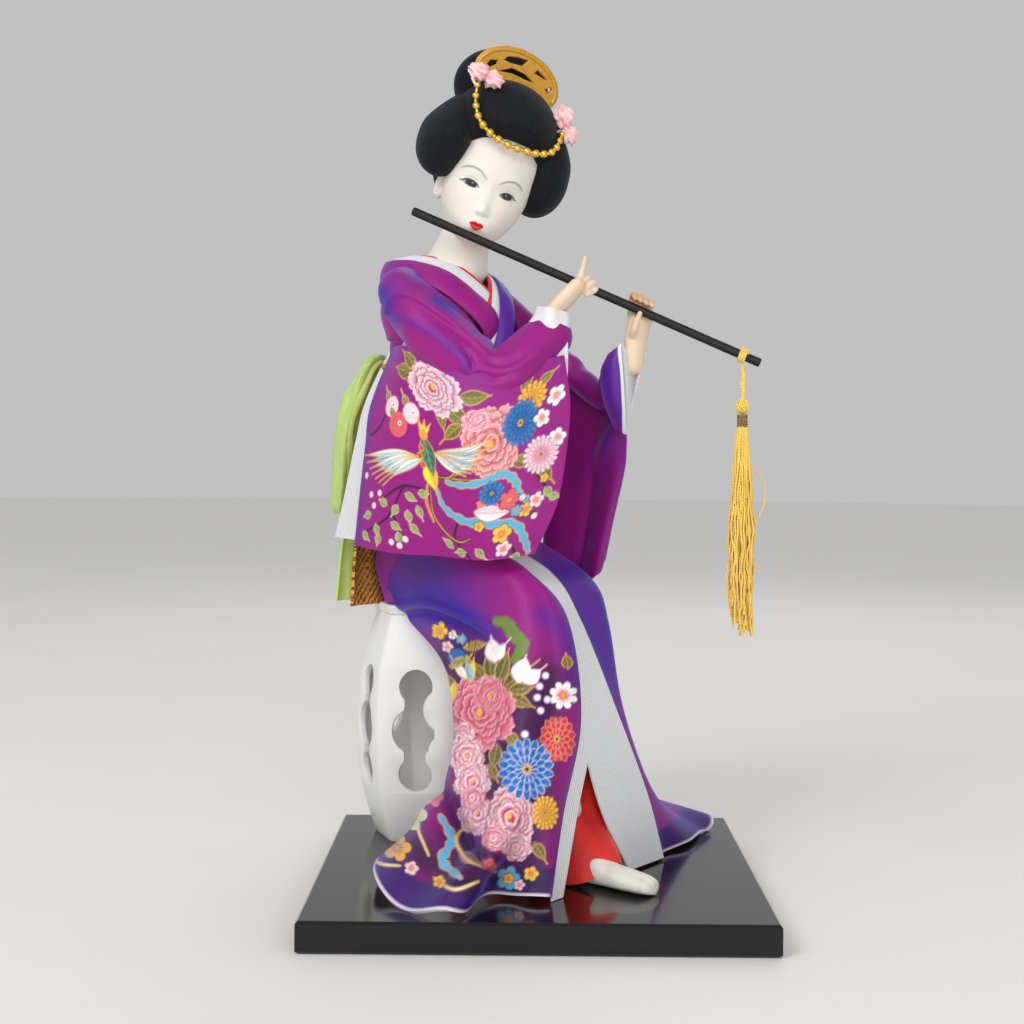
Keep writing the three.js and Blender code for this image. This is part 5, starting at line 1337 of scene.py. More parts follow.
class DOLL_OT_head(bpy.types.Operator):
    """Models and paints the head with its neck"""

    bl_idname = "doll.head"
    bl_label = "Head"

    def execute(self, context):
        rows, around = 230, 220
        levels = spline(HEAD_LEVELS, steps(rows))
        share = np.linspace(-1, 1, around, endpoint=False)
        way = (math.pi * (0.5 * share + 0.5 * share ** 3))[None, :]
        z, front, back, half = levels.T[..., None]
        x = half * power(np.sin(way), 0.94)
        y = (front + back) / 2 - (back - front) / 2 * power(np.cos(way), 0.88)
        z = np.broadcast_to(z, x.shape)
        y = y - face_relief(x, z) * (np.cos(way) > 0) * smooth(np.cos(way), 0, 0.3)
        skull = np.stack([x, y, z], axis=-1)
        neck = tube([(0, 4, -31), (0, 3.9, -25), (0, 3.4, -18), (0, 2.5, -8)], (11.5, 9.6, 8.8, 9.2), 40, 64)
        parts = [skull @ FACE_TURN.T, neck] + [ear_rings(side) @ FACE_TURN.T for side in SIDES]
        paint = [painted_face(x, y, z)] + [np.broadcast_to(colours().skin, part.shape) for part in parts[1:]]
        colour = np.concatenate([capped(tone.reshape(-1, 3)) for tone in paint])
        points, quads, tris = skins(parts)
        mesh = turned_out(mesh_of("head_and_neck", HEAD(points), quads, tris, None, colour))
        settle(mesh, "head_and_neck", "face", "head", "head")
        return {"FINISHED"}


def hair_mass(name, node, centre, reach, shape, lines):
    """A padded mass of combed flock."""
    rows, around = 72, 96
    across = np.abs(np.linspace(-1, 1, around, endpoint=False)) * lines
    flat = flat_of(*np.meshgrid(across, np.linspace(0, 30, rows)))
    mesh = skin_over(name, HEAD(egg(centre, reach, rows, around, shape)), flat)
    settle(mesh, name, "hair", node, "head")


def front_shape(points):
    """The roll over the forehead, lifted off the brow in an arch."""
    x, y, z = np.moveaxis(points, -1, 0)
    arch = smooth(0.66 - x, 0, 0.38) * smooth(x + 0.9, 0, 0.38)
    lift = 0.62 * arch * smooth(-y, 0.1, 0.9) * smooth(-z, -0.5, 0.8)
    parting = 0.03 * bell(x, -0.1, 0.16) * smooth(-y, 0.2, 0.8)
    return np.stack([x * (1 + 0.04 * z), y + parting, np.where(z > 0, 1.22 * z, z) + lift], axis=-1)


def wing_shape(side, lift):
    """A wing beside the face: full below, blunt at its foot, drawn in at the top and lifted off the ear."""
    def shape(points):
        x, y, z = np.moveaxis(points, -1, 0)
        z = power(z, np.where(z < 0, 0.8, 1.0))
        full = 1 + 0.12 * smooth(-z, -0.4, 0.7) - 0.2 * smooth(z, 0.1, 1.0)
        inward = -side * 0.3 * smooth(z, 0.0, 1.0)
        z = z + lift * smooth(-y, 0, 1) * smooth(-z, -0.2, 0.6)
        return np.stack([x * full + inward, y * full + 0.1 * z, z], axis=-1)
    return shape


WINGS = {RIGHT: ((-20, -1, 12.8), (8.6, 12.5, 15), 0.5), LEFT: ((18, -1.5, 12.2), (9.7, 13, 18.6), 0.08)}


class DOLL_OT_hair(bpy.types.Operator):
    """Builds the dressed hair in five padded masses"""

    bl_idname = "doll.hair"
    bl_label = "Hair"

    def execute(self, context):
        hair_mass("front_hair", "hair_front", (0, -1.0, 19.5), (19.4, 18.6, 15), front_shape, 40)
        for side, name in SIDES.items():
            centre, reach, lift = WINGS[side]
            hair_mass(f"{name}_hair_wing", f"hair_side_{name}", centre, reach, wing_shape(side, lift), 30)
        hair_mass("hair_top_knot", "hair_knot", (-1, 11, 34), (18, 9.5, 14.5), None, 26)
        hair_mass("back_hair", "hair_back", (0, 10.6, 7.6), (18.2, 15, 21), None, 40)
        return {"FINISHED"}


class DOLL_OT_ornaments(bpy.types.Operator):
    """Builds the comb, the hair flowers and the chain of beads"""

    bl_idname = "doll.ornaments"
    bl_label = "Hair ornaments"

    def execute(self, context):
        comb()
        for side in SIDES:
            hair_flower(side)
        bead_chain()
        return {"FINISHED"}


def comb_outline(outer, low):
    """A crescent: a half round above, a shallow arch below."""
    above = np.linspace(0, math.pi, 60)
    top = np.stack([outer[0] * np.cos(above), outer[1] * np.sin(above)], axis=1)
    below = np.linspace(math.pi, 0, 40)
    arch = np.stack([low[0] * np.cos(below), low[1] * np.sin(below) + low[2]], axis=1)
    return np.concatenate([top, arch])


COMB = Place(HEAD((0, 1, 38)), HEAD.rotation @ turn("Y", 8))
COMB_OPENINGS = (
    ((-13.2, 0.6), (-12.4, 2.9), (-9.4, 4.0), (-9.2, 2.2), (-11.2, 0)),
    ((-8.2, 4.6), (-7, 6.7), (-3.3, 8.1), (1.2, 8.8), (-0.3, 5.6), (-5, 4.6)),
    ((-9, -0.1), (-3.8, 3.8), (1.4, 3.9), (7.1, 2.3), (2.5, 1.7), (-2.7, 1.6)),
    ((4.3, 5.3), (5.0, 7.3), (8.0, 6.5), (11, 5.2), (8.8, 4.9)),
    ((10.3, 2.1), (12.4, 4.2), (13.6, 3.0), (12.7, 0.9)),
)


def sharp_loop(cell):
    """A closed line with each side cut in steps, its corners kept."""
    share = np.arange(6)[:, None] / 6
    ends = np.array(cell, float)
    return np.concatenate([start + share * (end - start) for start,
                           end in zip(ends, np.roll(ends, -1, axis=0))])


def comb():
    """The openwork comb, cut from plate with a rolled rim, with teeth down into the hair."""
    data = bpy.data.curves.new("comb", "CURVE")
    data.dimensions = "2D"
    data.fill_mode = "BOTH"
    data.extrude = 0.0005
    data.bevel_depth = 0.0003
    data.bevel_resolution = 2
    for outline in [comb_outline((16.5, 11), (15.2, 1.2, -4.6))] + [sharp_loop(cell) for cell in COMB_OPENINGS]:
        line = data.splines.new("POLY")
        line.points.add(len(outline) - 1)
        full = np.zeros((len(outline), 4))
        full[:, :2] = outline * MILLIMETRE
        line.points.foreach_set("co", full.ravel())
        line.use_cyclic_u = True
    plate = evaluated(bpy.data.objects.new("holder", data))
    put(plate, COMB(points_of(plate)[:, [0, 2, 1]]))
    rim_way = np.linspace(-0.1, math.pi + 0.1, 40)
    rim = np.stack([15.6 * np.cos(rim_way), np.zeros(40), 10.2 * np.sin(rim_way)], axis=1)
    rolled = tube(COMB(rim), (1.05, 1.2, 1.05), 80, 14)
    teeth = [tube(COMB([(x, 0, -1), (x * 0.96, 0, -7)]), (0.6, 0.4), 6, 8) for x in np.linspace(-13, 13, 12)]
    trim = mesh_of("comb_trim", *skins([rolled] + teeth))
    settle(merged("gilt_comb", turned_out(plate), trim), "gilt_comb", "comb", "comb", "head")


def merged(name, *meshes):
    """Several meshes as one."""
    made = bmesh.new()
    for mesh in meshes:
        made.from_mesh(mesh)
    whole = bpy.data.meshes.new(name)
    made.to_mesh(whole)
    made.free()
    whole.shade_smooth()
    whole.set_sharp_from_angle(angle=math.radians(48))
    return whole


FLOWER = {RIGHT: (-15, -9.5, 36), LEFT: (19.5, -9, 28)}
FLOWER_ROOT = {RIGHT: (-10, -4, 28), LEFT: (14, -6, 22)}
CHAIN = [(-17.6, -11.5, 31.9), (-16.8, -13.4, 25.7), (-13.9, -17.3, 19.8), (-6.4, -21.2, 15.9),
         (2.4, -21.9, 15.3), (10, -19.8, 16.3), (14.7, -17.1, 19), (17.9, -11.4, 25.1)]
FLOWER_LOBES = {RIGHT: ((0.99, -0.1, -0.17), 4.2, 4.2), LEFT: ((0.6, -0.1, -0.8), 4.0, 5.6)}


def hair_flower(side):
    """A crumpled ribbon bow of two lobes on its pin, with an arm out to the bead chain."""
    centre = np.array(FLOWER[side], float)
    axis, *lengths = FLOWER_LOBES[side]
    parts = []
    for way, length in zip((1, -1), lengths):
        run = way * np.array(axis) * length
        route = [centre, centre + 0.3 * run - (0, 0.5, 0), centre + 0.75 * run - (0, 0.8, 0), centre + run]
        lobe = outward_roll(tube(HEAD(route), (1.4, 2.9, 3.4, 2.5), 70, 72, 0.8))
        around, along = lobe.shares()
        pleat = np.sin(around * 14 * math.pi + 3 * along + way) * smooth(along, 0.05, 0.3)
        lobe.fold(0.4 * pleat + 0.45 * np.sin(13 * along + 5 * np.sin(4 * math.pi * around + way)))
        parts.append(lobe.rolled("lobe", colours().pink))
    parts.append(mesh_of("tie", *ringed(HEAD(egg(centre - (0, 0.6, 0), (1.5, 1.6, 1.9), 20, 24, knot_shape)))))
    chain = side * unit(np.array(CHAIN[-1], float) - CHAIN[0])
    hook = np.array(CHAIN[0] if side == RIGHT else CHAIN[-1], float) + 0.85 * chain
    bow = centre + 0.6 * (hook - centre) + 2.8 * chain
    pins = [tube(HEAD(route), (0.5, 0.5), count, 8)
            for route, count in (([FLOWER_ROOT[side], centre], 8), ([centre, bow, hook], 14))]
    parts.append(mesh_of("pin", *skins(pins)))
    name = f"{SIDES[side]}_hair_flower"
    settle(turned_out(merged(name, *parts)), name, "ribbon", f"hair_flower_{SIDES[side]}", "head")


def tree_of(name, inputs):
    """A geometry tree with a mesh input and named values; its expressions, its inputs and its end."""
    tree = bpy.data.node_groups.new(name, "GeometryNodeTree")
    tree.interface.new_socket("Geometry", in_out="INPUT", socket_type="NodeSocketGeometry")
    for label, (kind, value) in inputs.items():
        socket = tree.interface.new_socket(label, in_out="INPUT", socket_type=kind)
        if value is not None:
            socket.default_value = value
    tree.interface.new_socket("Geometry", in_out="OUTPUT", socket_type="NodeSocketGeometry")
    nodes = Nodes(tree)
    start = tree.nodes.new("NodeGroupInput")
    given = {socket.name: Socket(nodes, socket) for socket in start.outputs if socket.name}

    def end(geometry):
        solid = nodes.node("GeometryNodeRealizeInstances", (geometry,))
        dressed = nodes.node("GeometryNodeSetMaterial", {"Geometry": solid, "Material": given["Material"]})
        tree.links.new(dressed.socket, tree.nodes.new("NodeGroupOutput").inputs[0])
    return tree, nodes, given, end


def line_mesh(name, points):
    """A mesh of one open line, for a tree to follow."""
    mesh = bpy.data.meshes.new(name)
    edges = [(step, step + 1) for step in range(len(points) - 1)]
    mesh.from_pydata((np.asarray(points) * MILLIMETRE).tolist(), edges, [])
    return mesh


def bead_chain():
    """Gilt beads on a thread with small ones between, smaller towards both ends."""
    tree, nodes, given, end = tree_of("bead_chain", {
        "Beads": ("NodeSocketInt", 16), "Bead": ("NodeSocketFloat", 0.0014),
        "Material": ("NodeSocketMaterial", None)})
    line = nodes.node("GeometryNodeMeshToCurve", (given["Geometry"],))
    count = given["Beads"] * 2 - 1
    spots = nodes.node("GeometryNodeCurveToPoints", {"Curve": line, "Count": count}, mode="COUNT")
    ball = nodes.node("GeometryNodeMeshUVSphere", {"Segments": 20, "Rings": 14, "Radius": given["Bead"]})
    ball = nodes.node("GeometryNodeSetShadeSmooth", (ball,))
    index = nodes.node("GeometryNodeInputIndex")
    share = index / (count - 1)
    size = (0.8 + 0.8 * (share * (1 - share))) * (1 - 0.5 * index.math("MODULO", 2.0))
    placed = nodes.node("GeometryNodeInstanceOnPoints", {"Points": spots, "Instance": ball, "Scale": size})
    profile = nodes.node("GeometryNodeCurvePrimitiveCircle", {"Resolution": 8, "Radius": 0.00042})
    thread = nodes.node("GeometryNodeCurveToMesh", {"Curve": line, "Profile Curve": profile, "Fill Caps": True})
    both = nodes.node("GeometryNodeJoinGeometry")
    for part in (placed, thread):
        tree.links.new(part.socket, both.socket.node.inputs[0])
    end(both)
    values = {"Beads": sizes().beads, "Bead": sizes().bead, "Material": finish("gilt")}
    mesh = grown(line_mesh("chain_line", HEAD(even(CHAIN, 120))), tree, values)
    settle(mesh, "gilt_bead_chain", "gilt", "bead_chain", "bead_chain")


# Hands and feet


def modelled(name, parts, voxel, passes):
    """Rings of several limbs melted into one soft form."""
    mesh = turned_out(mesh_of(name, *skins(parts)))
    return applied(mesh, ("REMESH", {"mode": "VOXEL", "voxel_size": voxel * MILLIMETRE}),
                   ("SMOOTH", {"factor": 0.5, "iterations": passes}))


def hand_parts(side):
    """Palm, fingers and thumb as limbs, in the part's own frame."""
    if side == RIGHT:
        return [
            tube([(2.3, -7.6, 201), (7.2, -9.6, 206), (12.4, -10.4, 211.6)], (4.0, 4.9, 4.5), 16, 24, 0.6),
            tube([(12.6, -10.2, 212.6), (14.0, -9.0, 217.4), (15.0, -7.4, 221.8)], (1.35, 1.15, 0.75), 14, 14),
            tube([(14.0, -9.9, 212.6), (16.3, -7.0, 214.8), (16.0, -3.9, 213.8)], (1.3, 1.15, 0.85), 14, 14),
            tube([(15.2, -9.7, 210.8), (18.0, -7.0, 212.9), (17.8, -4.0, 212.2)], (1.25, 1.1, 0.85), 14, 14),
            tube([(15.6, -9.5, 208.8), (19.0, -7.4, 210.6), (19.4, -4.6, 210.4)], (1.1, 1.0, 0.8), 14, 14),
            tube([(7.8, -8.6, 207.4), (9.6, -5.2, 209.9), (12.4, -3.4, 210.6)], (1.5, 1.25, 0.9), 14, 14),
        ]
    fingers = []
    for place in (-1.5, -0.5, 0.5, 1.5):
        x, z = 34.8 + 2.0 * place, 203.2 - 0.85 * place
        route = [(x - 0.4, -2.4, z - 2.0), (x, -3.4, z + 3.6), (x + 0.3, -7.0, z + 4.5),
                 (x + 0.4, -9.6, z + 3.2)]
        fingers.append(tube(route, (1.5, 1.4, 1.25, 0.95), 16, 14))
    return fingers + [
        tube([(32.4, 0, 184.5), (33.2, -1.2, 194), (34.6, -2.4, 200.8)], (3.7, 4.2, 4.5), 16, 24, 0.8),
        tube([(31.8, -2.6, 194.0), (32.2, -7.8, 197.4), (33.9, -10.2, 202.4)], (1.6, 1.3, 0.9), 14, 14),
    ]


def foot_rings(side):
    """A moulded foot in a smooth sock: flat sole, high instep and a split beside the great toe."""
    heel, toe = np.array((*HEEL[side], 0.0)), np.array((*TOE[side], 0.0))
    along = unit(toe - heel)
    aside = np.cross(along, (0, 0, 1.0))
    length = np.linalg.norm(toe - heel) + 3.2
    share = steps(40)[:, None]
    angle = circle(40)[None, :]
    width = np.interp(share, (0, 0.06, 0.2, 0.45, 0.72, 0.9, 0.97, 1), (0.6, 3.2, 4.4, 4.8, 6.1, 5.9, 4.6, 1.2))
    height = np.interp(share, (0, 0.06, 0.2, 0.4, 0.6, 0.85, 0.97, 1), (3, 7, 11, 10, 7.4, 5.8, 4.4, 1.8))
    over = width * np.cos(angle)
    split = 0.9 * bell(over, -0.28 * width * side, 0.5) * smooth(share, 0.78, 0.9) * (np.sin(angle) > 0)
    high = 0.35 + height * 0.5 * (1 + power(np.sin(angle), 0.8)) - split
    base = heel - along * 2.6 + along * length * share[..., None]
    return FIGURE(base + aside * over[..., None] + np.stack([0 * high, 0 * high, high], axis=-1))


# Each limb's way from the body outwards, and how thick its padding is there.
LEG_RADII = (8, 9, 7.2, 6.0, 3.6)
ANKLE = {RIGHT: (-10.8, -85, 24), LEFT: (14, -60.6, 24)}
ARM = {RIGHT: (SHOULDER[RIGHT], (-25.8, -56.8, 171.4), (-11, -65.4, 182.4)),
       LEFT: ((14, -25, 196.6), (22.92, -64.7, 164.3), (21.4, -74.2, 171.8))}
ARM_PAD_RADII = {RIGHT: (5.0, 4.6, 3.0), LEFT: (2.8, 2.6, 2.4)}


class DOLL_OT_limbs(bpy.types.Operator):
    """Models the hands on the flute, the feet and the padding under the clothes"""

    bl_idname = "doll.limbs"
    bl_label = "Hands, feet and padding"

    def execute(self, context):
        for side, name in SIDES.items():
            mesh = modelled("hand", hand_parts(side), 0.34, 5)
            z = points_of(mesh)[:, 2]
            # Painted shade: the top of each hand turns brownish, strongly on the left hand curled over the
            # flute and faintly on the right.
            hand_shade = smooth((z - z.min()) / (z.max() - z.min()), 0.55, 1.0) * (0.75 if side == LEFT else 0.15)
            tint(mesh, blend(colours().hand, linear(190, 140, 84), hand_shade))
            mesh.shade_smooth()
            settle(mesh, f"{name}_hand", "hand", f"hand_{name}")
            flat = flat_of(*np.meshgrid(steps(40) * 30, steps(40) * 36))
            mesh = skin_over(f"{name}_foot", foot_rings(side), flat, linear(226, 222, 212))
            settle(mesh, f"{name}_foot", "white", f"foot_{name}")
            knee, shin = (side * 10, KNEE_FRONT, KNEE), (side * 10, KNEE_FRONT - 3.4, 0.7 * KNEE)
            leg = [(side * 12, -10, 99), (side * 13, -31, 97), knee, shin, ANKLE[side]]
            pad(f"{name}_leg_padding", f"leg_{name}", tube(leg, LEG_RADII, 40, 28))
            pad(f"{name}_arm_padding", f"arm_{name}", tube(ARM[side], ARM_PAD_RADII[side], 40, 28))
        heights = np.linspace(SEAT + 1.2, 204, 40)
        pad("torso_padding", "torso", np.array([torso_ring(height, -1.6, 48) for height in heights]))
        return {"FINISHED"}


def pad(name, node, rings):
    """Padding wound on a wire or round the body."""
    settle(skin_over(name, FIGURE(rings)), name, "foam", node)


TORSO_LEVELS = np.array((
    (87.3, 0, 17, 13), (101, 0.02, 21, 17), (131.6, 0.25, 18.5, 14.5), (167.6, 0.6, 22, 16),
    (193.6, 0.88, 24, 14), (202, 0.97, 14, 10), (206, 1, 8, 7.5),
))


def torso_ring(height, out, around):
    """The body's outline at a height, a distance outside the padding."""
    share, wide, deep = (np.interp(height, TORSO_LEVELS[:, 0], TORSO_LEVELS[:, column]) for column in (1, 2, 3))
    return ring(circle(around), wide + out, deep + out, float(height)) + (NECK[0] * share, NECK[1] * share, 0)


# Flute and tassel


def twisted(route, radius, plies, turns, count, which=0.0):
    """Plies wound round a route: points, faces and the strand measure."""
    path = even(route, count)
    _, side, up = transport(path)
    parts, strands = [], []
    thick = radius * (0.56 if plies < 4 else 0.42)
    for ply in range(plies):
        angle = 2 * math.pi * (ply / plies + turns * steps(count))[:, None]
        wound = path + (radius - thick) * (np.cos(angle) * side + np.sin(angle) * up)
        rings = tube(wound, (thick, thick), count, 8)
        parts.append(ringed(rings))
        around, along = np.meshgrid(steps(8), np.linspace(0, count * 0.3, len(rings)))
        strands.append(flat_of(around, along) + (0, 0, which + ply))
    return joined(*parts), np.concatenate(strands)


def thread_mesh(name, parts):
    """A mesh of wound threads with their strand measure."""
    mesh = mesh_of(name, *joined(*[part[0] for part in parts]))
    measure(mesh, "Strand", np.concatenate([part[1] for part in parts]))
    return mesh


class DOLL_OT_flute(bpy.types.Operator):
    """Turns the flute"""

    bl_idname = "doll.flute"
    bl_label = "Flute"

    def execute(self, context):
        profile = [(-24, 0.9), (-29, 0.9), (-29, 1.3), (-28.7, 1.5), (-28, 1.56)]
        profile += [(x, 1.54 + 0.03 * math.sin(x * 0.4) * math.sin(x * 0.13)) for x in np.linspace(-27, 101,
                                                                                                   120)]
        profile += [(102, 1.55), (102.7, 1.5), (103, 1.3), (103, 0.95), (98, 0.9)]
        angle = circle(40)
        rings = np.roll([ring(angle, radius, radius, along) for along, radius in profile], 1, axis=-1)
        flat = flat_of(*np.meshgrid(angle * 1.55, rings[:, 0, 0]))
        mesh = skin_over("flute_tube", FLUTE(rings), flat, sharp=40)
        settle(mesh, "flute_tube", "flute", "flute", "flute")
        return {"FINISHED"}


CORD_TOP, CORD_LENGTH = -3.73, 11.0
KNOT_HEIGHT, BAND_TOP, STRANDS_TOP = -17.53, -20.33, -25.23
STRANDS_LENGTH = 72.0
GOLDEN_ANGLE = 2.39996


def strand_tree():
    """Hanging strands: spread over a disc, uneven in length, swaying more towards their ends."""
    tree, nodes, given, end = tree_of("hanging_strands", {
        "Strands": ("NodeSocketInt", 64), "Length": ("NodeSocketFloat", 0.072),
        "Spread": ("NodeSocketFloat", 0.0042),
        "Strand": ("NodeSocketFloat", 0.0004), "Seed": ("NodeSocketInt", 3),
        "Material": ("NodeSocketMaterial", None)})
    spots = nodes.node("GeometryNodePoints", {"Count": given["Strands"]})
    index = nodes.node("GeometryNodeInputIndex")
    far = ((index + 0.5) / given["Strands"]) ** 0.5
    way = index * GOLDEN_ANGLE
    root = nodes.node("ShaderNodeCombineXYZ", (far * way.math("COSINE") * 0.0016, far * way.sine() * 0.0016))
    spots = nodes.node("GeometryNodeSetPosition", {"Geometry": spots, "Position": root})
    spots, which = nodes.captured(spots, "which", index)
    line = nodes.node("GeometryNodeCurvePrimitiveLine", {"End": (0.0, 0.0, -1.0)})
    line = nodes.node("GeometryNodeResampleCurve", {"Curve": line, "Count": 30})
    cut = nodes.node("FunctionNodeRandomValue", {2: 0.8, 3: 1.0, "ID": index, "Seed": given["Seed"]}, 1)
    stretch = nodes.node("ShaderNodeCombineXYZ", (1.0, 1.0, given["Length"] * cut))
    hung = nodes.node("GeometryNodeInstanceOnPoints", {"Points": spots, "Instance": line, "Scale": stretch})
    hung = nodes.node("GeometryNodeRealizeInstances", (hung,))
    x, y, z = nodes.axes(nodes.node("GeometryNodeInputPosition"))
    low = z / (0 - given["Length"])
    flare = 1 + 1.7 * (low * 2.2).math("MINIMUM", 1.0) ** 0.7
    vector = nodes.node("ShaderNodeCombineXYZ", (which * 3.7, z * 130.0, given["Seed"]))
    values = {"Vector": vector, "Scale": 1.0, "Detail": 1.0}
    drift = nodes.axes(nodes.node("ShaderNodeTexNoise", values, "Color", noise_dimensions="3D"))
    sway = given["Spread"] * (0.2 + low * 0.9)
    moved = [place * flare + (share - 0.5) * sway for place, share in zip((x, y), drift)]
    moved = nodes.node("ShaderNodeCombineXYZ", (*moved, z))
    hung = nodes.node("GeometryNodeSetPosition", {"Geometry": hung, "Position": moved})
    hung, along = nodes.captured(hung, "along", nodes.node("GeometryNodeSplineParameter", out="Length"))
    profile = nodes.node("GeometryNodeCurvePrimitiveCircle", {"Resolution": 6, "Radius": given["Strand"]})
    profile, around = nodes.captured(profile, "around", nodes.node("GeometryNodeSplineParameter"))
    solid = nodes.node("GeometryNodeCurveToMesh", {"Curve": hung, "Profile Curve": profile, "Fill Caps": True})
    strand = nodes.node("ShaderNodeCombineXYZ", (around, along * 900.0, which))
    solid = nodes.node("GeometryNodeStoreNamedAttribute",
                       {"Geometry": solid, "Name": "Strand", "Value": strand},
                       data_type="FLOAT_VECTOR", domain="POINT")
    end(nodes.node("GeometryNodeSetShadeSmooth", (solid,)))
    return tree


class DOLL_OT_tassel(bpy.types.Operator):
    """Ties, knots and hangs the tassel"""

    bl_idname = "doll.tassel"
    bl_label = "Tassel"

    def execute(self, context):
        share = steps(160)
        angle = 2 * math.pi * 4.5 * share
        coil = FLUTE(np.roll(ring(angle, 2.3, 2.3, 96.5 - 1.4 + 2.8 * share), 1, axis=-1))
        tie = thread_mesh("tassel_tie_coil", [twisted(coil[::4], 0.46, 2, 26, 160)])
        settle(tie, "tassel_tie_coil", "thread", "tassel_tie", "tassel_tie")
        middle, foot = CORD_TOP - 0.5 * CORD_LENGTH, CORD_TOP - CORD_LENGTH - 0.6
        cord, loop = ([(0, 0, CORD_TOP), (*aside, middle), (0, 0, foot)] for aside in ((0.35, 0), (-0.35, 0.3)))
        stray = [(0.5, -1.5, -38), (4.6, -1, -39.5), (7.6, 0, -44), (8, 0.4, -50), (5.2, 0, -57),
                 (1.5, -1.5, -60)]
        cords = [twisted(TASSEL(route), radius, 2, turns, count)
                 for route, radius, turns,
                 count in ((cord, 0.82, 6, 60), (loop, 0.5, 8, 60), (stray, 0.32, 16, 90))]
        winds = []
        for wind in range(9):
            way = np.linspace(0, 2 * math.pi, 41)
            hoop = ring(way, 2.1, 2.1, 0.5 * np.sin(2 * way))
            hoop = hoop @ turn("X", 75 + 7 * (wind % 3)).T @ turn("Z", 40 * wind).T
            winds.append(twisted(TASSEL(hoop + (0, 0, KNOT_HEIGHT)), 0.5, 2, 12, 60, wind))
        wraps = []
        for turned in range(6):
            way = np.linspace(0, 2 * math.pi, 33)
            hoop = ring(way, 1.5, 1.5, BAND_TOP - 0.4 - 0.76 * turned + 0.12 * way / 6.3)
            wraps.append(twisted(TASSEL(hoop), 0.44, 2, 9, 48, turned))
        for name, node, look_name, parts in (("tassel_hanging_cord", "tassel_cord", "thread", cords),
                                             ("tassel_head_knot", "tassel_knot", "thread", winds),
                                             ("tassel_gilt_band", "tassel_band", "band", wraps)):
            settle(thread_mesh(name, parts), name, look_name, node, "tassel")
        values = {"Strands": sizes().strands, "Length": STRANDS_LENGTH * MILLIMETRE, "Strand": sizes().strand,
                  "Material": finish("thread")}
        mesh = grown(bpy.data.meshes.new("strand_start"), strand_tree(), values)
        put(mesh, points_of(mesh) + TASSEL((0, 0, STRANDS_TOP + 0.6)))
        mesh.update()
        settle(mesh, "tassel_hanging_strands", "thread", "tassel_strands", "tassel")
        return {"FINISHED"}


# Clothes of the upper body


# The silk collar's two edges in the part's frame, from the right breast round the nape to the left breast.
COLLAR_UPPER = np.array((
    (-12.7, 8, 190.2), (-16.2, 6, 202.2), (-22.8, 5, 209.4), (-32.7, 7, 217.6), (-43.6, 13, 221.9),
    (-51.4, 17.5, 222.7), (-54.8, 24, 222.6), (-53.6, 33, 223.6), (-47.6, 38.5, 224.4), (-37.6, 40, 224.3),
    (-28.9, 36, 222.5), (-22.4, 29, 220), (-18.1, 19, 216.5), (-16.1, 10.5, 211), (-15.6, 5, 203.5),
    (-16.5, 1.5, 194.6), (-18.4, -0.5, 187.1),
))
COLLAR_LOWER = np.array((
    (-18.6, 3, 186.4), (-21.7, 0, 196.9), (-29, -1, 204.8), (-36.4, 1, 210.6), (-44.8, 7, 213.5),
    (-52.8, 14, 214.3), (-56.7, 24, 214.4), (-56.3, 36, 214.4), (-49.8, 44, 214.4), (-37.8, 46, 213.9),
    (-26.4, 42, 213.3), (-17.9, 33, 212.2), (-13.7, 22, 211), (-11.5, 12.5, 207.7), (-10.5, 6.5, 202.2),
    (-10.8, 2.5, 193.9), (-12, 0.5, 185.7),
))
WHITE_SHOWS = np.array((1.4, 4.4, 5, 4, 2.5, 0.8, 0, 0, 0, 0, 0, 0, 0.6, 1.8, 2.2, 2.4, 2.4))[:, None]
RED_SHOWS = np.array((0.4, 0.9, 0.9, 0.6, 0, -1, -2, -2, -2, -2, -2, -1, 0, 0.8, 1, 1, 1.5))[:, None]


LEVEL = np.array((1, 1, 0))


def collar_edges():
    """The upper and lower edges of the silk, white and red collars, by their finish."""
    rise = unit(COLLAR_UPPER - COLLAR_LOWER)
    inward = unit((FIGURE(NECK) - COLLAR_UPPER) * LEVEL)
    tuck = inward * np.interp(np.arange(len(rise)), (0, 2), (2.6, 0))[:, None]
    white = COLLAR_UPPER + rise * WHITE_SHOWS + inward * 0.6 + tuck
    red = white + rise * RED_SHOWS + inward * 0.5
    return {
        "silk": (COLLAR_UPPER - inward * 1.3, COLLAR_LOWER - inward * 1.3),
        "lining": (white, COLLAR_UPPER - rise * 3 + inward * 1.6 + tuck),
        "red": (red, white - rise * 3 + inward * 1.5),
    }


class DOLL_OT_collars(bpy.types.Operator):
    """Lays the red, white and silk collars round the neck, and the yoke below them"""

    bl_idname = "doll.collars"
    bl_label = "Collars"

    def execute(self, context):
        edges = collar_edges()
        layers = (
            ("inner_red_collar", "inner_collar", "red", colours().red),
            ("white_under_collar", "under_collar", "lining", colours().lining),
            ("silk_collar", "kimono_collar", "silk", None),
        )
        core = FIGURE(NECK - (0, 0, 16))
        for name, node, look_name, tone in layers:
            upper, lower = edges[look_name]
            net = np.array([upper, (upper + lower) / 2, lower])
            cloth = Cloth(surface(net, steps(240), steps(30)), core)
            across, down = cloth.shares()
            cloth.fold(0.7 * np.sin(math.pi * down))
            thickness = sizes().collar / MILLIMETRE * (0.25 + 0.75 * np.sqrt(np.clip(1 - (2 * down - 1) ** 6, 0,
                                                                                     1)))
            if tone is None:
                # Painted sheen and shade in the cool colour: down the left front of the collar, and in a narrow
                # band further round.
                tone = cloth.shot(0.85 * smooth(across, 0.66, 0.74) + 0.4 * bell(across, 0.3, 0.05))
            cloth.make(name, node, look_name, "folded", ["bodice_front"], thickness, tone)
        yoke()
        return {"FINISHED"}


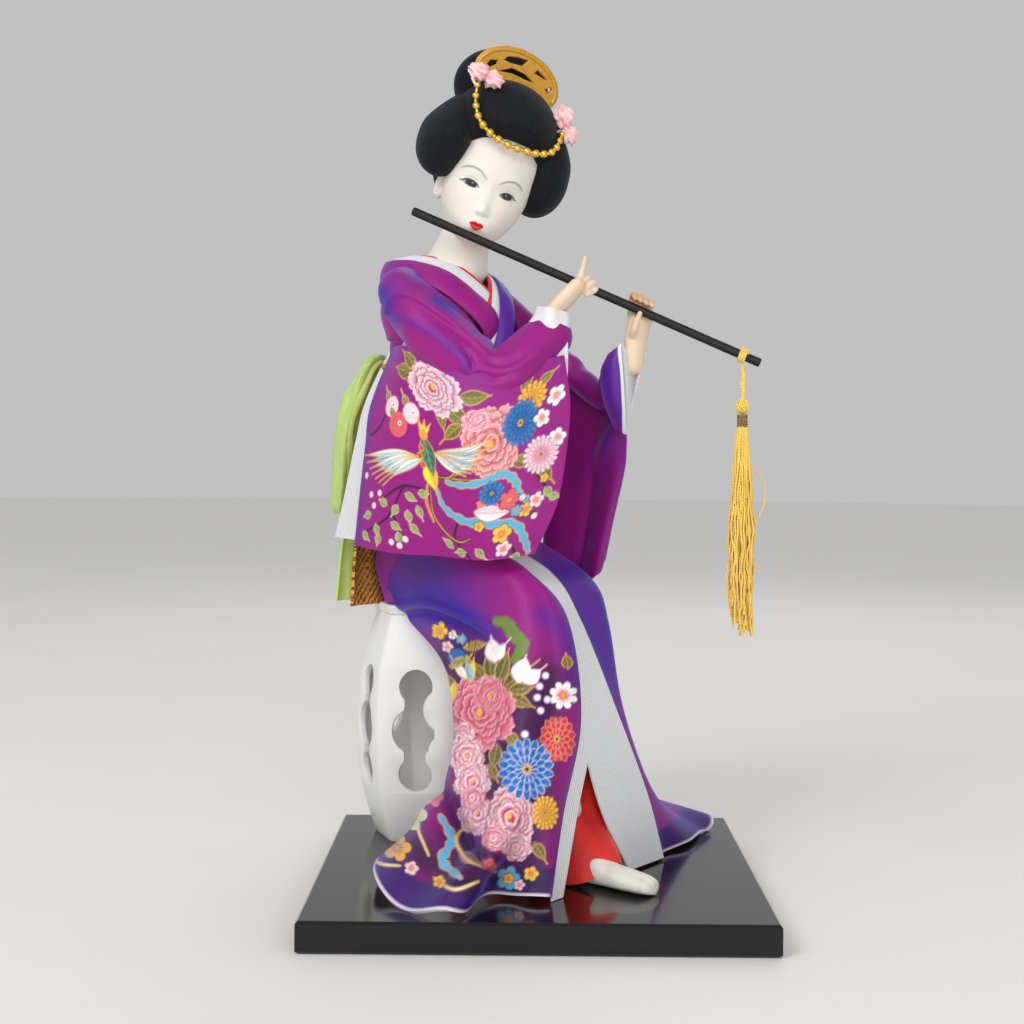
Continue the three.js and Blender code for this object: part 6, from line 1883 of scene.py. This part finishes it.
def yoke():
    """The shoulders of the bodice, from the collar's lower edge to the breast."""
    top = np.concatenate([COLLAR_LOWER, COLLAR_LOWER[:1]])
    breast = torso_ring(184.0, 2.6, 360)
    centre = breast.mean(axis=0)
    local = (top - FIGURE.origin) @ FIGURE.rotation - centre
    way = np.degrees(np.arctan2(local[:, 1] / 16, local[:, 0] / 24)).astype(int) % 360
    foot = FIGURE(breast[way])
    out = unit(((top + foot) / 2 - FIGURE(centre)) * LEVEL)
    net = np.array([top - out * 1.2, (top + foot) / 2 + out * 2.5, foot])
    cloth = Cloth(surface(net, steps(180), steps(40)), FIGURE(centre))
    # Painted sheen and shade in the cool colour over the yoke's left side.
    tone = cloth.shot(0.5 * smooth(cloth.shares()[0], 0.6, 0.7))
    cloth.make("shoulder_yoke", "bodice", "silk", "draped", ["bodice_front"], 1.0, tone)


def wrap(low, high, out, rows=60, around=160):
    """Cloth wound round the body between two heights."""
    rings = np.array([torso_ring(height, out, around) for height in np.linspace(high, low, rows)])
    return Cloth(FIGURE(rings), FIGURE((NECK[0] * 0.4, NECK[1] * 0.4, (low + high) / 2)), closed=True)


class DOLL_OT_bodice(bpy.types.Operator):
    """Wraps the bodice, the hips, the obi and its braided cord"""

    bl_idname = "doll.bodice"
    bl_label = "Bodice and obi"

    def execute(self, context):
        bodice = wrap(127, 190, 1.3, 80)
        across, down = bodice.shares()
        bodice.fold(0.5 * np.sin(across * 42 + 5 * down) * bell(down, 0.45, 0.2))
        # The bodice and the hips take painted sheen and shade from shot where they turn aside, with a share of
        # the cool colour all over.
        bodice.make("bodice_front", "bodice", "silk", "stretched", ["torso_padding"], 1.4, bodice.shot(0.25))
        hips = wrap(87.6, 126.5, 1.3, 50)
        hips.make("hip_wrap", "skirt_hips", "silk", "stretched", ["torso_padding"], 1.4, hips.shot(0.3))
        obi = wrap(OBI_LOW, OBI_HIGH, 3.8, 60)
        obi.fold(0.25 * np.sin(obi.shares()[1] * 60))
        obi.make("obi_band", "obi", "brocade", "stretched", ["bodice_front"], 1.8, colours().gold)
        waist = torso_ring(OBI_LOW + 0.62 * (OBI_HIGH - OBI_LOW), 6.4, 120)
        loop = FIGURE(np.concatenate([waist, waist[:2]]))[::3]
        mesh = thread_mesh("obi_braid", [twisted(loop, 1.25, 3, 46, 400), twisted(loop, 1.1, 3, -46, 400, 9.0)])
        settle(mesh, "obi_braid", "braid", "obi_cord")
        return {"FINISHED"}


RIGHT_BAG = (
    ((-33.5, -17, 181), (-39.8, -31, 180.7), (-39.2, -44.1, 176.5), (-33.5, -60.8, 170.8),
     (-7.4, -76.4, 177.5)),
    ((-40, -12.8, 160.3), (-42.5, -31.3, 157), (-40.5, -44.3, 154.9), (-35, -62.2, 151.5),
     (-7.9, -79.9, 161.4)),
    ((-41.2, -11.6, 145.3), (-42.6, -31.1, 142.4), (-40.1, -44.6, 141.2), (-34.4, -62.7, 139.4),
     (-9.6, -80.4, 146.1)),
    ((-42.3, -9.9, 125.4), (-42.7, -30.4, 122.9), (-39.1, -44.2, 122.6), (-33.1, -62.5, 121.8),
     (-13, -79.2, 126.7)),
    ((-42.9, -8.6, 110.3), (-42.3, -30.1, 108.6), (-37.9, -44, 108.2), (-31.4, -62.8, 107.6),
     (-19.2, -74.6, 109.8)),
)
LEFT_BAG = (
    ((25.8, -33.2, 180.9), (26.9, -46.8, 172.1), (26.9, -62.1, 168.1), (26.4, -74.2, 172.9),
     (25.5, -84.5, 180.1)),
    ((27.1, -33.2, 159.6), (27.7, -46.3, 152.2), (27.7, -60.1, 149.6), (26.2, -69.8, 151.5),
     (25.6, -76.1, 154)),
    ((27.5, -33.5, 143.1), (28.3, -45.4, 135.9), (29.4, -57.6, 131.7), (28.3, -67.6, 134.9),
     (28.6, -72.1, 139.3)),
    ((26.7, -34.1, 122.2), (27.4, -44.5, 115.1), (29.1, -55.2, 113), (27.5, -64.1, 116.7), (29.1, -67, 122.9)),
    ((25.8, -34.6, 106.2), (26.4, -43.6, 99.2), (27.6, -51.7, 95.3), (26.2, -60.1, 98.4), (28, -63.2, 105.1)),
)
BAGS = {RIGHT: RIGHT_BAG, LEFT: LEFT_BAG}
# The left sleeve's mouth, in the part's frame: the fold in front of the wrist and the white trough behind it.
LEFT_FLAP = (
    ((25.2, 5, 187.9), (23.4, -3, 187.9), (25.3, -6, 189.8), (27.6, -6.5, 191.9)),
    ((23.3, 8, 182.7), (21.4, -2, 183), (24.6, -7, 183.5), (28.4, -7, 181.5)),
    ((23.4, 9, 177.1), (21.5, -1, 176.8), (24.7, -6.5, 175.9), (29, -6, 174.2)),
    ((24.8, 9, 170.7), (23, 0, 170.5), (25.9, -4, 169.4), (29.6, -4, 168)),
    ((27.7, 9, 163.6), (26.3, 3, 163.2), (28, 1, 162.1), (30.1, 0, 160.7)),
)
LEFT_MOUTH = (
    ((27.7, -5, 192.3), (30, -2.5, 189.4), (33, 5.5, 184.8), (35.1, 5.5, 187.7), (37, 3, 190.1)),
    ((28.8, -5.5, 181.2), (30.4, -3, 180.3), (32.3, 5, 178.1), (33.4, 5, 179.2), (35, 3, 182.6)),
    ((29.7, -4, 170.8), (30.6, -2, 170.5), (31.6, 4, 169.9), (32, 4.5, 170.7), (33, 4, 173.5)),
    ((30.1, 1, 160.7), (30.3, 2, 160.7), (30.6, 4, 160.7), (30.8, 5, 161.1), (31, 6, 161.5)),
)


def bag_cloth(side, columns, rows):
    """The hanging bag of a sleeve with its soft folds."""
    net = np.array(BAGS[side], float)
    points = surface(net, even_shares(net.swapaxes(0, 1), columns), steps(rows))
    body = FIGURE((-10, -25, 145)) if side == RIGHT else FIGURE((-4, -40, 140))
    cloth = Cloth(FIGURE(points), body)
    across, down = cloth.shares()
    cloth.fold(-cloth.side * 1.4 * down * np.sin(3 * math.pi * across + 0.6))
    if side == LEFT:
        cloth.fold(-1.8 * bell(down, 0.62 - 0.42 * across, 0.07) * smooth(across, 0.3, 0.6))
        cloth.fold(1.3 * bell(across, 0.62 - 0.12 * down, 0.07) * smooth(down, 0.15, 0.4))
    return cloth


ARM_FOLDS = (
    (((-55.2, 197.4), (-53, 204.7), (-50, 208.3), (-43.6, 206.4), (-33.8, 200), (-27.3, 195.2), (-20.8, 189.7)),
     2.6, 1.5, True),
    (((-25.6, 178.2), (-21.6, 180.3), (-15.9, 179.9), (-9.5, 182.5)), 1.6, -1.8, False),
    (((-27.7, 190.8), (-24.7, 186.4), (-23.6, 182.4)), 1.3, -1.5, False),
    (((-50.8, 200.7), (-40.2, 197.1), (-28.9, 188.8), (-25.6, 183.2)), 2.8, 1.0, False),
    (((-18.3, 178), (-4.7, 186.6), (3.3, 193.1)), 1.8, 0.9, False),
    (((-34, 184), (-29, 181), (-25.6, 178.6)), 1.4, -1.1, False),
    (((-20, 186), (-13, 185), (-6, 188)), 1.6, -0.9, False),
)
ARM_RADII = {RIGHT: (5.5, 8.6, 10.6, 11.2, 10.6, 9.6, 8.2), LEFT: (5.6, 5.8, 5.2, 4.9, 4.8, 4.6, 4.2)}
SAG = {RIGHT: np.zeros(3), LEFT: np.array((0, 0, 2.4))}
SLEEVE_ENDS = {RIGHT: ((-25, -57, 170), (-6.4, -68, 184)), LEFT: ((22.92, -64.7, 164.3), (21.84, -71.6, 170.8))}


def outward_roll(rings):
    """A roll of cloth that faces away from its own middle line."""
    cloth = Cloth(rings, rings.mean(axis=(0, 1)), closed=True)
    middle = rings.mean(axis=1, keepdims=True)
    cloth.side = 1.0 if (cloth.normal * (rings - middle)).sum() > 0 else -1.0
    return cloth


def sleeve_arm(side):
    """The sleeve round the arm, creased at the elbow."""
    start = NECK + (side * 12.6, 3, -10.8)
    route = FIGURE([start - SAG[side], SHOULDER[side] - SAG[side], *SLEEVE_ENDS[side]])
    cloth = outward_roll(tube(route, ARM_RADII[side], 200, 150))
    around, along = cloth.shares()
    creases = 0.5 * np.sin(along * 46 + 2.2 * np.sin(2 * math.pi * around)) * bell(along, 0.62, 0.1)
    creases += 0.4 * np.sin(along * 27 + 5 * np.cos(2 * math.pi * around + 1)) * bell(along, 0.4, 0.16)
    cloth.fold(creases * smooth(along, 0.06, 0.2) * smooth(1 - along, 0.05, 0.15))
    if side == RIGHT:
        for path, width, height, sharp in ARM_FOLDS:
            cloth.crease(path, width, height, sharp)
    return cloth


class DOLL_OT_sleeves(bpy.types.Operator):
    """Hangs the printed sleeves, their white inner sleeves and the cuffs"""

    bl_idname = "doll.sleeves"
    bl_label = "Sleeves"

    def execute(self, context):
        for side, name in SIDES.items():
            padding = [f"{name}_arm_padding"]
            bag = bag_cloth(side, 216, 214) if side == RIGHT else bag_cloth(side, 160, 180)
            across, down = bag.shares()
            pillow = 0.9 + 2.2 * (np.sin(math.pi * across) * np.sin(math.pi * np.clip(down, 0.02, 0.98))) ** 0.5
            bag.make(f"{name}_sleeve_bag", f"sleeve_{name}", "silk", "hung", padding, pillow,
                     *sleeve_print(side, bag))
            arm = sleeve_arm(side)
            along = arm.shares()[1]
            # Painted sheen and shade in the cool colour: towards the forearm on the left; on the right near the
            # shoulder, down the shoulder's outer side, a highlight line across it and along a fold.
            cool = 0.2 * smooth(along, 0.5, 0.8)
            if side == RIGHT:
                cool = 0.3 * bell(along, 0.18, 0.1) + 0.9 * arm.zone(((-57, 208), (-57, 194), (-54, 182)), 5)
                cool = cool + 0.7 * arm.zone(((-37, 207), (-28, 203)), 2.2) + 0.5 * arm.zone(ARM_FOLDS[3][0], 2)
            arm.make_roll(f"{name}_sleeve_arm", f"sleeve_{name}", "silk", "gathered", padding, arm.shot(cool))
            inner_sleeve(side)
            cuff(side)
        flap = Cloth(surface(LEFT_FLAP, steps(60), steps(90)), (27, 30, 178))
        edge = smooth(flap.x - flap.x[:, -1:], -1.5, -1.1)
        # Painted shade and sheen in the cool colour over the fold in front of the wrist, less along a strip
        # nine millimetres in.
        tone = blend(flap.shot(0.8 - 0.5 * bell(flap.x, 9, 3)), colours().lining, edge)
        flap.make("left_sleeve_flap", "sleeve_left", "silk", "folded", ["left_arm_padding"], 0.9, tone)
        return {"FINISHED"}


def sleeve_print(side, bag):
    """The outer and inner colours of a sleeve bag."""
    across, down = bag.shares()
    if side == LEFT:
        # Painted shade and sheen in the cool colour down a fold near the bag's far edge in its upper half, and
        # along that edge.
        fold = 0.7 * bell(across, 0.8, 0.1) * smooth(0.5 - down, 0, 0.3) + 0.3 * bell(across, 0.95, 0.05)
        base = bag.shot(fold, 0.12)
        edge = smooth(bag.x - bag.x[:, -1:], -1.4, -1.0) * smooth(0.3 - down, 0, 0.05)
        return blend(base, colours().lining, edge), base
    # Painted sheen and shade in the cool colour along the bag's first edge and its top.
    ink = Print(bag, bag.shot(0.5 * bell(across, 0.0, 0.06) + 0.2 * bell(down, 0.0, 0.12)))
    base = ink.colour.copy()
    print_right_sleeve(ink)
    return ink.colour, base


def inner_sleeve(side):
    """The white inner sleeve: on the right it shows past the bag's edges, on the left it lines the mouth."""
    name = SIDES[side]
    if side == LEFT:
        cloth = Cloth(surface(LEFT_MOUTH, steps(50), steps(70)), (27, -30, 178))
    else:
        net = np.array(BAGS[side], float)
        net[:, 0, 1] += 17 * (0.3 + 0.18 * np.arange(5))
        back = np.array((3.5, -4.5, -9, -11, -11))[:, None] * (0.72, -0.69, 0)
        net[:, -1] += back
        net[:, -2] += 0.5 * back
        net = net + (4.4, 0, 2)
        net[0, -1] = (-3.6, -74.4, 191.1)
        cloth = Cloth(FIGURE(surface(net, steps(70), steps(80))), FIGURE((-10, -25, 145)))
        across, down = cloth.shares()
        cloth.fold(1.2 * down * np.sin(4 * math.pi * across + 0.4))
    cloth.make(f"{name}_inner_sleeve", f"inner_sleeve_{name}", "lining", "hung", [f"{name}_arm_padding"], 0.8,
               colours().lining)


def cuff(side):
    """The white cuff at the wrist, an open roll of thin cloth."""
    route, radii = {
        RIGHT: (((-9, -66.2, 181.6), (-6.4, -68.4, 187.6), (-5.4, -69.2, 193.4)), (7.0, 6.6, 5.2)),
        LEFT: (((21.4, -74.6, 172.6), (20.8, -78.5, 174.9), (20.1, -82.4, 177.2)), (4.6, 4.6, 4.4)),
    }[side]
    cloth = outward_roll(tube(FIGURE(route), radii, 30, 60, rounded=False))
    around, along = cloth.shares()
    cloth.fold(0.35 * np.sin(around * 2 * math.pi * 5 + 3 * along))
    name = SIDES[side]
    cloth.make(f"{name}_white_cuff", f"cuff_{name}", "white", "gathered", [f"{name}_arm_padding"], 0.7,
               colours().lining)


# Skirt


def lap(x, share, rise):
    return (x, KNEE_FRONT * share, SEAT + rise)


def shin(x, forward, share):
    return (x, KNEE_FRONT - forward, 0.5 + share * KNEE)


RIGHT_EDGE = (lap(-15, 0.32, 37), lap(-17, 0.66, 27), lap(-16, 1.075, 16), shin(-10.5, 18.3, 0.95),
              shin(-12.5, 27, 0.6), shin(-26, 32, 0.27), shin(-35, 37, 0.01))
LEFT_EDGE = (lap(-5, 0.3, 37), lap(-6, 0.65, 27), lap(-3.3, 1.07, 15), shin(0.4, 15, 0.93), shin(9, 24, 0.6),
             shin(22, 27, 0.27), shin(33, 25, 0.01))
PANELS = {
    RIGHT: (
        RIGHT_EDGE,
        (lap(-18, 0.3, 34), lap(-20.5, 0.68, 26), lap(-20, 1.1, 17),
         shin(-18, 19, 0.95), shin(-23, 26, 0.6), shin(-38, 31, 0.27), shin(-47, 24, 0.01)),
        (lap(-22, 0.24, 25), lap(-25, 0.67, 18), lap(-25, 1.06, 11),
         shin(-27, 13, 0.9), shin(-34, 18, 0.57), shin(-48, 24, 0.24), shin(-73, 28, 0.012)),
        (lap(-23, 0.08, 14), lap(-28, 0.56, 0), lap(-29, 0.86, -11),
         shin(-32, -4, 0.66), shin(-38, 2, 0.42), shin(-50, 6, 0.19), shin(-76, 4, 0.02)),
        (lap(-19, -0.10, 10), lap(-25, 0.25, -3), lap(-27, 0.6, -17),
         shin(-32, -14, 0.55), shin(-37, -12, 0.36), shin(-46, -16, 0.2), shin(-55, -28, 0.05)),
    ),
    LEFT: (
        LEFT_EDGE,
        (lap(14, 0.28, 34), lap(15, 0.67, 24), lap(15, 1.08, 12),
         shin(15, 13, 0.91), shin(17, 18, 0.59), shin(29, 20, 0.27), shin(52, 16, 0.01)),
        (lap(20, 0.15, 24), lap(22, 0.58, 14), lap(22, 0.95, 3),
         shin(21, 3, 0.83), shin(22, 8, 0.54), shin(36, 10, 0.26), shin(80, 8, 0.012)),
        (lap(24, 0, 12), lap(25, 0.48, -2), lap(25, 0.78, -15),
         shin(23, -12, 0.65), shin(25, -9, 0.43), shin(38, -9, 0.21), shin(84, -3, 0.02)),
        (lap(25, -0.12, -2), lap(26, 0.33, -16), lap(25, 0.6, -26),
         shin(24, -26, 0.52), shin(27, -25, 0.37), shin(38, -27, 0.22), shin(62, -29, 0.04)),
    ),
}


LAP_RIDGE = ((-55.2, 103.4), (-47.9, 99.8), (-38.7, 100.3), (-29.5, 97.2), (-20.3, 92.7), (-16.1, 90))
LAP_VALLEY = ((-49.7, 97), (-38.7, 97.1), (-29.5, 94), (-20.3, 89), (-16.6, 85.4))
SKIRT_FOLDS = ((LAP_RIDGE, 1.7, 2.0), (LAP_VALLEY, 1.4, -1.8),
               (((-34, 38), (-31, 32), (-24.6, 18), (-16, 4)), 3, -3.2),
               (((-40, 33), (-38, 25), (-33, 12), (-28, 2)), 4, 2.2))


def skirt_cloth(side, columns, rows):
    """One panel of the skirt with the folds of its train."""
    net = np.array(PANELS[side], float).swapaxes(0, 1)
    down = even_shares(net, rows, lambda share: np.where(share < 0.36, 0.4, 1.0))
    points = surface(net, steps(columns), down)
    cloth = Cloth(FIGURE(points), FIGURE((0, KNEE_FRONT * 0.75, 50)))
    across = cloth.shares()[0]
    down = np.broadcast_to(down[:, None], across.shape)
    waves = 2.2 * down ** 2 * np.sin(5 * math.pi * across + 0.4)
    cloth.points = cloth.points + cloth.normal * waves[..., None]
    cloth.measure()
    if side == RIGHT:
        for path, width, height in SKIRT_FOLDS:
            cloth.crease(path, width, height)
    cloth.share_down = down
    return cloth


class DOLL_OT_skirt(bpy.types.Operator):
    """Drapes the red underskirt, the printed panels and their white facings"""

    bl_idname = "doll.skirt"
    bl_label = "Skirt"

    def execute(self, context):
        underskirt()
        for side, name in SIDES.items():
            cloth = skirt_cloth(side, 168, 292) if side == RIGHT else skirt_cloth(side, 150, 200)
            cloth.make(f"{name}_skirt_panel", f"skirt_{name}", "silk", "draped",
                       [f"{name}_leg_padding", "board"],
                       sizes().silk / MILLIMETRE, skirt_print(side, cloth), colours().lining)
        facing(RIGHT, RIGHT_EDGE, LEFT_EDGE, (0.3, 0.3, 0.3, 0.3, 0.32, 0.17, 0.09), 1.2)
        facing(LEFT, LEFT_EDGE, RIGHT_EDGE, (1, 1, 1, 1, 1.02, 0.56, 0.33), 0.5)
        return {"FINISHED"}


def skirt_print(side, cloth):
    """The outer colours of a skirt panel."""
    across = cloth.shares()[0]
    down = cloth.share_down
    hem = smooth(down, 0.93, 0.95)
    cool = 0.8 * hem
    # Painted sheen and shade in the cool colour: on the right panel over the back of the lap, a highlight line
    # along the lap's ridge and a band by the knee; on the left panel over the knee.
    if side == RIGHT:
        cool = cool + 0.85 * smooth(across, 0.4, 0.6) * bell(down, 0.1, 0.2) + 0.7 * cloth.zone(LAP_RIDGE, 5)
        cool = cool + 0.6 * cloth.zone(((2, 97), (11, 87), (13, 72)), 5)
    else:
        cool = cool + 0.75 * smooth(down, 0.15, 0.35) * smooth(0.75 - down, 0, 0.2)
    base = blend(cloth.shot(cool), linear(52, 22, 96), 0.75 * hem)
    ink = Print(cloth, base)
    if side == RIGHT:
        ahead, up = elevation(cloth.points)
        ink.x, ink.y = (66.75 + ahead).ravel(), (130.2 - up).ravel()
        print_right_skirt(ink)
    ink.lay(slice(None), smooth(down, 0.993, 0.996).ravel(), linear(226, 216, 226))
    # Painted shadow in the fold valley of the train.
    if side == RIGHT:
        ink.lay(slice(None), 0.6 * cloth.zone(SKIRT_FOLDS[2][0], 3.5).ravel(), linear(40, 12, 56))
    ink.lay(slice(None), cover(0.9 - cloth.x).ravel(), linear(96, 18, 104))
    return ink.colour


def facing(side, edge, other, reach, drop):
    """The white lining turned out along a panel's front edge, over shares of the gap to the other edge."""
    edge, other = np.array(edge, float), np.array(other, float)
    gap = (other - edge) * np.array(reach, float)[:, None]
    columns = [edge + gap * share - (0, 0, drop) for share in (0.0, 0.5, 1.0)]
    net = np.array(columns).swapaxes(0, 1)
    cloth = Cloth(FIGURE(surface(net, steps(60), even_shares(net, 180))), FIGURE((0, KNEE_FRONT * 0.75, 50)))
    name = SIDES[side]
    cloth.make(f"{name}_skirt_facing", f"facing_{name}", "lining", "draped", [f"{name}_skirt_panel"], 0.7,
               colours().lining)


def underskirt():
    """The red underskirt, falling in shallow folds from the knees."""
    levels = np.array(((-4, KNEE_FRONT - 11, 0.6, 22, 19.5), (-3, KNEE_FRONT - 9, 32.2, 17, 14),
                       (-1, KNEE_FRONT - 6, 64.4, 14, 10), (0, KNEE_FRONT - 4, 84.6, 12, 8)))
    rows = spline(levels, steps(110))[::-1]
    angle = circle(180)[None, :]
    x, y, z, wide, deep = rows.T[..., None]
    low = smooth(1 - z / 24, 0, 1)
    over_foot = 7.6 * bell(angle, 1.5 * math.pi - 0.08, 0.34) * low
    forward = 8.5 * bell(angle, 1.5 * math.pi - 0.16, 0.5) * low
    behind = np.where(angle < math.pi, 1.5, 1)
    grid = np.stack([x + wide * np.cos(angle), y + deep * np.sin(angle) * behind - forward, z + over_foot],
                    axis=-1)
    cloth = Cloth(FIGURE(grid), FIGURE((-2, KNEE_FRONT - 8, 40)), closed=True)
    across, down = cloth.shares()
    cloth.fold(0.9 * down * np.sin(across * 2 * math.pi * 9 + 1.5 * down) - 0.9 * down)
    cloth.make("red_underskirt", "underskirt", "red", "draped", ["right_leg_padding"], 0.9, colours().red)


# Bow


class DOLL_OT_bow(bpy.types.Operator):
    """Ties the bow of the obi behind the waist"""

    bl_idname = "doll.bow"
    bl_label = "Bow"

    def execute(self, context):
        rings = FIGURE(egg(BOW_KNOT, (7, 5.5, 8), 40, 60, knot_shape))
        flat = flat_of(*np.meshgrid(steps(60) * 30, steps(40) * 20))
        mesh = skin_over("bow_knot_pad", rings, flat, colours().lime)
        settle(mesh, "bow_knot_pad", "satin", "bow_knot")
        for side in SIDES:
            bow_loop(side)
            bow_tail(side)
        return {"FINISHED"}


def knot_shape(points):
    """Pinched pleats round the knot."""
    way = np.arctan2(points[..., 1], points[..., 0])
    return points * (1 + 0.05 * np.cos(way * 9))[..., None]


def bow_loop(side):
    """A full loop of satin, pleated where it leaves the knot."""
    route = [BOW_KNOT + (side * x, y, z) for x, y, z in ((5, 1, 4), (11, -1, 22.3), (18, 5, 0), (19, 9, -31))]
    cloth = outward_roll(tube(FIGURE(route), (3.2, 6.6, 9.6, 10.6, 8.6), 120, 120, 0.4))
    around, along = cloth.shares()
    pleat = np.sin(around * 2 * math.pi * 7 + 3 * along + np.sin(9 * along))
    cloth.fold(0.9 * power(pleat, 1.6) * (0.35 + 0.65 * smooth(1 - along, 0.2, 0.9)))
    cloth.fold(0.8 * np.sin(17 * along + 6 * np.cos(2 * math.pi * around)) * bell(along, 0.5, 0.2))
    name = SIDES[side]
    cloth.make_roll(f"{name}_bow_loop", f"bow_loop_{name}", "satin", "folded", ["bow_knot_pad"], colours().lime)


def bow_tail(side):
    """Two tails under each loop: brocade, and satin behind it."""
    name = SIDES[side]
    tails = {
        f"{name}_bow_tail": (((0, -6), (9, -5), (18, -7)), 68, "brocade", colours().gold),
        f"{name}_satin_tail": (((8, -2.6), (15, -2.8), (22.5, -3.2)), 66, "satin", colours().lime),
    }
    for piece, (places, drop, look_name, colour) in tails.items():
        columns = []
        for x, y in places:
            columns.append([BOW_KNOT + (side * (4 + x * 0.4), 2 + y, -6),
                            BOW_KNOT + (side * (8 + x * 0.7), 2 + y, -37),
                            BOW_KNOT + (side * (8 + x), y - 1, -drop)])
        net = np.array(columns).swapaxes(0, 1)
        cloth = Cloth(FIGURE(surface(net, steps(50), steps(110))), FIGURE((0, -20, 120)))
        across, down = cloth.shares()
        cloth.fold(0.8 * np.sin(across * 7 + 2 * down) * down)
        cloth.make(piece, f"bow_tail_{name}", look_name, "hung", ["bow_knot_pad"], 1.2, colour)


# The panel, and the making in order

STEPS = (
    DOLL_OT_stage, DOLL_OT_stand, DOLL_OT_limbs, DOLL_OT_head, DOLL_OT_hair, DOLL_OT_ornaments, DOLL_OT_flute,
    DOLL_OT_tassel, DOLL_OT_bodice, DOLL_OT_collars, DOLL_OT_sleeves, DOLL_OT_skirt, DOLL_OT_bow,
)


class DOLL_PT_build(bpy.types.Panel):
    """Lists the steps that build the doll"""

    bl_label = "Doll"
    bl_space_type = "VIEW_3D"
    bl_region_type = "UI"
    bl_category = "Doll"

    def draw(self, context):
        for step in STEPS:
            self.layout.operator(step.bl_idname)
        for group in (context.scene.doll_sizes, context.scene.doll_colours):
            for name in group.__annotations__:
                self.layout.prop(group, name)


CLASSES = (DollSizes, DollColours) + STEPS + (DOLL_PT_build,)


def register():
    for made in CLASSES:
        bpy.utils.register_class(made)
    bpy.types.Scene.doll_sizes = bpy.props.PointerProperty(type=DollSizes)
    bpy.types.Scene.doll_colours = bpy.props.PointerProperty(type=DollColours)


def unregister():
    del bpy.types.Scene.doll_colours
    del bpy.types.Scene.doll_sizes
    for made in reversed(CLASSES):
        bpy.utils.unregister_class(made)


def main():
    """Builds the doll piece by piece."""
    register()
    for step in STEPS:
        group, name = step.bl_idname.split(".")
        getattr(getattr(bpy.ops, group), name)()


if __name__ == "__main__":
    main()
